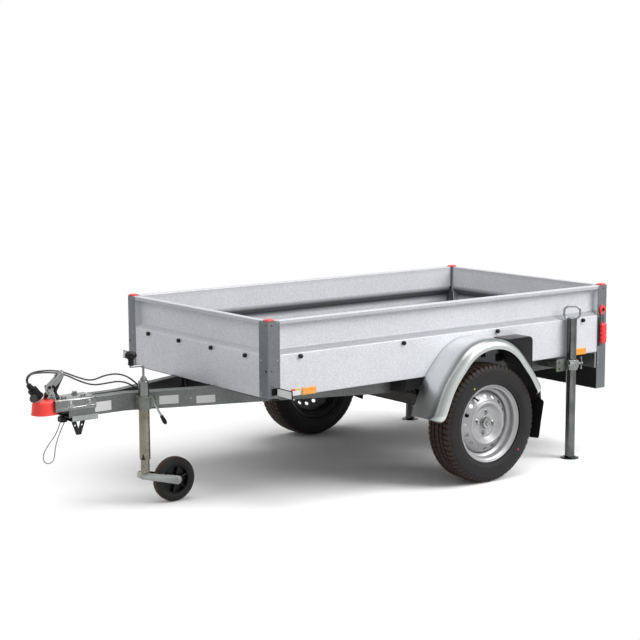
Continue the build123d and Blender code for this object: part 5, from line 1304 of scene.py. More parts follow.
    def returns(self) -> Shape:
        """The left posts' paler returns, which fill the panels' recess at the posts' free edges.

        Returns:
            The left side's three returns.
        """
        recess = self.recess_outline()
        flat = recess * (-1, 1) + (BOX_HALF, 0)
        front = slab(front_plane(FRONT_Y + self.leg), flat, -self.sheet, 0, 0.3, 1)
        lengthways = slab(side_plane(BOX_HALF - self.leg), recess + (FRONT_Y, 0), 0, self.sheet, 0.3, 1)
        rear = slab(front_plane(REAR_Y - self.leg), flat, 0, self.sheet, 0.3, 1)
        return joined([front, lengthways, rear])

    def rear_post(self) -> Shape:
        """The left rear post: its angle runs down to the lamps, and its core holds the gate's pin.

        Returns:
            The post.
        """
        inner = BOX_HALF - self.core
        pocket_y, pocket_top = self.hinge_y - self.pocket_half, self.hinge_z + self.pocket_half
        angle = self.plate(REAR_Y - self.leg, REAR_Y + self.sheet, self.rear_foot, inner)
        line = np.array([(BOX_HALF, REAR_Y - self.core), (inner, REAR_Y - self.core), (inner, pocket_y)])
        core = bent_plate(line, -self.sheet, BED_Z, TOP_Z)
        upper = bent_plate(np.array([(inner, pocket_y), (inner, REAR_Y)]), -self.sheet, pocket_top, TOP_Z)
        pocket = framed_hole(side_plane(inner + self.sheet), (pocket_y, BED_Z), (REAR_Y, pocket_top),
                             (self.hinge_y, self.hinge_z), 5.6, self.sheet)
        return joined([angle, core, upper, pocket])

    def caps(self) -> Shape:
        """Four moulded caps with domed tops and plugs that sit in the posts.

        Returns:
            The four caps.
        """
        outline = rounded_box(self.cap_size, self.cap_size, 7, 6)
        plug = rounded_box(33, 33, 2, 2)
        shapes = []
        for y in (FRONT_Y + self.cap_size / 2, REAR_Y - self.cap_size / 2):
            plane = top_plane(TOP_Z, BOX_HALF - self.cap_size / 2, y)
            crown = np.sin(np.linspace(0, np.pi / 2, 5))
            rings = [(outline, 0.2), (outline, 2.6)]
            rings += [(inset(outline, 9 * (1 - math.cos(t * math.pi / 2)) + 0.2), 2.6 + 4.4 * c)
                      for t, c in zip(np.linspace(0.15, 1, 5), crown)]
            local = np.array([at_height(flat, h) for flat, h in rings])
            shapes += [loft(plane.place(local)), slab(plane, plug, -12, 0.4, 1, 1)]
        return joined(shapes).both_sides()

    @staticmethod
    def knob(plane: Workplane) -> Shape:
        """A mushroom knob that holds the cover's elastic.

        Args:
            plane: Where it sits.

        Returns:
            The knob.
        """
        return turned(plane, [
            (9.2, 0.3), (9.4, 1.6), (6.2, 2.8), (5, 4.4), (5, 6), (8.6, 7.2), (9.9, 8.2), (10, 9.6),
            (9.2, 11.4), (7.2, 13), (4.4, 13.8), (3.2, 13.4), (0.6, 13.2),
        ], 32)

    def rivets(self) -> Shape:
        """Blind rivets on the posts' legs.

        Returns:
            Both sides' rivets.
        """
        side_x = BOX_HALF + self.sheet
        front_y = FRONT_Y - self.sheet
        side_places = [
            (-595, 831.5), (-595, 668), (-592, 528), (-592, 514), (1380, 525.5), (1381, 486), (1382, 446),
            (1381, 668), (1381, 830),
        ]
        front_places = [(536, 831.5), (528, 668), (524, 528), (524, 514)]
        shapes = [rivet(side_plane(side_x, y, z), 4.2, 1.6) for y, z in side_places]
        shapes += [rivet(front_plane(front_y, x, z), 4.2, 1.6) for x, z in front_places]
        return joined(shapes).both_sides()

    def holes(self) -> Shape:
        """Black discs over the punched holes in the posts: painted shade in their mouths.

        Returns:
            Both sides' discs.
        """
        side_x = BOX_HALF + self.sheet
        front_y = FRONT_Y - self.sheet
        side_places = [(-625, 819.4, 3.6), (-626, 624.2, 3.6), (1412, 822.5, 4.2), (1412, 640, 3)]
        front_places = [(563.3, 820.6, 3.6), (563.3, 623.2, 6.5)]
        shapes = [flat_disc(side_plane(side_x, y, z), r) for y, z, r in side_places]
        shapes += [flat_disc(front_plane(front_y, x, z), r) for x, z, r in front_places]
        return joined(shapes).both_sides()

    def studs(self) -> Shape:
        """Round black stud on the left rear post's face, and the nut inside the corner.

        Returns:
            The left side's stud and nut.
        """
        stud = turned(rear_plane(REAR_Y + self.sheet, *self.stud_at), [
            (9, -0.4), (9, 2), (7.5, 6), (4, 8.4), (0.5, 9),
        ], 24)
        inner = Workplane((BOX_HALF - self.depth, *self.nut_at), (0, -1, 0), (0, 0, 1), (-1, 0, 0))
        nut = turned(inner, [(8.5, -0.4), (8.5, 2), (7, 5), (3.6, 6.4), (0.5, 6.8)], 24)
        return stud + nut

    def build(self) -> None:
        """Makes the bed's pieces."""
        trailer = Body.TRAILER
        side = self.side_panel()
        put("side_panel_left", side, SHEET_ZINC, trailer, ("panel_left",), crease=50)
        put("side_panel_right", side.mirrored(), SHEET_ZINC, trailer, ("panel_right",), crease=50)
        put("front_panel", self.front_panel(), SHEET_ZINC, trailer, ("panel_front",), crease=50)
        put("gate_panel", self.gate(), SHEET_ZINC, Body.TAILGATE, ("tailgate",), crease=50)
        put("posts_front", self.front_post().both_sides(), POST_ZINC, trailer, ("front_posts",))
        put("posts_rear", self.rear_post().both_sides(), POST_ZINC, trailer, ("rear_posts",))
        put("post_returns", self.returns().both_sides(), GUARD_ZINC, trailer)
        put("post_studs", self.studs().both_sides(), BLACK_PLASTIC, trailer)
        put("caps", self.caps(), RED_PLASTIC, trailer, ("post_caps",))
        side_knobs = joined([self.knob(side_plane(BOX_HALF, y, self.knob_z)) for y in self.side_knobs_y])
        front_knobs = joined([self.knob(front_plane(FRONT_Y, x, self.knob_z)) for x in self.end_knobs_x])
        gate_knobs = joined([self.knob(rear_plane(REAR_Y, x, self.knob_z)) for x in self.end_knobs_x])
        put("knobs_cover", side_knobs.both_sides() + front_knobs, BLACK_PLASTIC, trailer, ("cover_knobs",))
        put("knobs_gate", gate_knobs, BLACK_PLASTIC, Body.TAILGATE, ("gate_knobs",))
        put("post_rivets", self.rivets(), BRIGHT_ZINC, trailer)
        # Painted shade: black discs stand in for the shade inside the posts' holes.
        put("post_hole_shades", self.holes(), BLACK_STEEL, trailer)


# ---- mudguards and chocks


@dataclass
class Mudguard:
    """A pressed mudguard with a rolled outer edge, its stays, rivets and the stowed wheel chock."""

    inner_x: float = 578.0
    width: float = 179.5
    roll: float = 36.0
    lip: float = 5.0
    wall: float = 2.0
    bend: tuple[float, ...] = (1, 420, 250, 250, 420, 1)
    line: Pairs = (
        (-352, 58), (-280, 223), (-120, 395), (120, 395), (265, 223), (330, 123),
    )
    hub_z: float = 277.0
    corner: float = 40.0
    stay_z: float = 641.0
    stay_ahead: float = 95.0
    stay_behind: float = 92.0
    flap_y: float = 333.0
    bracket_y: float = 704.0
    bracket_z: float = 548.0

    def path(self) -> np.ndarray:
        """The guard's line on the box side, its bends as arcs, with close stations at both ends.

        Returns:
            Points (m, 3).
        """
        points = np.array(self.line) + (AXLE_Y, self.hub_z)
        bent = subdivided(rounded_line(points.tolist(), self.bend, 22), 26)
        along = lengths_along(bent)
        near = self.corner * (1 - np.cos(np.linspace(0, np.pi / 2, 9)))
        wanted = np.unique(np.concatenate([near, along, along[-1] - near]).round(4))
        wanted = wanted[np.concatenate([[True], np.diff(wanted) > 0.15])]
        flat = np.column_stack([np.interp(wanted, along, bent[:, 0]), np.interp(wanted, along, bent[:, 1])])
        return np.column_stack([np.full(len(flat), self.inner_x), flat])

    def sheet(self) -> Shape:
        """The guard's section carried along its line; its outer corners are rounded at both ends.

        Returns:
            The left guard, with painted shade on its roll.
        """
        w, r = self.width, self.roll
        arc = np.linspace(-np.pi / 2, 0, 15)
        top = np.column_stack([w - r + r * np.cos(arc), r + r * np.sin(arc)])
        hem = [(w, r + self.lip - 1.2), (w - 0.8, r + self.lip + 1), (w - 2.8, r + self.lip + 1.2),
               (w - 4.2, r + self.lip - 0.4), (w - 4.4, r + self.lip - 3)]
        skin = np.vstack([[(0, 14), (0, 3), (0.8, 0.8), (3, 0), (60, 0), (110, 0)], top, hem])
        outline = folded_sheet(skin, -self.wall * 0.8)
        path = self.path()
        along = lengths_along(path)
        gap = np.clip(self.corner - np.minimum(along, along[-1] - along), 0, self.corner)
        narrow = 1 - (self.corner - np.sqrt(self.corner**2 - gap**2)) / w
        swell = np.column_stack([narrow, np.ones(len(path))])
        shape = carried(path, outline, (1, 0, 0), swell)
        # Painted shade across the roll, which faces the lamps: strongest where it starts to turn down,
        # lighter at the hem.
        shade = np.interp(outline[:, 0], [w - r - 22, w - r, w - 0.4 * r, w - 2, w], [0, 0.9, 0.9, 0.6, 0.4])
        shape.shade = np.tile(shade, len(shape.points) // len(outline))
        return shape

    def liner(self) -> Shape:
        """The rubber liner inside the guard's rear half, and the flap that hangs from it.

        Returns:
            The left side's liner and flap.
        """
        behind = self.path()[:, 1:]
        behind = behind[behind[:, 0] >= AXLE_Y + 20]
        line = np.vstack([shifted_line(behind, -4.5), [(AXLE_Y + self.flap_y, self.hub_z + 62)]])
        outline = folded_sheet(line, -3)
        ends = (self.inner_x + 8, self.inner_x + self.width - 32)
        shape = loft(np.array([np.column_stack([np.full(len(outline), x), outline]) for x in ends]))
        drop = unit(np.array([0, -25, -157]))
        foot = (0, AXLE_Y + self.flap_y, self.hub_z + 66)
        plane = Workplane(foot, (1, 0, 0), tuple(-drop), (0, -0.987, 0.157))
        corners = [(ends[0], 8), (744, 8), (740, -176), (ends[0], -189)]
        flap = slab(plane, rounded_line(corners, (6, 16, 10, 3), 6, closed=True), 0, 3.4, 0.8)
        return shape + flap

    def stays(self) -> Shape:
        """Two folded stays that carry the guard under its top, seen in the arch.

        Returns:
            The left side's stays.
        """
        shapes = []
        corners = [(576.2, 560), (576.2, self.stay_z - 9), (600, self.stay_z), (724, self.stay_z)]
        outline = folded_sheet(rounded_line(corners, (1, 6, 6, 1), 4), -3)
        for y in (AXLE_Y - self.stay_ahead, AXLE_Y + self.stay_behind):
            rings = [np.column_stack([outline[:, 0], np.full(len(outline), y + d), outline[:, 1]])
                     for d in (-14, 14)]
            shapes.append(loft(np.array(rings)))
        return joined(shapes)

    def bracket(self) -> Shape:
        """Black plate on the side panel's foot inside the arch.

        Returns:
            The left side's bracket.
        """
        y, z = self.bracket_y, self.bracket_z
        plate = slab(side_plane(BOX_HALF, y, z), rounded_box(54, 36, 5), 0.2, 4, 0.8)
        bolts = [hexagon_bolt(side_plane(BOX_HALF + 3.6, y + a, z), 10, 5) for a in (-14, 14)]
        return joined([plate, *bolts])

    def chock(self) -> Shape:
        """The stowed chock: a wedge with its rounded corner up, a ribbed sole and its holder.

        Returns:
            The left side's chock and holder.
        """
        corners = [(652, 650), (667 + 145, 470), (827, 470), (827, 650)]
        outline = rounded_line(corners, (5, 6, 5, 24), 7, closed=True)
        body = slab(side_plane(580.3), outline, 0, 94, 3, 3)
        field = [(690, 636), (800, 500), (813, 500), (813, 636)]
        panel = slab(side_plane(673.6), rounded_line(field, (3, 4, 3, 14), 5, closed=True), 0, 2, 1.6)
        holder = slab(side_plane(575.3), rounded_box(96, 72, 6) + (771, 610), 0, 6, 1)
        return joined([body, panel, holder])

    def build(self) -> None:
        """Makes both sides' pieces."""
        trailer = Body.TRAILER
        put("guards_pressed", self.sheet().both_sides(), GUARD_ZINC, trailer, ("mudguards",), crease=60)
        put("guard_stays", self.stays().both_sides(), BLACK_STEEL, trailer)
        put("flaps_hung", self.liner().both_sides(), FLAP_RUBBER, trailer, ("mud_flaps",))
        put("flap_rivets", rivet(front_plane(831.2, 716, 366), 4, 1.8).both_sides(), BRIGHT_ZINC, trailer)
        put("arch_brackets", self.bracket().both_sides(), BLACK_STEEL, trailer)
        put("chocks_moulded", self.chock().both_sides(), BLACK_PLASTIC, trailer, ("wheel_chocks",))


# ---- coupling


@dataclass
class Coupling:
    """Ball coupling under its red cover, its shell, lever, guide plate, brackets and plug."""

    hood_radius: float = 49.0
    hood_rear: float = 98.0
    hood_skirt: float = 446.5
    hood_low: float = 502.0
    hood_high: float = 511.0
    shell_half: float = 58.8
    shell_front: float = 80.0
    shell_rear: float = 275.0
    shell_top: float = 510.0
    shell_foot: float = 459.0
    guide_front: float = 158.0
    guide_rear: float = 283.0
    guide_low: float = 408.0
    guide_top: float = 433.5
    guide_ribs: int = 7
    lever_line: Pairs = ((77, 516), (63, 559), (144, 629))
    lever_width: float = 32.0
    lever_depth: float = 25.0
    plug_at: Pair = (-7, 571)
    plug_way: Pair = (14.5, -18.5)

    def hood_outline(self, draw: float) -> np.ndarray:
        """Half circle round the socket in front and a rounded square end behind, drawn in by draw.

        Args:
            draw: How far it is drawn in.

        Returns:
            Closed outline (n, 2): x, and how far behind the tip.
        """
        r = self.hood_radius - draw
        turn = np.linspace(np.pi, 2 * np.pi, 33)
        front = np.column_stack([r * np.cos(turn), self.hood_radius + r * np.sin(turn)])
        rear = self.hood_rear - draw * 0.5
        corner = 12.0
        bend = np.linspace(0, np.pi / 2, 7)
        right = np.column_stack([r - corner + corner * np.cos(bend), rear - corner + corner * np.sin(bend)])
        left = right[::-1] * (-1, 1)
        return np.vstack([front, right, left])

    def hood(self) -> Shape:
        """The soft cover, open below.

        Ring k is the outline drawn in along a flare, a near-upright wall and a round shoulder,
        at a share of the way from the skirt to a top that climbs from low in front to high behind.

        Returns:
            The cover's skin.
        """
        share = np.array([0, 0.03, 0.08, 0.3, 0.55, 0.72, 0.83, 0.90, 0.945, 0.972, 0.988, 0.997, 1])
        draw = np.array([-1, -1.2, 0.2, 1.6, 3.2, 4.4, 5.2, 6.2, 8, 11.5, 17, 27, 40])
        rings = []
        for s, d in zip(share, draw):
            flat = self.hood_outline(d)
            t = np.clip(flat[:, 1] / 88, 0, 1)
            dip = 5.0 * np.clip((flat[:, 1] - 84) / 14, 0, 1)
            top = self.hood_low + (self.hood_high - self.hood_low) * t * t * (3 - 2 * t) - dip
            crease = 1.3 / self.hood_radius * math.exp(-((s - 0.62) / 0.05) ** 2)
            height = self.hood_skirt + (top - self.hood_skirt) * s
            rings.append(np.column_stack([flat[:, 0] * (1 - crease), TIP_Y + flat[:, 1], height]))
        shape = loft(np.array(rings), caps=False)
        shape.faces.append(tuple(range(len(shape.points) - len(flat), len(shape.points))))
        return shape

    def shell(self) -> Shape:
        """The galvanised shell: a folded channel with a bead pressed along each side.

        Returns:
            The closed shell.
        """
        h, top, foot = self.shell_half, self.shell_top, self.shell_foot
        line = rounded_line([(-h, foot), (-h, foot + 9), (-h - 1.6, foot + 12), (-h, foot + 15), (-h, top),
                             (h, top), (h, foot + 15), (h + 1.6, foot + 12), (h, foot + 9), (h, foot)],
                            (1, 2, 1.6, 2, 10, 10, 2, 1.6, 2, 1), 6)
        outline = folded_sheet(line, -3.2)
        stations = np.array([self.shell_front, self.shell_front + 2, self.shell_rear - 2, self.shell_rear])
        shrink = np.array([0.985, 1, 1, 0.985])
        middle = np.array([0, (top + foot) / 2])
        rings = []
        for behind, k in zip(stations, shrink):
            flat = middle + (outline - middle) * k
            rings.append(np.column_stack([flat[:, 0], np.full(len(flat), TIP_Y + behind), flat[:, 1]]))
        return loft(np.array(rings))

    def bolts(self) -> Shape:
        """Through bolts on the shell's sides and hexagon bolts on its top.

        Returns:
            The bolts.
        """
        tops = [hexagon_bolt(top_plane(self.shell_top - 0.3, x, TIP_Y + behind), 19, 9, 2.2)
                for x in (38, -38) for behind in (130, 222)]
        sides = [hexagon_bolt(side_plane(self.shell_half - 0.3, TIP_Y + behind, 484), 17, 6, 1.8)
                 for behind in (150, 240)]
        return joined(tops) + joined(sides).both_sides()

    def lever(self) -> Shape:
        """The closing lever: a folded channel, round at its top and narrow at its foot.

        Returns:
            The lever.
        """
        w, d = self.lever_width / 2, self.lever_depth
        line = rounded_line([(-w, d), (-w, 0), (w, 0), (w, d)], (1, 7, 7, 1), 5)
        outline = folded_sheet(line, 2.6)
        corners = [(0, TIP_Y + behind, z) for behind, z in self.lever_line]
        path = subdivided(rounded_line(corners, 24, 10), 8)
        along = lengths_along(path)
        left = along[-1] - along
        gap = np.clip(w - left, 0, w)
        round_end = np.sqrt(np.maximum(1 - (gap / w) ** 2, 0.04))
        deep = 0.55 + 0.45 * np.clip(left / 45, 0, 1)
        return carried(path, outline, (1, 0, 0), np.column_stack([round_end, deep]))

    def lever_fittings(self) -> Shape:
        """Pivot bolts through the lever's cheeks.

        Returns:
            The bolts' heads.
        """
        w = self.lever_width / 2
        places = [(76, 561), (94, 562.5), (82, 527)]
        bolts = [hexagon_bolt(side_plane(w - 0.2, TIP_Y + behind, z), 9, 4, 1.2) for behind, z in places]
        return joined(bolts).both_sides()

    def strut(self) -> Shape:
        """Black pull rod behind the lever, from its cheeks down to the shell.

        Returns:
            The rod and its collar.
        """
        path = rounded_line([(0, TIP_Y + 148, 611), (0, TIP_Y + 109, 541), (0, TIP_Y + 112, 512)], 14, 6)
        collar = turned(top_plane(self.shell_top - 0.4, 0, TIP_Y + 112),
                        [(17, 0), (17, 4), (14, 7), (11, 16), (8, 18)], 32)
        return rod(path, 8.5, 20) + collar

    def cradle(self) -> Shape:
        """Two upright lugs on the shell that the lever turns between.

        Returns:
            Both lugs.
        """
        outline = rounded_line([(TIP_Y + 62, 508), (TIP_Y + 104, 508), (TIP_Y + 98, 536), (TIP_Y + 70, 540)],
                               (3, 3, 9, 9), 5, closed=True)
        return slab(side_plane(self.lever_width / 2 + 1.2), outline, 0, 4, 0.8).both_sides()

    def guide(self) -> Shape:
        """The channel plate under the beams, ribbed across.

        Returns:
            The plate.
        """
        h, top, low = self.shell_half, self.guide_top, self.guide_low
        line = rounded_line([(-h, top), (-h, low), (h, low), (h, top)], (1, 6, 6, 1), 5)
        outline = folded_sheet(subdivided(line, 20), 3.5)
        stations = np.linspace(self.guide_front, self.guide_rear, 51)
        share = (stations - self.guide_front) / (self.guide_rear - self.guide_front)
        rib = 1.2 * np.cos(share * 2 * np.pi * self.guide_ribs)
        rings = [np.column_stack([outline[:, 0], np.full(len(outline), TIP_Y + s),
                                  outline[:, 1] - 0.6 + 0.5 * r]) for s, r in zip(stations, rib)]
        return loft(np.array(rings))

    def marks(self) -> None:
        """The coupled-height marks: three dabs of colour on the shell's side."""
        for name, finish, behind, z in (("red", LABEL_RED, 84.5, 505.5), ("green", LABEL_GREEN, 92, 505),
                                        ("yellow", LABEL_YELLOW, 103, 505)):
            dab = flat_disc(aimed_plane((57.2, TIP_Y + behind, z), (1, 0, 0.45), (0, 1, 0)), 3, 0.5)
            put(f"shell_mark_{name}", dab, finish, Body.TRAILER)

    def plug(self) -> list[bpy.types.Object]:
        """The ribbed plug with its neck nut, front ring and lid.

        Returns:
            The plug and its lid.
        """
        origin = (0, TIP_Y + self.plug_at[0], self.plug_at[1])
        plane = aimed_plane(origin, (0, *self.plug_way), (1, 0, 0))
        nut = turned(plane, [(6.5, -14), (10.5, -13), (11.6, -10), (12.2, -2), (11, -1), (12, 1),
                             (13.3, 2.5), (13.3, 9.5), (12.2, 11), (13.4, 12.4),
                             (13.4, 15), (10, 16)], 12)
        ribs = []
        for k in range(6):
            start = 15.0 + k * 6.6
            ribs += [(21.8, start), (21.8, start + 4.4), (20.4, start + 4.9), (20.4, start + 6.2)]
        body = turned(plane, [(14, 13.6), (20, 14.2), *ribs, (20.4, 55.2)], 48)
        ring = turned(plane, [(20, 54.6), (24.6, 55), (25, 56.2), (25, 62.6), (24.2, 63.8), (20.5, 64),
                              (19.8, 62.8), (19.4, 58), (8, 57.6)], 48)
        way = unit(np.array([0, *self.plug_way]))
        side = np.cross(way, (1, 0, 0))
        middle = np.array(origin) + way * 40.0 + side * 25.0
        lid = turned(side_plane(17, middle[1], middle[2]), [
            (17.6, 0.2), (18, 1), (18, 4), (17.2, 5), (13.5, 5), (12.8, 4.2), (4, 4.2),
        ], 40)
        piece = put("plug_moulded", joined([nut, body, ring]), BLACK_PLASTIC, Body.TRAILER, ("cable_plug",))
        cap = put("plug_lid", lid, BLACK_RUBBER, Body.TRAILER)
        return [piece, cap]

    def build(self) -> list[bpy.types.Object]:
        """Makes the coupling's pieces.

        Returns:
            The plug's pieces.
        """
        trailer = Body.TRAILER
        put("hood_soft", self.hood(), RED_VINYL, trailer, ("coupling_cover",), crease=60, sheet=2.4,
            faces_to=(0, 0, 1))
        put("shell_folded", self.shell(), DARKER_ZINC, trailer, ("coupling_shell",))
        put("shell_bolts", self.bolts(), BRIGHT_ZINC, trailer)
        put("lever_folded", self.lever(), BRIGHT_ZINC, trailer, ("coupling_lever",))
        put("lever_bolts", self.lever_fittings(), BLACK_ZINC, trailer)
        put("lever_strut", self.strut(), BLACK_STEEL, trailer)
        put("lever_lugs", self.cradle(), BRIGHT_ZINC, trailer)
        put("guide_ribbed", self.guide(), BRIGHT_ZINC, trailer, ("drawbar_guide",))
        self.marks()
        return self.plug()


# ---- jockey wheel


@dataclass
class Jockey:
    """Jockey wheel: tube, crank, knob, clamp with its screw, fork and wheel."""

    x: float = 115.0
    y: float = -980.0
    tube: float = 24.0
    tube_wall: float = 3.0
    tube_low: float = 212.0
    tube_top: float = 560.0
    sleeve_low: float = 480.0
    stem: float = 19.5
    stem_low: float = 124.0
    clamp_low: float = 436.0
    clamp_top: float = 492.0
    clamp: float = 33.5
    wheel_y: float = -828.0
    wheel_x: float = 105.0
    wheel_z: float = 100.0
    fork_half: float = 30.5
    beam_slope: float = 0.3465
    beam_gap: float = 38.17
    crank_low: float = 577.0
    crank_top: float = 628.0
    crank_reach: float = 61.0
    screw_out: float = 46.0
    screw_way: Point = (0, 38, -65)

    def screw_eye(self) -> np.ndarray:
        """Middle of the eye that the screw's bar goes through."""
        return np.array([self.x, self.y + self.screw_out, (self.clamp_low + self.clamp_top) / 2])

    def axle_plane(self) -> Workplane:
        """The small wheel's own plane."""
        return side_plane(self.wheel_x, self.wheel_y, self.wheel_z)

    def axis(self, z: float = 0.0) -> Workplane:
        """Upright plane on the tube's axis."""
        return top_plane(z, self.x, self.y)

    def outer_tube(self) -> Shape:
        """The tube up to its sleeve, chamfered at its foot.

        Returns:
            The tube.
        """
        inner = self.tube - self.tube_wall
        return turned(self.axis(), [
            (inner, self.tube_low + 1), (self.tube - 0.8, self.tube_low), (self.tube, self.tube_low + 1.2),
            (self.tube, self.sleeve_low), (inner, self.sleeve_low),
        ], 56, ring=True)

    def sleeve(self) -> Shape:
        """The tube's bright upper part with its stepped collar and cap.

        Returns:
            The sleeve.
        """
        inner, top = self.tube - self.tube_wall, self.tube_top
        return turned(self.axis(), [
            (inner, self.sleeve_low + 0.1), (self.tube, self.sleeve_low + 0.1), (self.tube, top - 10),
            (self.tube - 0.3, top - 3), (self.tube - 2.2, top), (17.5, top + 1.4), (15, top + 2.4),
            (15, top + 9), (13.4, top + 11), (10.6, top + 11.8), (10.4, top + 16.5), (8.5, top + 18),
            (0.6, top + 18.2), (0.6, top - 12), (inner, top - 12),
        ], 56, ring=True)

    def crank(self) -> Shape:
        """The crank: a rod up from the collar, bent forward to the knob.

        Returns:
            The crank.
        """
        x, y, top = self.x, self.y, self.crank_top
        path = rounded_line([(x, y, self.crank_low), (x, y, top - 2), (x, y - 67, top)], 13, 10)
        knob_y = y - self.crank_reach
        end = rounded_line([(x, y - 55, top), (x, knob_y, top), (x, knob_y, top + 12)], 5, 5)
        return rod(path, 5, 20) + rod(end, 4.6, 18)

    def knob(self) -> Shape:
        """The crank's mushroom knob.

        Returns:
            The knob.
        """
        plane = top_plane(self.crank_top + 5.5, self.x, self.y - self.crank_reach)
        return turned(plane, [
            (9, 0.2), (12.6, 1), (13.4, 4), (12, 14), (12.6, 25), (17, 31), (23.8, 34.5),
            (26.2, 39), (26.4, 45), (24.6, 52.5), (19.6, 58.6), (12.6, 62.2), (5.6, 63.7), (0.5, 64),
        ], 44)

    def clamp_body(self) -> Shape:
        """The clamp: plate along the beam, web, ring round the tube and its ears.

        Returns:
            The clamp.
        """
        low, high, r = self.clamp_low, self.clamp_top, self.clamp
        ring = turned(self.axis(), [
            (24.6, low + 0.6), (r - 1, low), (r, low + 1.2), (r, low + 12), (r - 1.4, low + 15),
            (r - 1.4, high - 15), (r, high - 12), (r, high - 1.2), (r - 1, high), (24.6, high - 0.6),
        ], 56, ring=True)
        turn = math.atan(self.beam_slope)
        way = np.array([math.sin(turn), math.cos(turn), 0])
        out = np.array([math.cos(turn), -math.sin(turn), 0])
        foot = np.array([self.x, self.y, (low + high) / 2])
        gap = self.beam_gap * math.cos(turn) - 0.4
        middle = foot - out * gap
        plane = Workplane(tuple(middle), tuple(way), (0, 0, 1), tuple(out))
        plate = slab(plane, rounded_box(104, 56, 8) + (23, 0), 0, 6, 1)
        web = slab(plane, rounded_box(42, 50, 6), 3, gap - 26, 2)
        bolts = [hexagon_bolt(replace(plane, origin=tuple(plane.place((58, b, 5.8)))), 13, 7)
                 for b in (15, -15)]
        ears = slab(side_plane(self.x - 13, self.y + 31, foot[2]), rounded_box(26, 44, 7), 0, 26, 1.4)
        return joined([ring, plate, web, ears, *bolts])

    def screw(self) -> Shape:
        """The clamp's screw: boss, threaded end and the bent bar that turns it.

        Returns:
            The screw.
        """
        z = (self.clamp_low + self.clamp_top) / 2
        boss = turned(rear_plane(self.y + 34.4, self.x, z),
                      [(9.8, 0), (10, 1), (10, 8), (8.6, 11), (8.6, 15), (7, 17)], 28)
        way = unit(np.array(self.screw_way))
        bar = rod(np.array([self.screw_eye() + way * t for t in (-4, 0, 45, 92)]), 4.8, 18)
        return boss + bar

    def screw_grip(self) -> Shape:
        """The bar's moulded grip.

        Returns:
            The grip.
        """
        start = self.screw_eye() + unit(np.array(self.screw_way)) * 80.0
        return turned(aimed_plane(tuple(start), self.screw_way, (1, 0, 0)), [
            (5.6, 0), (7.6, 1.2), (8.6, 5), (7.8, 10), (9.6, 22), (9.8, 33), (8.4, 42), (5.4, 46.2),
            (0.5, 47),
        ], 28)

    def notch(self) -> Shape:
        """Black plate on the tube's foot at the notch that locks the fork straight: painted shade for the
        notch's mouth.

        Returns:
            The plate of painted shade.
        """
        turn = math.radians(-50)
        out = (math.cos(turn), math.sin(turn), 0)
        at = (self.x + out[0] * (self.tube - 0.25), self.y + out[1] * (self.tube - 0.25), self.tube_low + 14)
        outline = rounded_line([(-9, -13.5), (9, -13.5), (1.5, 14), (-1.5, 14)], (0.6, 0.6, 1, 1), 3,
                               closed=True)
        plane = Workplane(at, (-out[1], out[0], 0), (0, 0, 1), out)
        return slab(plane, outline, -2, 0.6, 0.2, 1)

    def fork(self) -> Shape:
        """Bridge and two tapered arms to the axle's pin.

        Returns:
            The fork.
        """
        outline = rounded_box(2 * (self.fork_half + 5), 38, 9)
        bridge = slab(top_plane(0, self.wheel_x, self.y), outline, 125, 149, 2.5, 3)
        low, high = np.array([self.wheel_y, self.wheel_z]), np.array([self.y, 137])
        way = unit(low - high)
        up = np.array([-way[1], way[0]])
        end = np.linspace(-np.pi / 2, np.pi / 2, 15)[:, None]
        foot = low + 19.5 * (np.cos(end) * way + np.sin(end) * up)
        head = high - 15.0 * (np.cos(end) * way + np.sin(end) * up)
        left, right = self.wheel_x + self.fork_half, self.wheel_x - self.fork_half - 6
        arms = [slab(side_plane(x), np.vstack([foot, head]), 0, 6, 1.4, 2) for x in (left, right)]
        pin = turned(side_plane(right, self.wheel_y, self.wheel_z), [(8, 0), (8, 73)], 28)
        nut = hexagon_bolt(side_plane(left + 5.8, self.wheel_y, self.wheel_z), 17, 4, 1.4)
        return joined([bridge, *arms, pin, nut])

    def stem_tube(self) -> Shape:
        """The fork's stem inside the tube.

        Returns:
            The stem.
        """
        return turned(self.axis(), [(0.5, self.stem_low), (self.stem, self.stem_low), (self.stem, 298),
                                    (self.stem - 1.5, 300), (0.5, 300)], 40)

    def tyre(self) -> Shape:
        """Solid rubber tyre with round shoulders and a moulding line.

        Returns:
            The tyre, shaded where it runs.
        """
        half = [(0, 100), (1, 99.4), (2, 99.9), (9, 99.8), (16, 97.8), (21, 93.2), (24.2, 86.5),
                (25, 79), (24.2, 71.5), (22, 67), (14, 66.4)]
        section = np.array(half + [(-out, r) for out, r in half[:0:-1]])
        shape = turned(self.axle_plane(), section[:, ::-1].tolist(), 96, ring=True)
        bloom = np.clip((section[:, 1] - 92) / 8, 0, 1) * 0.75
        shape.shade = np.repeat(bloom, 96)
        return shape

    def rim(self) -> Shape:
        """Moulded wheel centre: rim, six spokes that stand out each side of a web, and a bored hub.

        Returns:
            The wheel's centre.
        """
        plane = self.axle_plane()
        ring = turned(plane, [
            (60, -22.5), (65.5, -23), (66, -22), (66, 22), (65.5, 23), (60, 22.5), (58.5, 18), (58, 4),
            (58, -4), (58.5, -18),
        ], 72, ring=True)
        web = turned(plane, [(20, -2.5), (59, -3.2), (59, 3.2), (20, 2.5)], 72, ring=True)
        profile = [(8.4, -24.5), (20, -25), (22, -23), (22, 23), (20, 25), (8.4, 24.5)]
        hub = turned(plane, profile, 48, ring=True)
        outline = rounded_line([(19, -5), (60, -3.6), (60, 3.6), (19, 5)], 1.2, 2, closed=True)
        spokes = []
        for turn in np.arange(6) * math.pi / 3 + 0.3:
            c, s = math.cos(turn), math.sin(turn)
            spokes.append(slab(plane, outline @ np.array([[c, s], [-s, c]]), -19, 19, 1.6))
        return joined([ring, web, hub, *spokes])

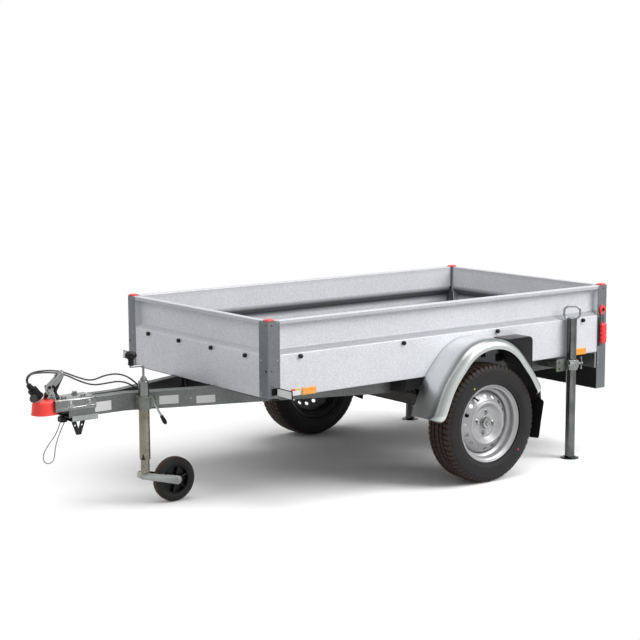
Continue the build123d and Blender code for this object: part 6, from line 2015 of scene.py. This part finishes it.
    def build(self) -> None:
        """Makes the jockey wheel's pieces."""
        put("jockey_crank", self.sleeve() + self.crank(), DARKER_ZINC, Body.JOCKEY_POST)
        put("jockey_tube", self.outer_tube(), JOCKEY_ZINC, Body.JOCKEY_POST, ("jockey_post",))
        put("jockey_knob", self.knob(), BLACK_PLASTIC, Body.JOCKEY_POST, ("crank_knob",))
        # A black plate of painted shade where the notch is.
        put("jockey_notch_shade", self.notch(), BLACK_STEEL, Body.JOCKEY_POST)
        put("jockey_clamp_cast", self.clamp_body(), CHROMATE_ZINC, Body.TRAILER, ("jockey_clamp",))
        put("jockey_screw", self.screw(), BRIGHT_ZINC, Body.TRAILER, ("clamp_lever",))
        put("jockey_screw_grip", self.screw_grip(), BLACK_PLASTIC, Body.TRAILER)
        put("fork_stem", self.stem_tube(), JOCKEY_ZINC, Body.JOCKEY_FORK)
        put("fork_pressed", self.fork(), BRIGHT_ZINC, Body.JOCKEY_FORK, ("jockey_fork",))
        put("jockey_tread", self.tyre(), TYRE_RUBBER, Body.JOCKEY_WHEEL, ("jockey_tyre",))
        put("jockey_centre", self.rim(), BLACK_PLASTIC, Body.JOCKEY_WHEEL, ("jockey_rim",))


# ---- prop stands


@dataclass
class PropStand:
    """One rear prop stand: tube, pressed foot, lifting ring and its clamp."""

    side: Side
    body: Body
    x: float = 607.0
    y: float = 1160.0
    tube: float = 24.0
    top: float = 700.0
    clamp_low: float = 445.0
    clamp_height: float = 48.0
    flange_x: float = 450.3
    ring_half: float = 39.0
    ring_low: float = 694.0
    ring_top: float = 757.0
    ring_across: Point = (0.606, 0.795, 0)

    def leg(self) -> Shape:
        """Tube with its rolled top cap.

        Returns:
            The tube.
        """
        return turned(top_plane(0, self.x, self.y), [
            (20.5, 7), (self.tube, 7.2), (self.tube, self.top - 8), (self.tube + 0.6, self.top - 7),
            (self.tube + 0.6, self.top - 2), (self.tube - 1.4, self.top), (2, self.top), (2, self.top - 4),
            (20.5, self.top - 5),
        ], 56, ring=True)

    def base(self) -> Shape:
        """Dished foot plate with a rolled rim and the weld round the tube.

        Returns:
            The foot.
        """
        return turned(top_plane(0, self.x, self.y), [
            (0.5, 3.2), (34, 3), (40, 0.6), (44.6, 0.2), (46, 1.8), (45.8, 3.6), (44, 4.6), (39, 5),
            (34, 6.6), (29, 8), (27.2, 10.4), (24.6, 12.6), (0.5, 12.6),
        ], 56)

    def ring(self) -> Shape:
        """The lifting ring's rod, turned about the tube.

        Returns:
            The ring.
        """
        w, low, high = self.ring_half, self.ring_low, self.ring_top
        flat = rounded_line([(-w, low), (-w, high), (w, high), (w, low)], 26, 10, closed=True)
        path = (self.x, self.y, 0) + flat[:, :1] * self.ring_across + flat[:, 1:] * (0, 0, 1)
        return rod(path, 5.8, 18, cyclic=True)

    def clamp(self) -> Shape:
        """Cast clamp round the tube with its ear, and the bolted flange on the frame.

        Returns:
            The clamp.
        """
        low, high = self.clamp_low, self.clamp_low + self.clamp_height
        ring = turned(top_plane(0, self.x, self.y), [
            (24.6, low + 0.6), (30.5, low), (31.5, low + 1.2), (31.5, low + 9), (30, low + 12),
            (30, high - 12), (31.5, high - 9), (31.5, high - 1.2), (30.5, high), (24.6, high - 0.6),
        ], 52, ring=True)
        middle = (low + high) / 2
        flange = slab(side_plane(self.flange_x, self.y, middle), rounded_box(66, 58, 8), 0, 6, 1.2)
        bolts = [hexagon_bolt(side_plane(self.flange_x + 5.7, self.y + a, middle + b), 13, 6)
                 for a in (-24, 24) for b in (-18, 18)]
        ear = slab(rear_plane(self.y + 29, self.x, middle), rounded_box(30, 38, 7), 0, 9, 1.6)
        return joined([ring, flange, ear, *bolts])

    def clamp_arm(self) -> Shape:
        """Box-section arm from the frame to the clamp, with the clamp's bolted plate on its front.

        Returns:
            The arm and its plate.
        """
        middle = self.clamp_low + self.clamp_height / 2
        arm = slab(side_plane(self.flange_x, self.y - 27, middle - 3), rounded_box(84, 34, 5), 0, 142, 2, 2)
        plate = slab(side_plane(592, self.y - 57, middle), rounded_box(68, 60, 6), 0, 4, 1)
        bolts = [hexagon_bolt(side_plane(595.8, self.y - 68, middle + b), 11, 5) for b in (-17, 15)]
        return joined([arm, plate, *bolts])

    def screw(self) -> Shape:
        """T-screw that locks the tube.

        Returns:
            The screw.
        """
        z = self.clamp_low + self.clamp_height / 2
        shank = turned(rear_plane(self.y + 36, self.x, z),
                       [(5, 0), (5, 30), (7.5, 30.5), (7.5, 38), (5.5, 39.5)], 24)
        bar = turned(aimed_plane((self.x, self.y + 70, z - 30), (0, 0, 1), (1, 0, 0)), [
            (3.2, 0), (4.6, 1.2), (4.6, 6.5), (3.4, 8), (3.4, 52), (4.6, 53.5), (4.6, 58.8), (3.2, 60),
        ], 20)
        return shank + bar

    def build(self) -> None:
        """Makes the stand's pieces; the clamps of both sides are made with the left one."""
        end = self.side.name.lower()
        put(f"stand_tube_{end}", self.side.take(self.leg()), STAND_ZINC, self.body, (f"stand_{end}",))
        put(f"stand_foot_{end}", self.side.take(self.base()), BLACK_ZINC, self.body)
        put(f"stand_loop_{end}", self.side.take(self.ring()), BRIGHT_ZINC, self.body, (f"stand_ring_{end}",))
        if self.side is Side.LEFT:
            put("stand_clamps_cast", self.clamp().both_sides(), BRIGHT_ZINC, Body.TRAILER, ("stand_clamps",))
            put("stand_arms", self.clamp_arm().both_sides(), CHROMATE_ZINC, Body.TRAILER)
            put("stand_screws", self.screw().both_sides(), BRIGHT_ZINC, Body.TRAILER)


# ---- rear end, lamps and reflectors


@dataclass
class RearEnd:
    """Tailgate latches, gate hooks, lamps, reflectors and their arms."""

    latch_x: float = 577.3
    latch_y: float = 1404.0
    eye_z: float = 719.0
    grip_low: float = 546.0
    grip_height: float = 106.0
    lamp_x: float = 465.0
    lamp_z: float = 459.0
    lamp_width: float = 200.0
    lamp_height: float = 66.0
    amber_y: Pair = (-428, 1255)
    amber_x: float = 575.3
    amber_z: float = 519.5
    prism_x: float = 579.7
    hook_at: Point = (1403.4, 470, 730)
    pad_at: Point = (577, 1383, 607)
    lamp_pad_y: float = 1434.4
    lamp_body_y: float = 1438.4
    lens_y: float = 1448.4
    frame_y: float = -603.6
    ribs_y: float = -608.2
    white_x: float = 643.0
    white_z: float = 535.0

    def eye(self) -> Shape:
        """The latch's hook-shaped eye plate, rounded all round, with its raised boss.

        Returns:
            The left side's plate.
        """
        turn = np.radians(np.linspace(-60, 220, 29))
        head = np.column_stack([self.latch_y + 21.5 * np.cos(turn), self.eye_z + 21.5 * np.sin(turn)])
        tail = np.array([(self.latch_y - 19, self.eye_z - 20), (self.latch_y - 6, self.eye_z - 30)])
        plate = slab(side_plane(self.latch_x), np.vstack([head, tail]), 0, 7.5, 2.2, 3)
        boss = turned(side_plane(self.latch_x, self.latch_y, self.eye_z),
                      [(12, 6), (12, 8.4), (10.4, 10), (6, 10)], 32)
        return plate + boss

    def grip(self) -> Shape:
        """The red grip, with four finger notches down both edges.

        Returns:
            The left side's grip.
        """
        z = np.linspace(self.grip_low, self.grip_low + self.grip_height, 61)
        t = (z - self.grip_low) / self.grip_height
        end = np.sqrt(np.clip(1 - (2 * t - 1) ** 12, 0.02, 1))
        notch = 4.0 * (0.5 - 0.5 * np.cos(2 * np.pi * np.clip((t - 0.1) / 0.8, 0, 1) * 4))
        outline = rounded_box(1, 1, 0.3, 5)
        wide = (39 * end - 1.5 * notch)[:, None]
        deep = (22 * end)[:, None]
        y = self.latch_y + outline[None, :, 0] * wide
        x = self.latch_x + 0.2 + (outline[None, :, 1] + 0.5) * deep
        return loft(np.stack([x, y, z[:, None] + 0 * y], axis=-1))

    def wires(self) -> Shape:
        """The latch's two drawn wires, bowed from the grip up to the eye.

        Returns:
            The left side's wires.
        """
        shapes = []
        for offset in (-8.75, 8.75):
            corners = [
                (self.latch_x + 8, self.latch_y + offset, self.grip_low + self.grip_height - 10),
                (self.latch_x + 5, self.latch_y + offset, self.grip_low + self.grip_height + 12),
                (self.latch_x + 5, self.latch_y + offset * 0.9, self.eye_z - 24),
                (self.latch_x + 8, self.latch_y + offset * 0.5, self.eye_z - 8),
            ]
            shapes.append(rod(rounded_line(corners, 12, 6), 3, 16))
        return joined(shapes)

    def hook(self) -> Shape:
        """A gate hook: a cup with a flared rim.

        Returns:
            The left side's hook.
        """
        return turned(rear_plane(*self.hook_at), [
            (16.5, 0), (17, 1), (15, 4), (14, 10), (14, 36), (16.2, 42), (17, 45.5),
            (16, 47.6), (9, 47.8), (8, 44), (0.6, 43.6),
        ], 40)

    def lamp_body(self) -> Shape:
        """The lamps' black housings with their mounting pads.

        Returns:
            The left side's housing.
        """
        outline = rounded_box(self.lamp_width, self.lamp_height, 7, 5)
        body = slab(rear_plane(self.lamp_body_y, self.lamp_x, self.lamp_z), outline, 0, 10.5, 1.2)
        pad_plane = rear_plane(self.lamp_pad_y, self.lamp_x - 7, self.lamp_z)
        pad = slab(pad_plane, rounded_box(146, 52, 3), 0, 5, 0.5, 1)
        return body + pad

    def lamp_lens(self, start: float, end: float) -> Shape:
        """One fluted lens of the lamp, from start to end across it.

        Args:
            start: Its first edge, from the lamp's middle.
            end: Its other edge.

        Returns:
            The left side's lens.
        """
        a = np.linspace(0, 1, int((end - start) / 1.6) + 1)
        b = np.linspace(0, 1, 25)
        crown = np.clip(np.minimum(a, 1 - a) * (end - start) / 5, 0, 1)[None, :]
        crown = crown * np.clip(np.minimum(b, 1 - b) * 60 / 5, 0, 1)[:, None]
        flutes = 0.45 * np.abs(np.sin(a * (end - start) / 6.4 * np.pi))[None, :]
        rise = 8.6 * np.sqrt(np.clip(crown * (2 - crown), 0, 1)) * 0.9 + flutes * crown
        plane = rear_plane(self.lens_y, self.lamp_x + (start + end) / 2, self.lamp_z)
        return relief_block(plane, end - start, 60, rise, -0.8)

    def amber(self) -> Shape:
        """An amber side reflector: a frame and a field of prisms.

        Returns:
            The left side's reflectors.
        """
        shapes = []
        for y in self.amber_y:
            plane = side_plane(self.amber_x, y, self.amber_z)
            shapes.append(slab(plane, rounded_box(76, 31, 2.5, 4), 0, 4.6, 0.9))
            a = np.linspace(0, 1, 85)
            b = np.linspace(0, 1, 33)
            cells = np.maximum(np.abs((a * 14 % 1) * 2 - 1)[None, :], np.abs((b * 5 % 1) * 2 - 1)[:, None])
            shapes.append(relief_block(side_plane(self.prism_x, y, self.amber_z), 70, 25,
                                       1.25 - 0.9 * cells**3, -0.6))
        return joined(shapes)

    def white_frame(self) -> Shape:
        """The front reflector's dark frame."""
        plane = front_plane(self.frame_y, self.white_x, self.white_z)
        return slab(plane, rounded_box(108, 38, 3, 4), 0, 4.6, 0.9)

    def white(self) -> Shape:
        """The front reflector's field of ribs.

        Returns:
            The left side's field.
        """
        a = np.linspace(0, 1, 109)
        b = np.linspace(0, 1, 29)
        ribs = np.abs((a * 18 % 1) * 2 - 1)[None, :] ** 2 + 0.3 * np.abs((b * 7 % 1) * 2 - 1)[:, None] ** 2
        field_plane = front_plane(self.ribs_y, self.white_x, self.white_z)
        return relief_block(field_plane, 101, 31, 1.2 - 0.8 * ribs, -0.6)

    def arm(self) -> Shape:
        """The reflector's black arm: a bent strip from the post to behind the reflector.

        Returns:
            The left side's arm and its bolt.
        """
        line = rounded_line([(577.4, -626), (577.4, -603.2), (670, -603.2)], (1, 5, 1), 5)
        outline = folded_sheet(line, -3)
        rings = [at_height(outline, self.white_z + d) for d in (-15, 15)]
        bolts = hexagon_bolt(side_plane(580.2, -616, self.white_z), 11, 4)
        return loft(np.array(rings)) + bolts

    def build(self) -> None:
        """Makes both sides' pieces."""
        trailer = Body.TRAILER
        put("latch_grips", (self.eye() + self.grip()).both_sides(), RED_PLASTIC, trailer, ("latch_handles",))
        bolt = hexagon_bolt(side_plane(self.latch_x + 9.6, self.latch_y, self.eye_z), 10, 4)
        put("latch_bolts", bolt.both_sides(), BLACK_ZINC, trailer)
        put("latch_levers", self.wires().both_sides(), BRIGHT_ZINC, trailer, ("latch_wires",))
        pad = slab(side_plane(*self.pad_at), rounded_box(11, 146, 4), 0, 5, 1.2)
        put("latch_pads", pad.both_sides(), BLACK_RUBBER, trailer)
        put("hooks_turned", self.hook().both_sides(), BRIGHT_ZINC, Body.TAILGATE, ("gate_hooks",))
        put("lamp_housings", self.lamp_body().both_sides(), BLACK_PLASTIC, trailer, ("rear_lamps",))
        put("lamp_red", self.lamp_lens(32, 96).both_sides(), RED_LENS, trailer)
        put("lamp_amber", self.lamp_lens(-30, 30).both_sides(), AMBER_LENS, trailer)
        put("lamp_clear", self.lamp_lens(-96, -32).both_sides(), WHITE_LENS, trailer)
        put("reflectors_side", self.amber().both_sides(), AMBER_LENS, trailer, ("side_reflectors",))
        put("reflector_frames", self.white_frame().both_sides(), BLACK_PLASTIC, trailer)
        put("reflectors_front", self.white().both_sides(), WHITE_LENS, trailer, ("front_reflectors",))
        put("reflector_strips", self.arm().both_sides(), BLACK_PLASTIC, trailer, ("reflector_arms",))


# ---- chassis trim


@dataclass
class ChassisTrim:
    """Blank labels, the folded cross members and their strap, edge strips, rivets and bolts."""

    beam_near_x: float = 55.0
    beam_spread: float = 395.0
    bend_y: float = -1043.0
    spread_to_y: float = 97.0
    lean: float = 0.3465
    frame_x: float = 450.0
    square_from_x: float = 500.0
    member_top: float = 504.5
    member_depth: float = 40.0
    member_wall: float = 3.0
    edge_x: float = 573.0
    # Labels on the beam: place, height, width, height of the label.
    beam_labels: tuple[tuple[float, float, float, float], ...] = (
        (-1148, 459, 80, 42), (-858, 462, 92, 38), (-698, 454, 86, 34),
    )
    # Cross members: place of the web, both its ends, height of the lower flange.
    outer_members: tuple[tuple[float, float, float, float], ...] = (
        (-614, 204.4, 562, 492), (136, 450.6, 562, 434.5), (916, 450.6, 562, 434.5),
    )
    inner_members: tuple[tuple[float, float, float, float], ...] = (
        (-614, -155.4, 155.4, 452), (136, -404.4, 404.4, 434.5), (916, -404.4, 404.4, 434.5),
    )

    def beam_plane(self, y: float, z: float) -> Workplane:
        """Plane on the left beam's outer face.

        The face is straight up to its bend, and then x grows evenly by beam_spread to the frame.

        Args:
            y: Place along the trailer.
            z: Height.

        Returns:
            The plane, whose across axis runs rearward along the beam.
        """
        turn = math.atan2(self.beam_spread, self.spread_to_y - self.bend_y)
        x = self.beam_near_x + self.beam_spread * max(y - self.bend_y, 0) / (self.spread_to_y - self.bend_y)
        if y < self.bend_y:
            return side_plane(self.beam_near_x, y, z)
        return Workplane((x, y, z), (math.sin(turn), math.cos(turn), 0), (0, 0, 1),
                         (math.cos(turn), -math.sin(turn), 0))

    def labels(self) -> None:
        """Blank labels on the beam and the side panel."""
        white = [slab(self.beam_plane(y, z), rounded_box(width, height, 2), 0, 0.5, 0.1, 1)
                 for y, z, width, height in self.beam_labels]
        put("beam_labels", joined(white), LABEL, Body.TRAILER)
        put("beam_rivets", rivet(self.beam_plane(-762, 463), 4, 1.4).both_sides(), BRIGHT_ZINC, Body.TRAILER)
        plate = slab(side_plane(BOX_HALF, -500, 521), rounded_box(52, 31, 2), 0, 0.4, 0.1, 1)
        put("side_label", plate, LABEL, Body.TRAILER)
        for name, finish, y in (("red", LABEL_RED, -513), ("yellow", LABEL_YELLOW, -487)):
            strip = slab(side_plane(BOX_HALF, y, 531), rounded_box(25, 8, 1), 0.3, 0.6, 0.1, 1)
            put(f"side_label_{name}", strip, finish, Body.TRAILER)

    def member_ends(self) -> None:
        """Bright edge strips and rivets on the ends of the rear cross member."""
        strip = slab(side_plane(self.edge_x, 1363.5, 465), rounded_box(9, 78, 1), 0, 3.2, 0.5, 1)
        put("member_edges", strip.both_sides(), BRIGHT_ZINC, Body.TRAILER)
        places = [(1388, 480), (1388, 446), (1420, 480), (1420, 446)]
        rivets = [rivet(side_plane(self.edge_x, y, z), 4.5, 1.8) for y, z in places]
        put("member_rivets", joined(rivets).both_sides(), BRIGHT_ZINC, Body.TRAILER)

    def member(self, web_y: float, start: float, end: float, low: float) -> Shape:
        """A folded channel across the frame, its ends cut along the left beam's face.

        Args:
            web_y: Place of its upright web; the flanges run back from it.
            start: Place across the frame of the web's first end.
            end: Place of its other end.
            low: Height of its lower flange.

        Returns:
            The channel.
        """
        lean = self.lean if web_y < self.spread_to_y else 0.0
        back_y, top = web_y + self.member_depth, self.member_top
        corners = [(back_y, top), (web_y, top), (web_y, low), (back_y, low)]
        outline = folded_sheet(rounded_line(corners, (1, 4, 4, 1), 4), self.member_wall)
        rings = []
        for x in (start, end):
            cut = np.sign(x) * lean * (outline[:, 0] - web_y) * (abs(x) < self.square_from_x)
            rings.append(np.column_stack([x + cut, outline]))
        return loft(np.array(rings))

    def members(self) -> None:
        """Three cross members between and outside the beams; the front one is shallow outside."""
        shapes = []
        for outer, inner in zip(self.outer_members, self.inner_members):
            shapes += [self.member(*outer).both_sides(), self.member(*inner)]
        put("members_folded", joined(shapes), BLACK_STEEL, Body.TRAILER, ("cross_members",))
        strap = slab(front_plane(-614.2, -127, 474), rounded_box(13, 50, 2), 0, 3, 0.6, 1)
        put("member_strap", strap, BRIGHT_ZINC, Body.TRAILER)

    def bolts(self) -> None:
        """Chassis bolts through the beams where the cross members and the axle are fixed."""
        shapes = [hexagon_bolt(side_plane(self.frame_x, y, z), 15, 7) for y in (150, 930) for z in (447, 483)]
        shapes += [hexagon_bolt(side_plane(self.frame_x, y, 440), 17, 8) for y in (330, 438)]
        put("frame_bolts", joined(shapes).both_sides(), BRIGHT_ZINC, Body.TRAILER)

    def build(self) -> None:
        """Makes the chassis trim."""
        self.labels()
        self.members()
        self.member_ends()
        self.bolts()


# ---- studio


@dataclass(frozen=True)
class Lamp:
    """A square soft lamp: its place and target and its size in metres, its power in watts."""

    name: str
    place: Point
    target: Point
    size: float
    power: float


@dataclass
class Studio:
    """Camera, soft lamps, white surroundings and a pale floor, in metres and degrees."""

    camera_at: Point = (5.9628, -4.4686, 1.7835)
    azimuth: float = 52.7134
    elevation: float = 8.0838
    roll: float = -0.229
    lens: float = 89.06
    sky_strength: float = 0.45
    floor_size: float = 60.0
    floor_bounce: float = 0.5
    floor_white: float = 0.98
    floor_clear_from: float = 1.5
    floor_clear_to: float = 2.5
    lamps: tuple[Lamp, ...] = (
        Lamp("key", (5.5, 4.3, 5.3), (0.3, 0.2, 0.5), 4.6, 540),
        Lamp("overhead", (0.6, 0.8, 7.5), (0, 0.2, 0.6), 6, 400),
        Lamp("front", (-1.5, -6.5, 6), (0, -0.4, 0.5), 5, 115),
    )

    def camera(self) -> None:
        """Sets the camera at its place, turned by azimuth, elevation and roll."""
        a, e, r = [math.radians(v) for v in (self.azimuth, self.elevation, self.roll)]
        back = np.array([math.sin(a) * math.cos(e), -math.cos(a) * math.cos(e), math.sin(e)])
        level = np.array([math.cos(a), math.sin(a), 0])
        rise = np.cross(back, level)
        right = level * math.cos(r) + rise * math.sin(r)
        top = rise * math.cos(r) - level * math.sin(r)
        data = bpy.data.cameras.new("camera")
        data.lens = self.lens
        data.sensor_width = 36.0
        data.clip_end = 200.0
        eye = bpy.data.objects.new("camera", data)
        turn = Matrix(np.column_stack([right, top, back]).tolist()).to_4x4()
        eye.matrix_world = Matrix.Translation(self.camera_at) @ turn
        bpy.context.scene.collection.objects.link(eye)
        bpy.context.scene.camera = eye

    def sky(self) -> None:
        """White surroundings that rays to the eye and in metal see in full, and the rest dimmer."""
        world = bpy.data.worlds.new("soft_white_studio")
        world.use_nodes = True
        bpy.context.scene.world = world
        tree = world.node_tree
        tree.nodes.clear()
        seen = self.direct_ray(tree)
        strength = add_node(tree, "ShaderNodeMapRange", {
            "Value": seen, "To Min": self.sky_strength, "To Max": 1,
        }).outputs["Result"]
        glow = add_node(tree, "ShaderNodeBackground", {"Color": (1, 1, 1, 1), "Strength": strength})
        add_node(tree, "ShaderNodeOutputWorld", {"Surface": glow.outputs[0]})

    @staticmethod
    def direct_ray(tree: bpy.types.NodeTree) -> bpy.types.NodeSocket:
        """Output that is 1 for rays to the eye, in gloss and through glass.

        Args:
            tree: The tree that gets the nodes.

        Returns:
            The output.
        """
        path = add_node(tree, "ShaderNodeLightPath")
        pair = add_node(tree, "ShaderNodeMath", {
            0: path.outputs["Is Camera Ray"], 1: path.outputs["Is Glossy Ray"],
        }, operation="MAXIMUM")
        return add_node(tree, "ShaderNodeMath", {
            0: pair.outputs[0], 1: path.outputs["Is Transmission Ray"],
        }, operation="MAXIMUM").outputs[0]

    def floor(self) -> None:
        """A pale floor that keeps the shadow near the trailer and turns plain white further out."""
        made = bpy.data.materials.new("white_paper_sweep")
        made.use_nodes = True
        tree = made.node_tree
        tree.nodes.clear()
        place = add_node(tree, "ShaderNodeTexCoord").outputs["Object"]
        away = add_node(tree, "ShaderNodeVectorMath", {0: place}, operation="LENGTH").outputs["Value"]
        clear = add_node(tree, "ShaderNodeMapRange", {
            "Value": away, "From Min": self.floor_clear_from, "From Max": self.floor_clear_to,
        }, interpolation_type="SMOOTHSTEP").outputs["Result"]
        share = add_node(tree, "ShaderNodeMath", {0: clear, 1: self.direct_ray(tree)}, operation="MULTIPLY")
        pale = add_node(tree, "ShaderNodeMapRange", {
            "Value": self.direct_ray(tree), "To Min": self.floor_bounce, "To Max": self.floor_white,
        }).outputs["Result"]
        paper = add_node(tree, "ShaderNodeBsdfDiffuse", {"Color": pale})
        glow = add_node(tree, "ShaderNodeEmission", {"Color": (1, 1, 1, 1), "Strength": 1})
        both = add_node(tree, "ShaderNodeMixShader",
                        {0: share.outputs[0], 1: paper.outputs[0], 2: glow.outputs[0]})
        add_node(tree, "ShaderNodeOutputMaterial", {"Surface": both.outputs[0]})
        h = self.floor_size / 2
        mesh = bpy.data.meshes.new("floor")
        mesh.from_pydata([(-h, -h, 0), (h, -h, 0), (h, h, 0), (-h, h, 0)], [], [(0, 1, 2, 3)])
        mesh.materials.append(made)
        ground = bpy.data.objects.new("floor", mesh)
        bpy.context.scene.collection.objects.link(ground)

    @staticmethod
    def hang(lamp: Lamp) -> None:
        """Hangs a square soft lamp at its place, square to the line to its target.

        Args:
            lamp: The lamp.
        """
        data = bpy.data.lights.new(lamp.name, "AREA")
        data.shape = "SQUARE"
        data.size = lamp.size
        data.energy = lamp.power
        box = bpy.data.objects.new(lamp.name, data)
        back = unit(np.subtract(lamp.place, lamp.target))
        side = unit(np.cross((0, 0, 1), back))
        turn = Matrix(np.column_stack([side, np.cross(back, side), back]).tolist()).to_4x4()
        box.matrix_world = Matrix.Translation(lamp.place) @ turn
        bpy.context.scene.collection.objects.link(box)

    def set_up(self) -> None:
        """Camera, surroundings, floor and lamps."""
        self.camera()
        self.sky()
        self.floor()
        for lamp in self.lamps:
            self.hang(lamp)
        bpy.context.scene.view_settings.view_transform = "Standard"


# ---- cords


@dataclass
class Cord:
    """A cord on its route: points (x, behind the coupling's tip, height)."""

    name: str
    route: list[Point]
    diameter: float
    length: float
    finish: Finish
    far_end: str
    stiffness: str
    lay: str

    def points(self) -> list[Point]:
        """The route's points in metres."""
        return [(x * METRE, (TIP_Y + behind) * METRE, z * METRE) for x, behind, z in self.route]

    def build(self) -> bpy.types.Object:
        """Lays the cord as one smooth spline with the route's points.

        Returns:
            The cord's curve object.
        """
        data = bpy.data.curves.new(self.name + "_line", "CURVE")
        data.dimensions = "3D"
        data.bevel_depth = self.diameter * METRE / 2
        data.bevel_resolution = 5
        data.use_fill_caps = True
        data.resolution_u = 16
        spline = data.splines.new("NURBS")
        points = self.points()
        spline.points.add(len(points) - 1)
        spline.points.foreach_set("co", [c for point in points for c in (*point, 1.0)])
        spline.order_u = 3
        spline.use_endpoint_u = True
        data.materials.append(self.finish.material())
        cord = bpy.data.objects.new(self.name + "_line", data)
        bpy.context.scene.collection.objects.link(cord)
        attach(cord, Body.TRAILER.value)
        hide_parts(self.name)
        return cord

    def declare(self) -> None:
        """Reads the cord's first point and keeps nothing; no facts are stated.
        """
        self.points()[0]


PLUG_CABLE = Cord("plug_cable", [
    (-6, 541, 498), (-7, 497, 546), (-9, 432, 580), (-12, 360, 580), (-16, 295, 560), (-24, 232, 582),
    (-31, 165, 614), (-31, 98, 627), (-20, 38, 630), (-9, 2, 627), (-5, -18.5, 612.5), (-4, -21.5, 589.5),
    (-4, -7, 571),
], 7, 652, BLACK_RUBBER, "plug", "medium", "hanging")
LAMP_CABLE = Cord("lamp_cable", [
    (7, 519, 498), (5, 481, 528), (1, 424, 549), (-3, 360, 545), (-8, 300, 542), (-15, 238, 565),
    (-23, 166, 605), (-23, 98, 619), (-12, 38, 625), (-1, 2, 626), (3, -18.5, 612.5), (4, -21.5, 589.5),
    (4, -7, 571),
], 7, 617, BLACK_RUBBER, "plug", "medium", "hanging")
SAFETY_ROPE = Cord("safety_rope", [
    (-4, 133, 402.3), (-4, 121, 372), (-3.5, 103, 342), (-3, 68, 306), (-1.5, 46, 272), (-0.5, 46, 240),
    (0.5, 72, 226), (1.5, 97, 243), (3, 100, 288), (4, 112, 330), (4, 130, 368), (4, 149, 402.3),
], 4.4, 412, WIRE_ROPE, "object", "medium", "hanging")


def finish_nodes(nodes: dict[str, bpy.types.Object]) -> None:
    """Gives every CAD node that shows its finish.

    Args:
        nodes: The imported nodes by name.
    """
    for name, finish in NODE_FINISHES.items():
        for place in nodes[name].material_slots:
            place.material = finish.material()


def main() -> None:
    """Builds the studio, the cords and each sub-assembly in order."""
    logging.basicConfig(level=logging.INFO, format="%(message)s")
    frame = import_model()
    Studio().set_up()
    cords = {cord.name: cord.build() for cord in (PLUG_CABLE, LAMP_CABLE, SAFETY_ROPE)}
    finish_nodes(frame["nodes"])
    Bed().build()
    Mudguard().build()
    Wheel(Side.LEFT, Body.WHEEL_LEFT).build()
    Wheel(Side.RIGHT, Body.WHEEL_RIGHT).build()
    plug = Coupling().build()
    Jockey().build()
    PropStand(Side.LEFT, Body.STAND_LEFT).build()
    PropStand(Side.RIGHT, Body.STAND_RIGHT).build()
    RearEnd().build()
    ChassisTrim().build()
    PLUG_CABLE.declare()
    LAMP_CABLE.declare()
    SAFETY_ROPE.declare()


if __name__ == "__main__":
    main()
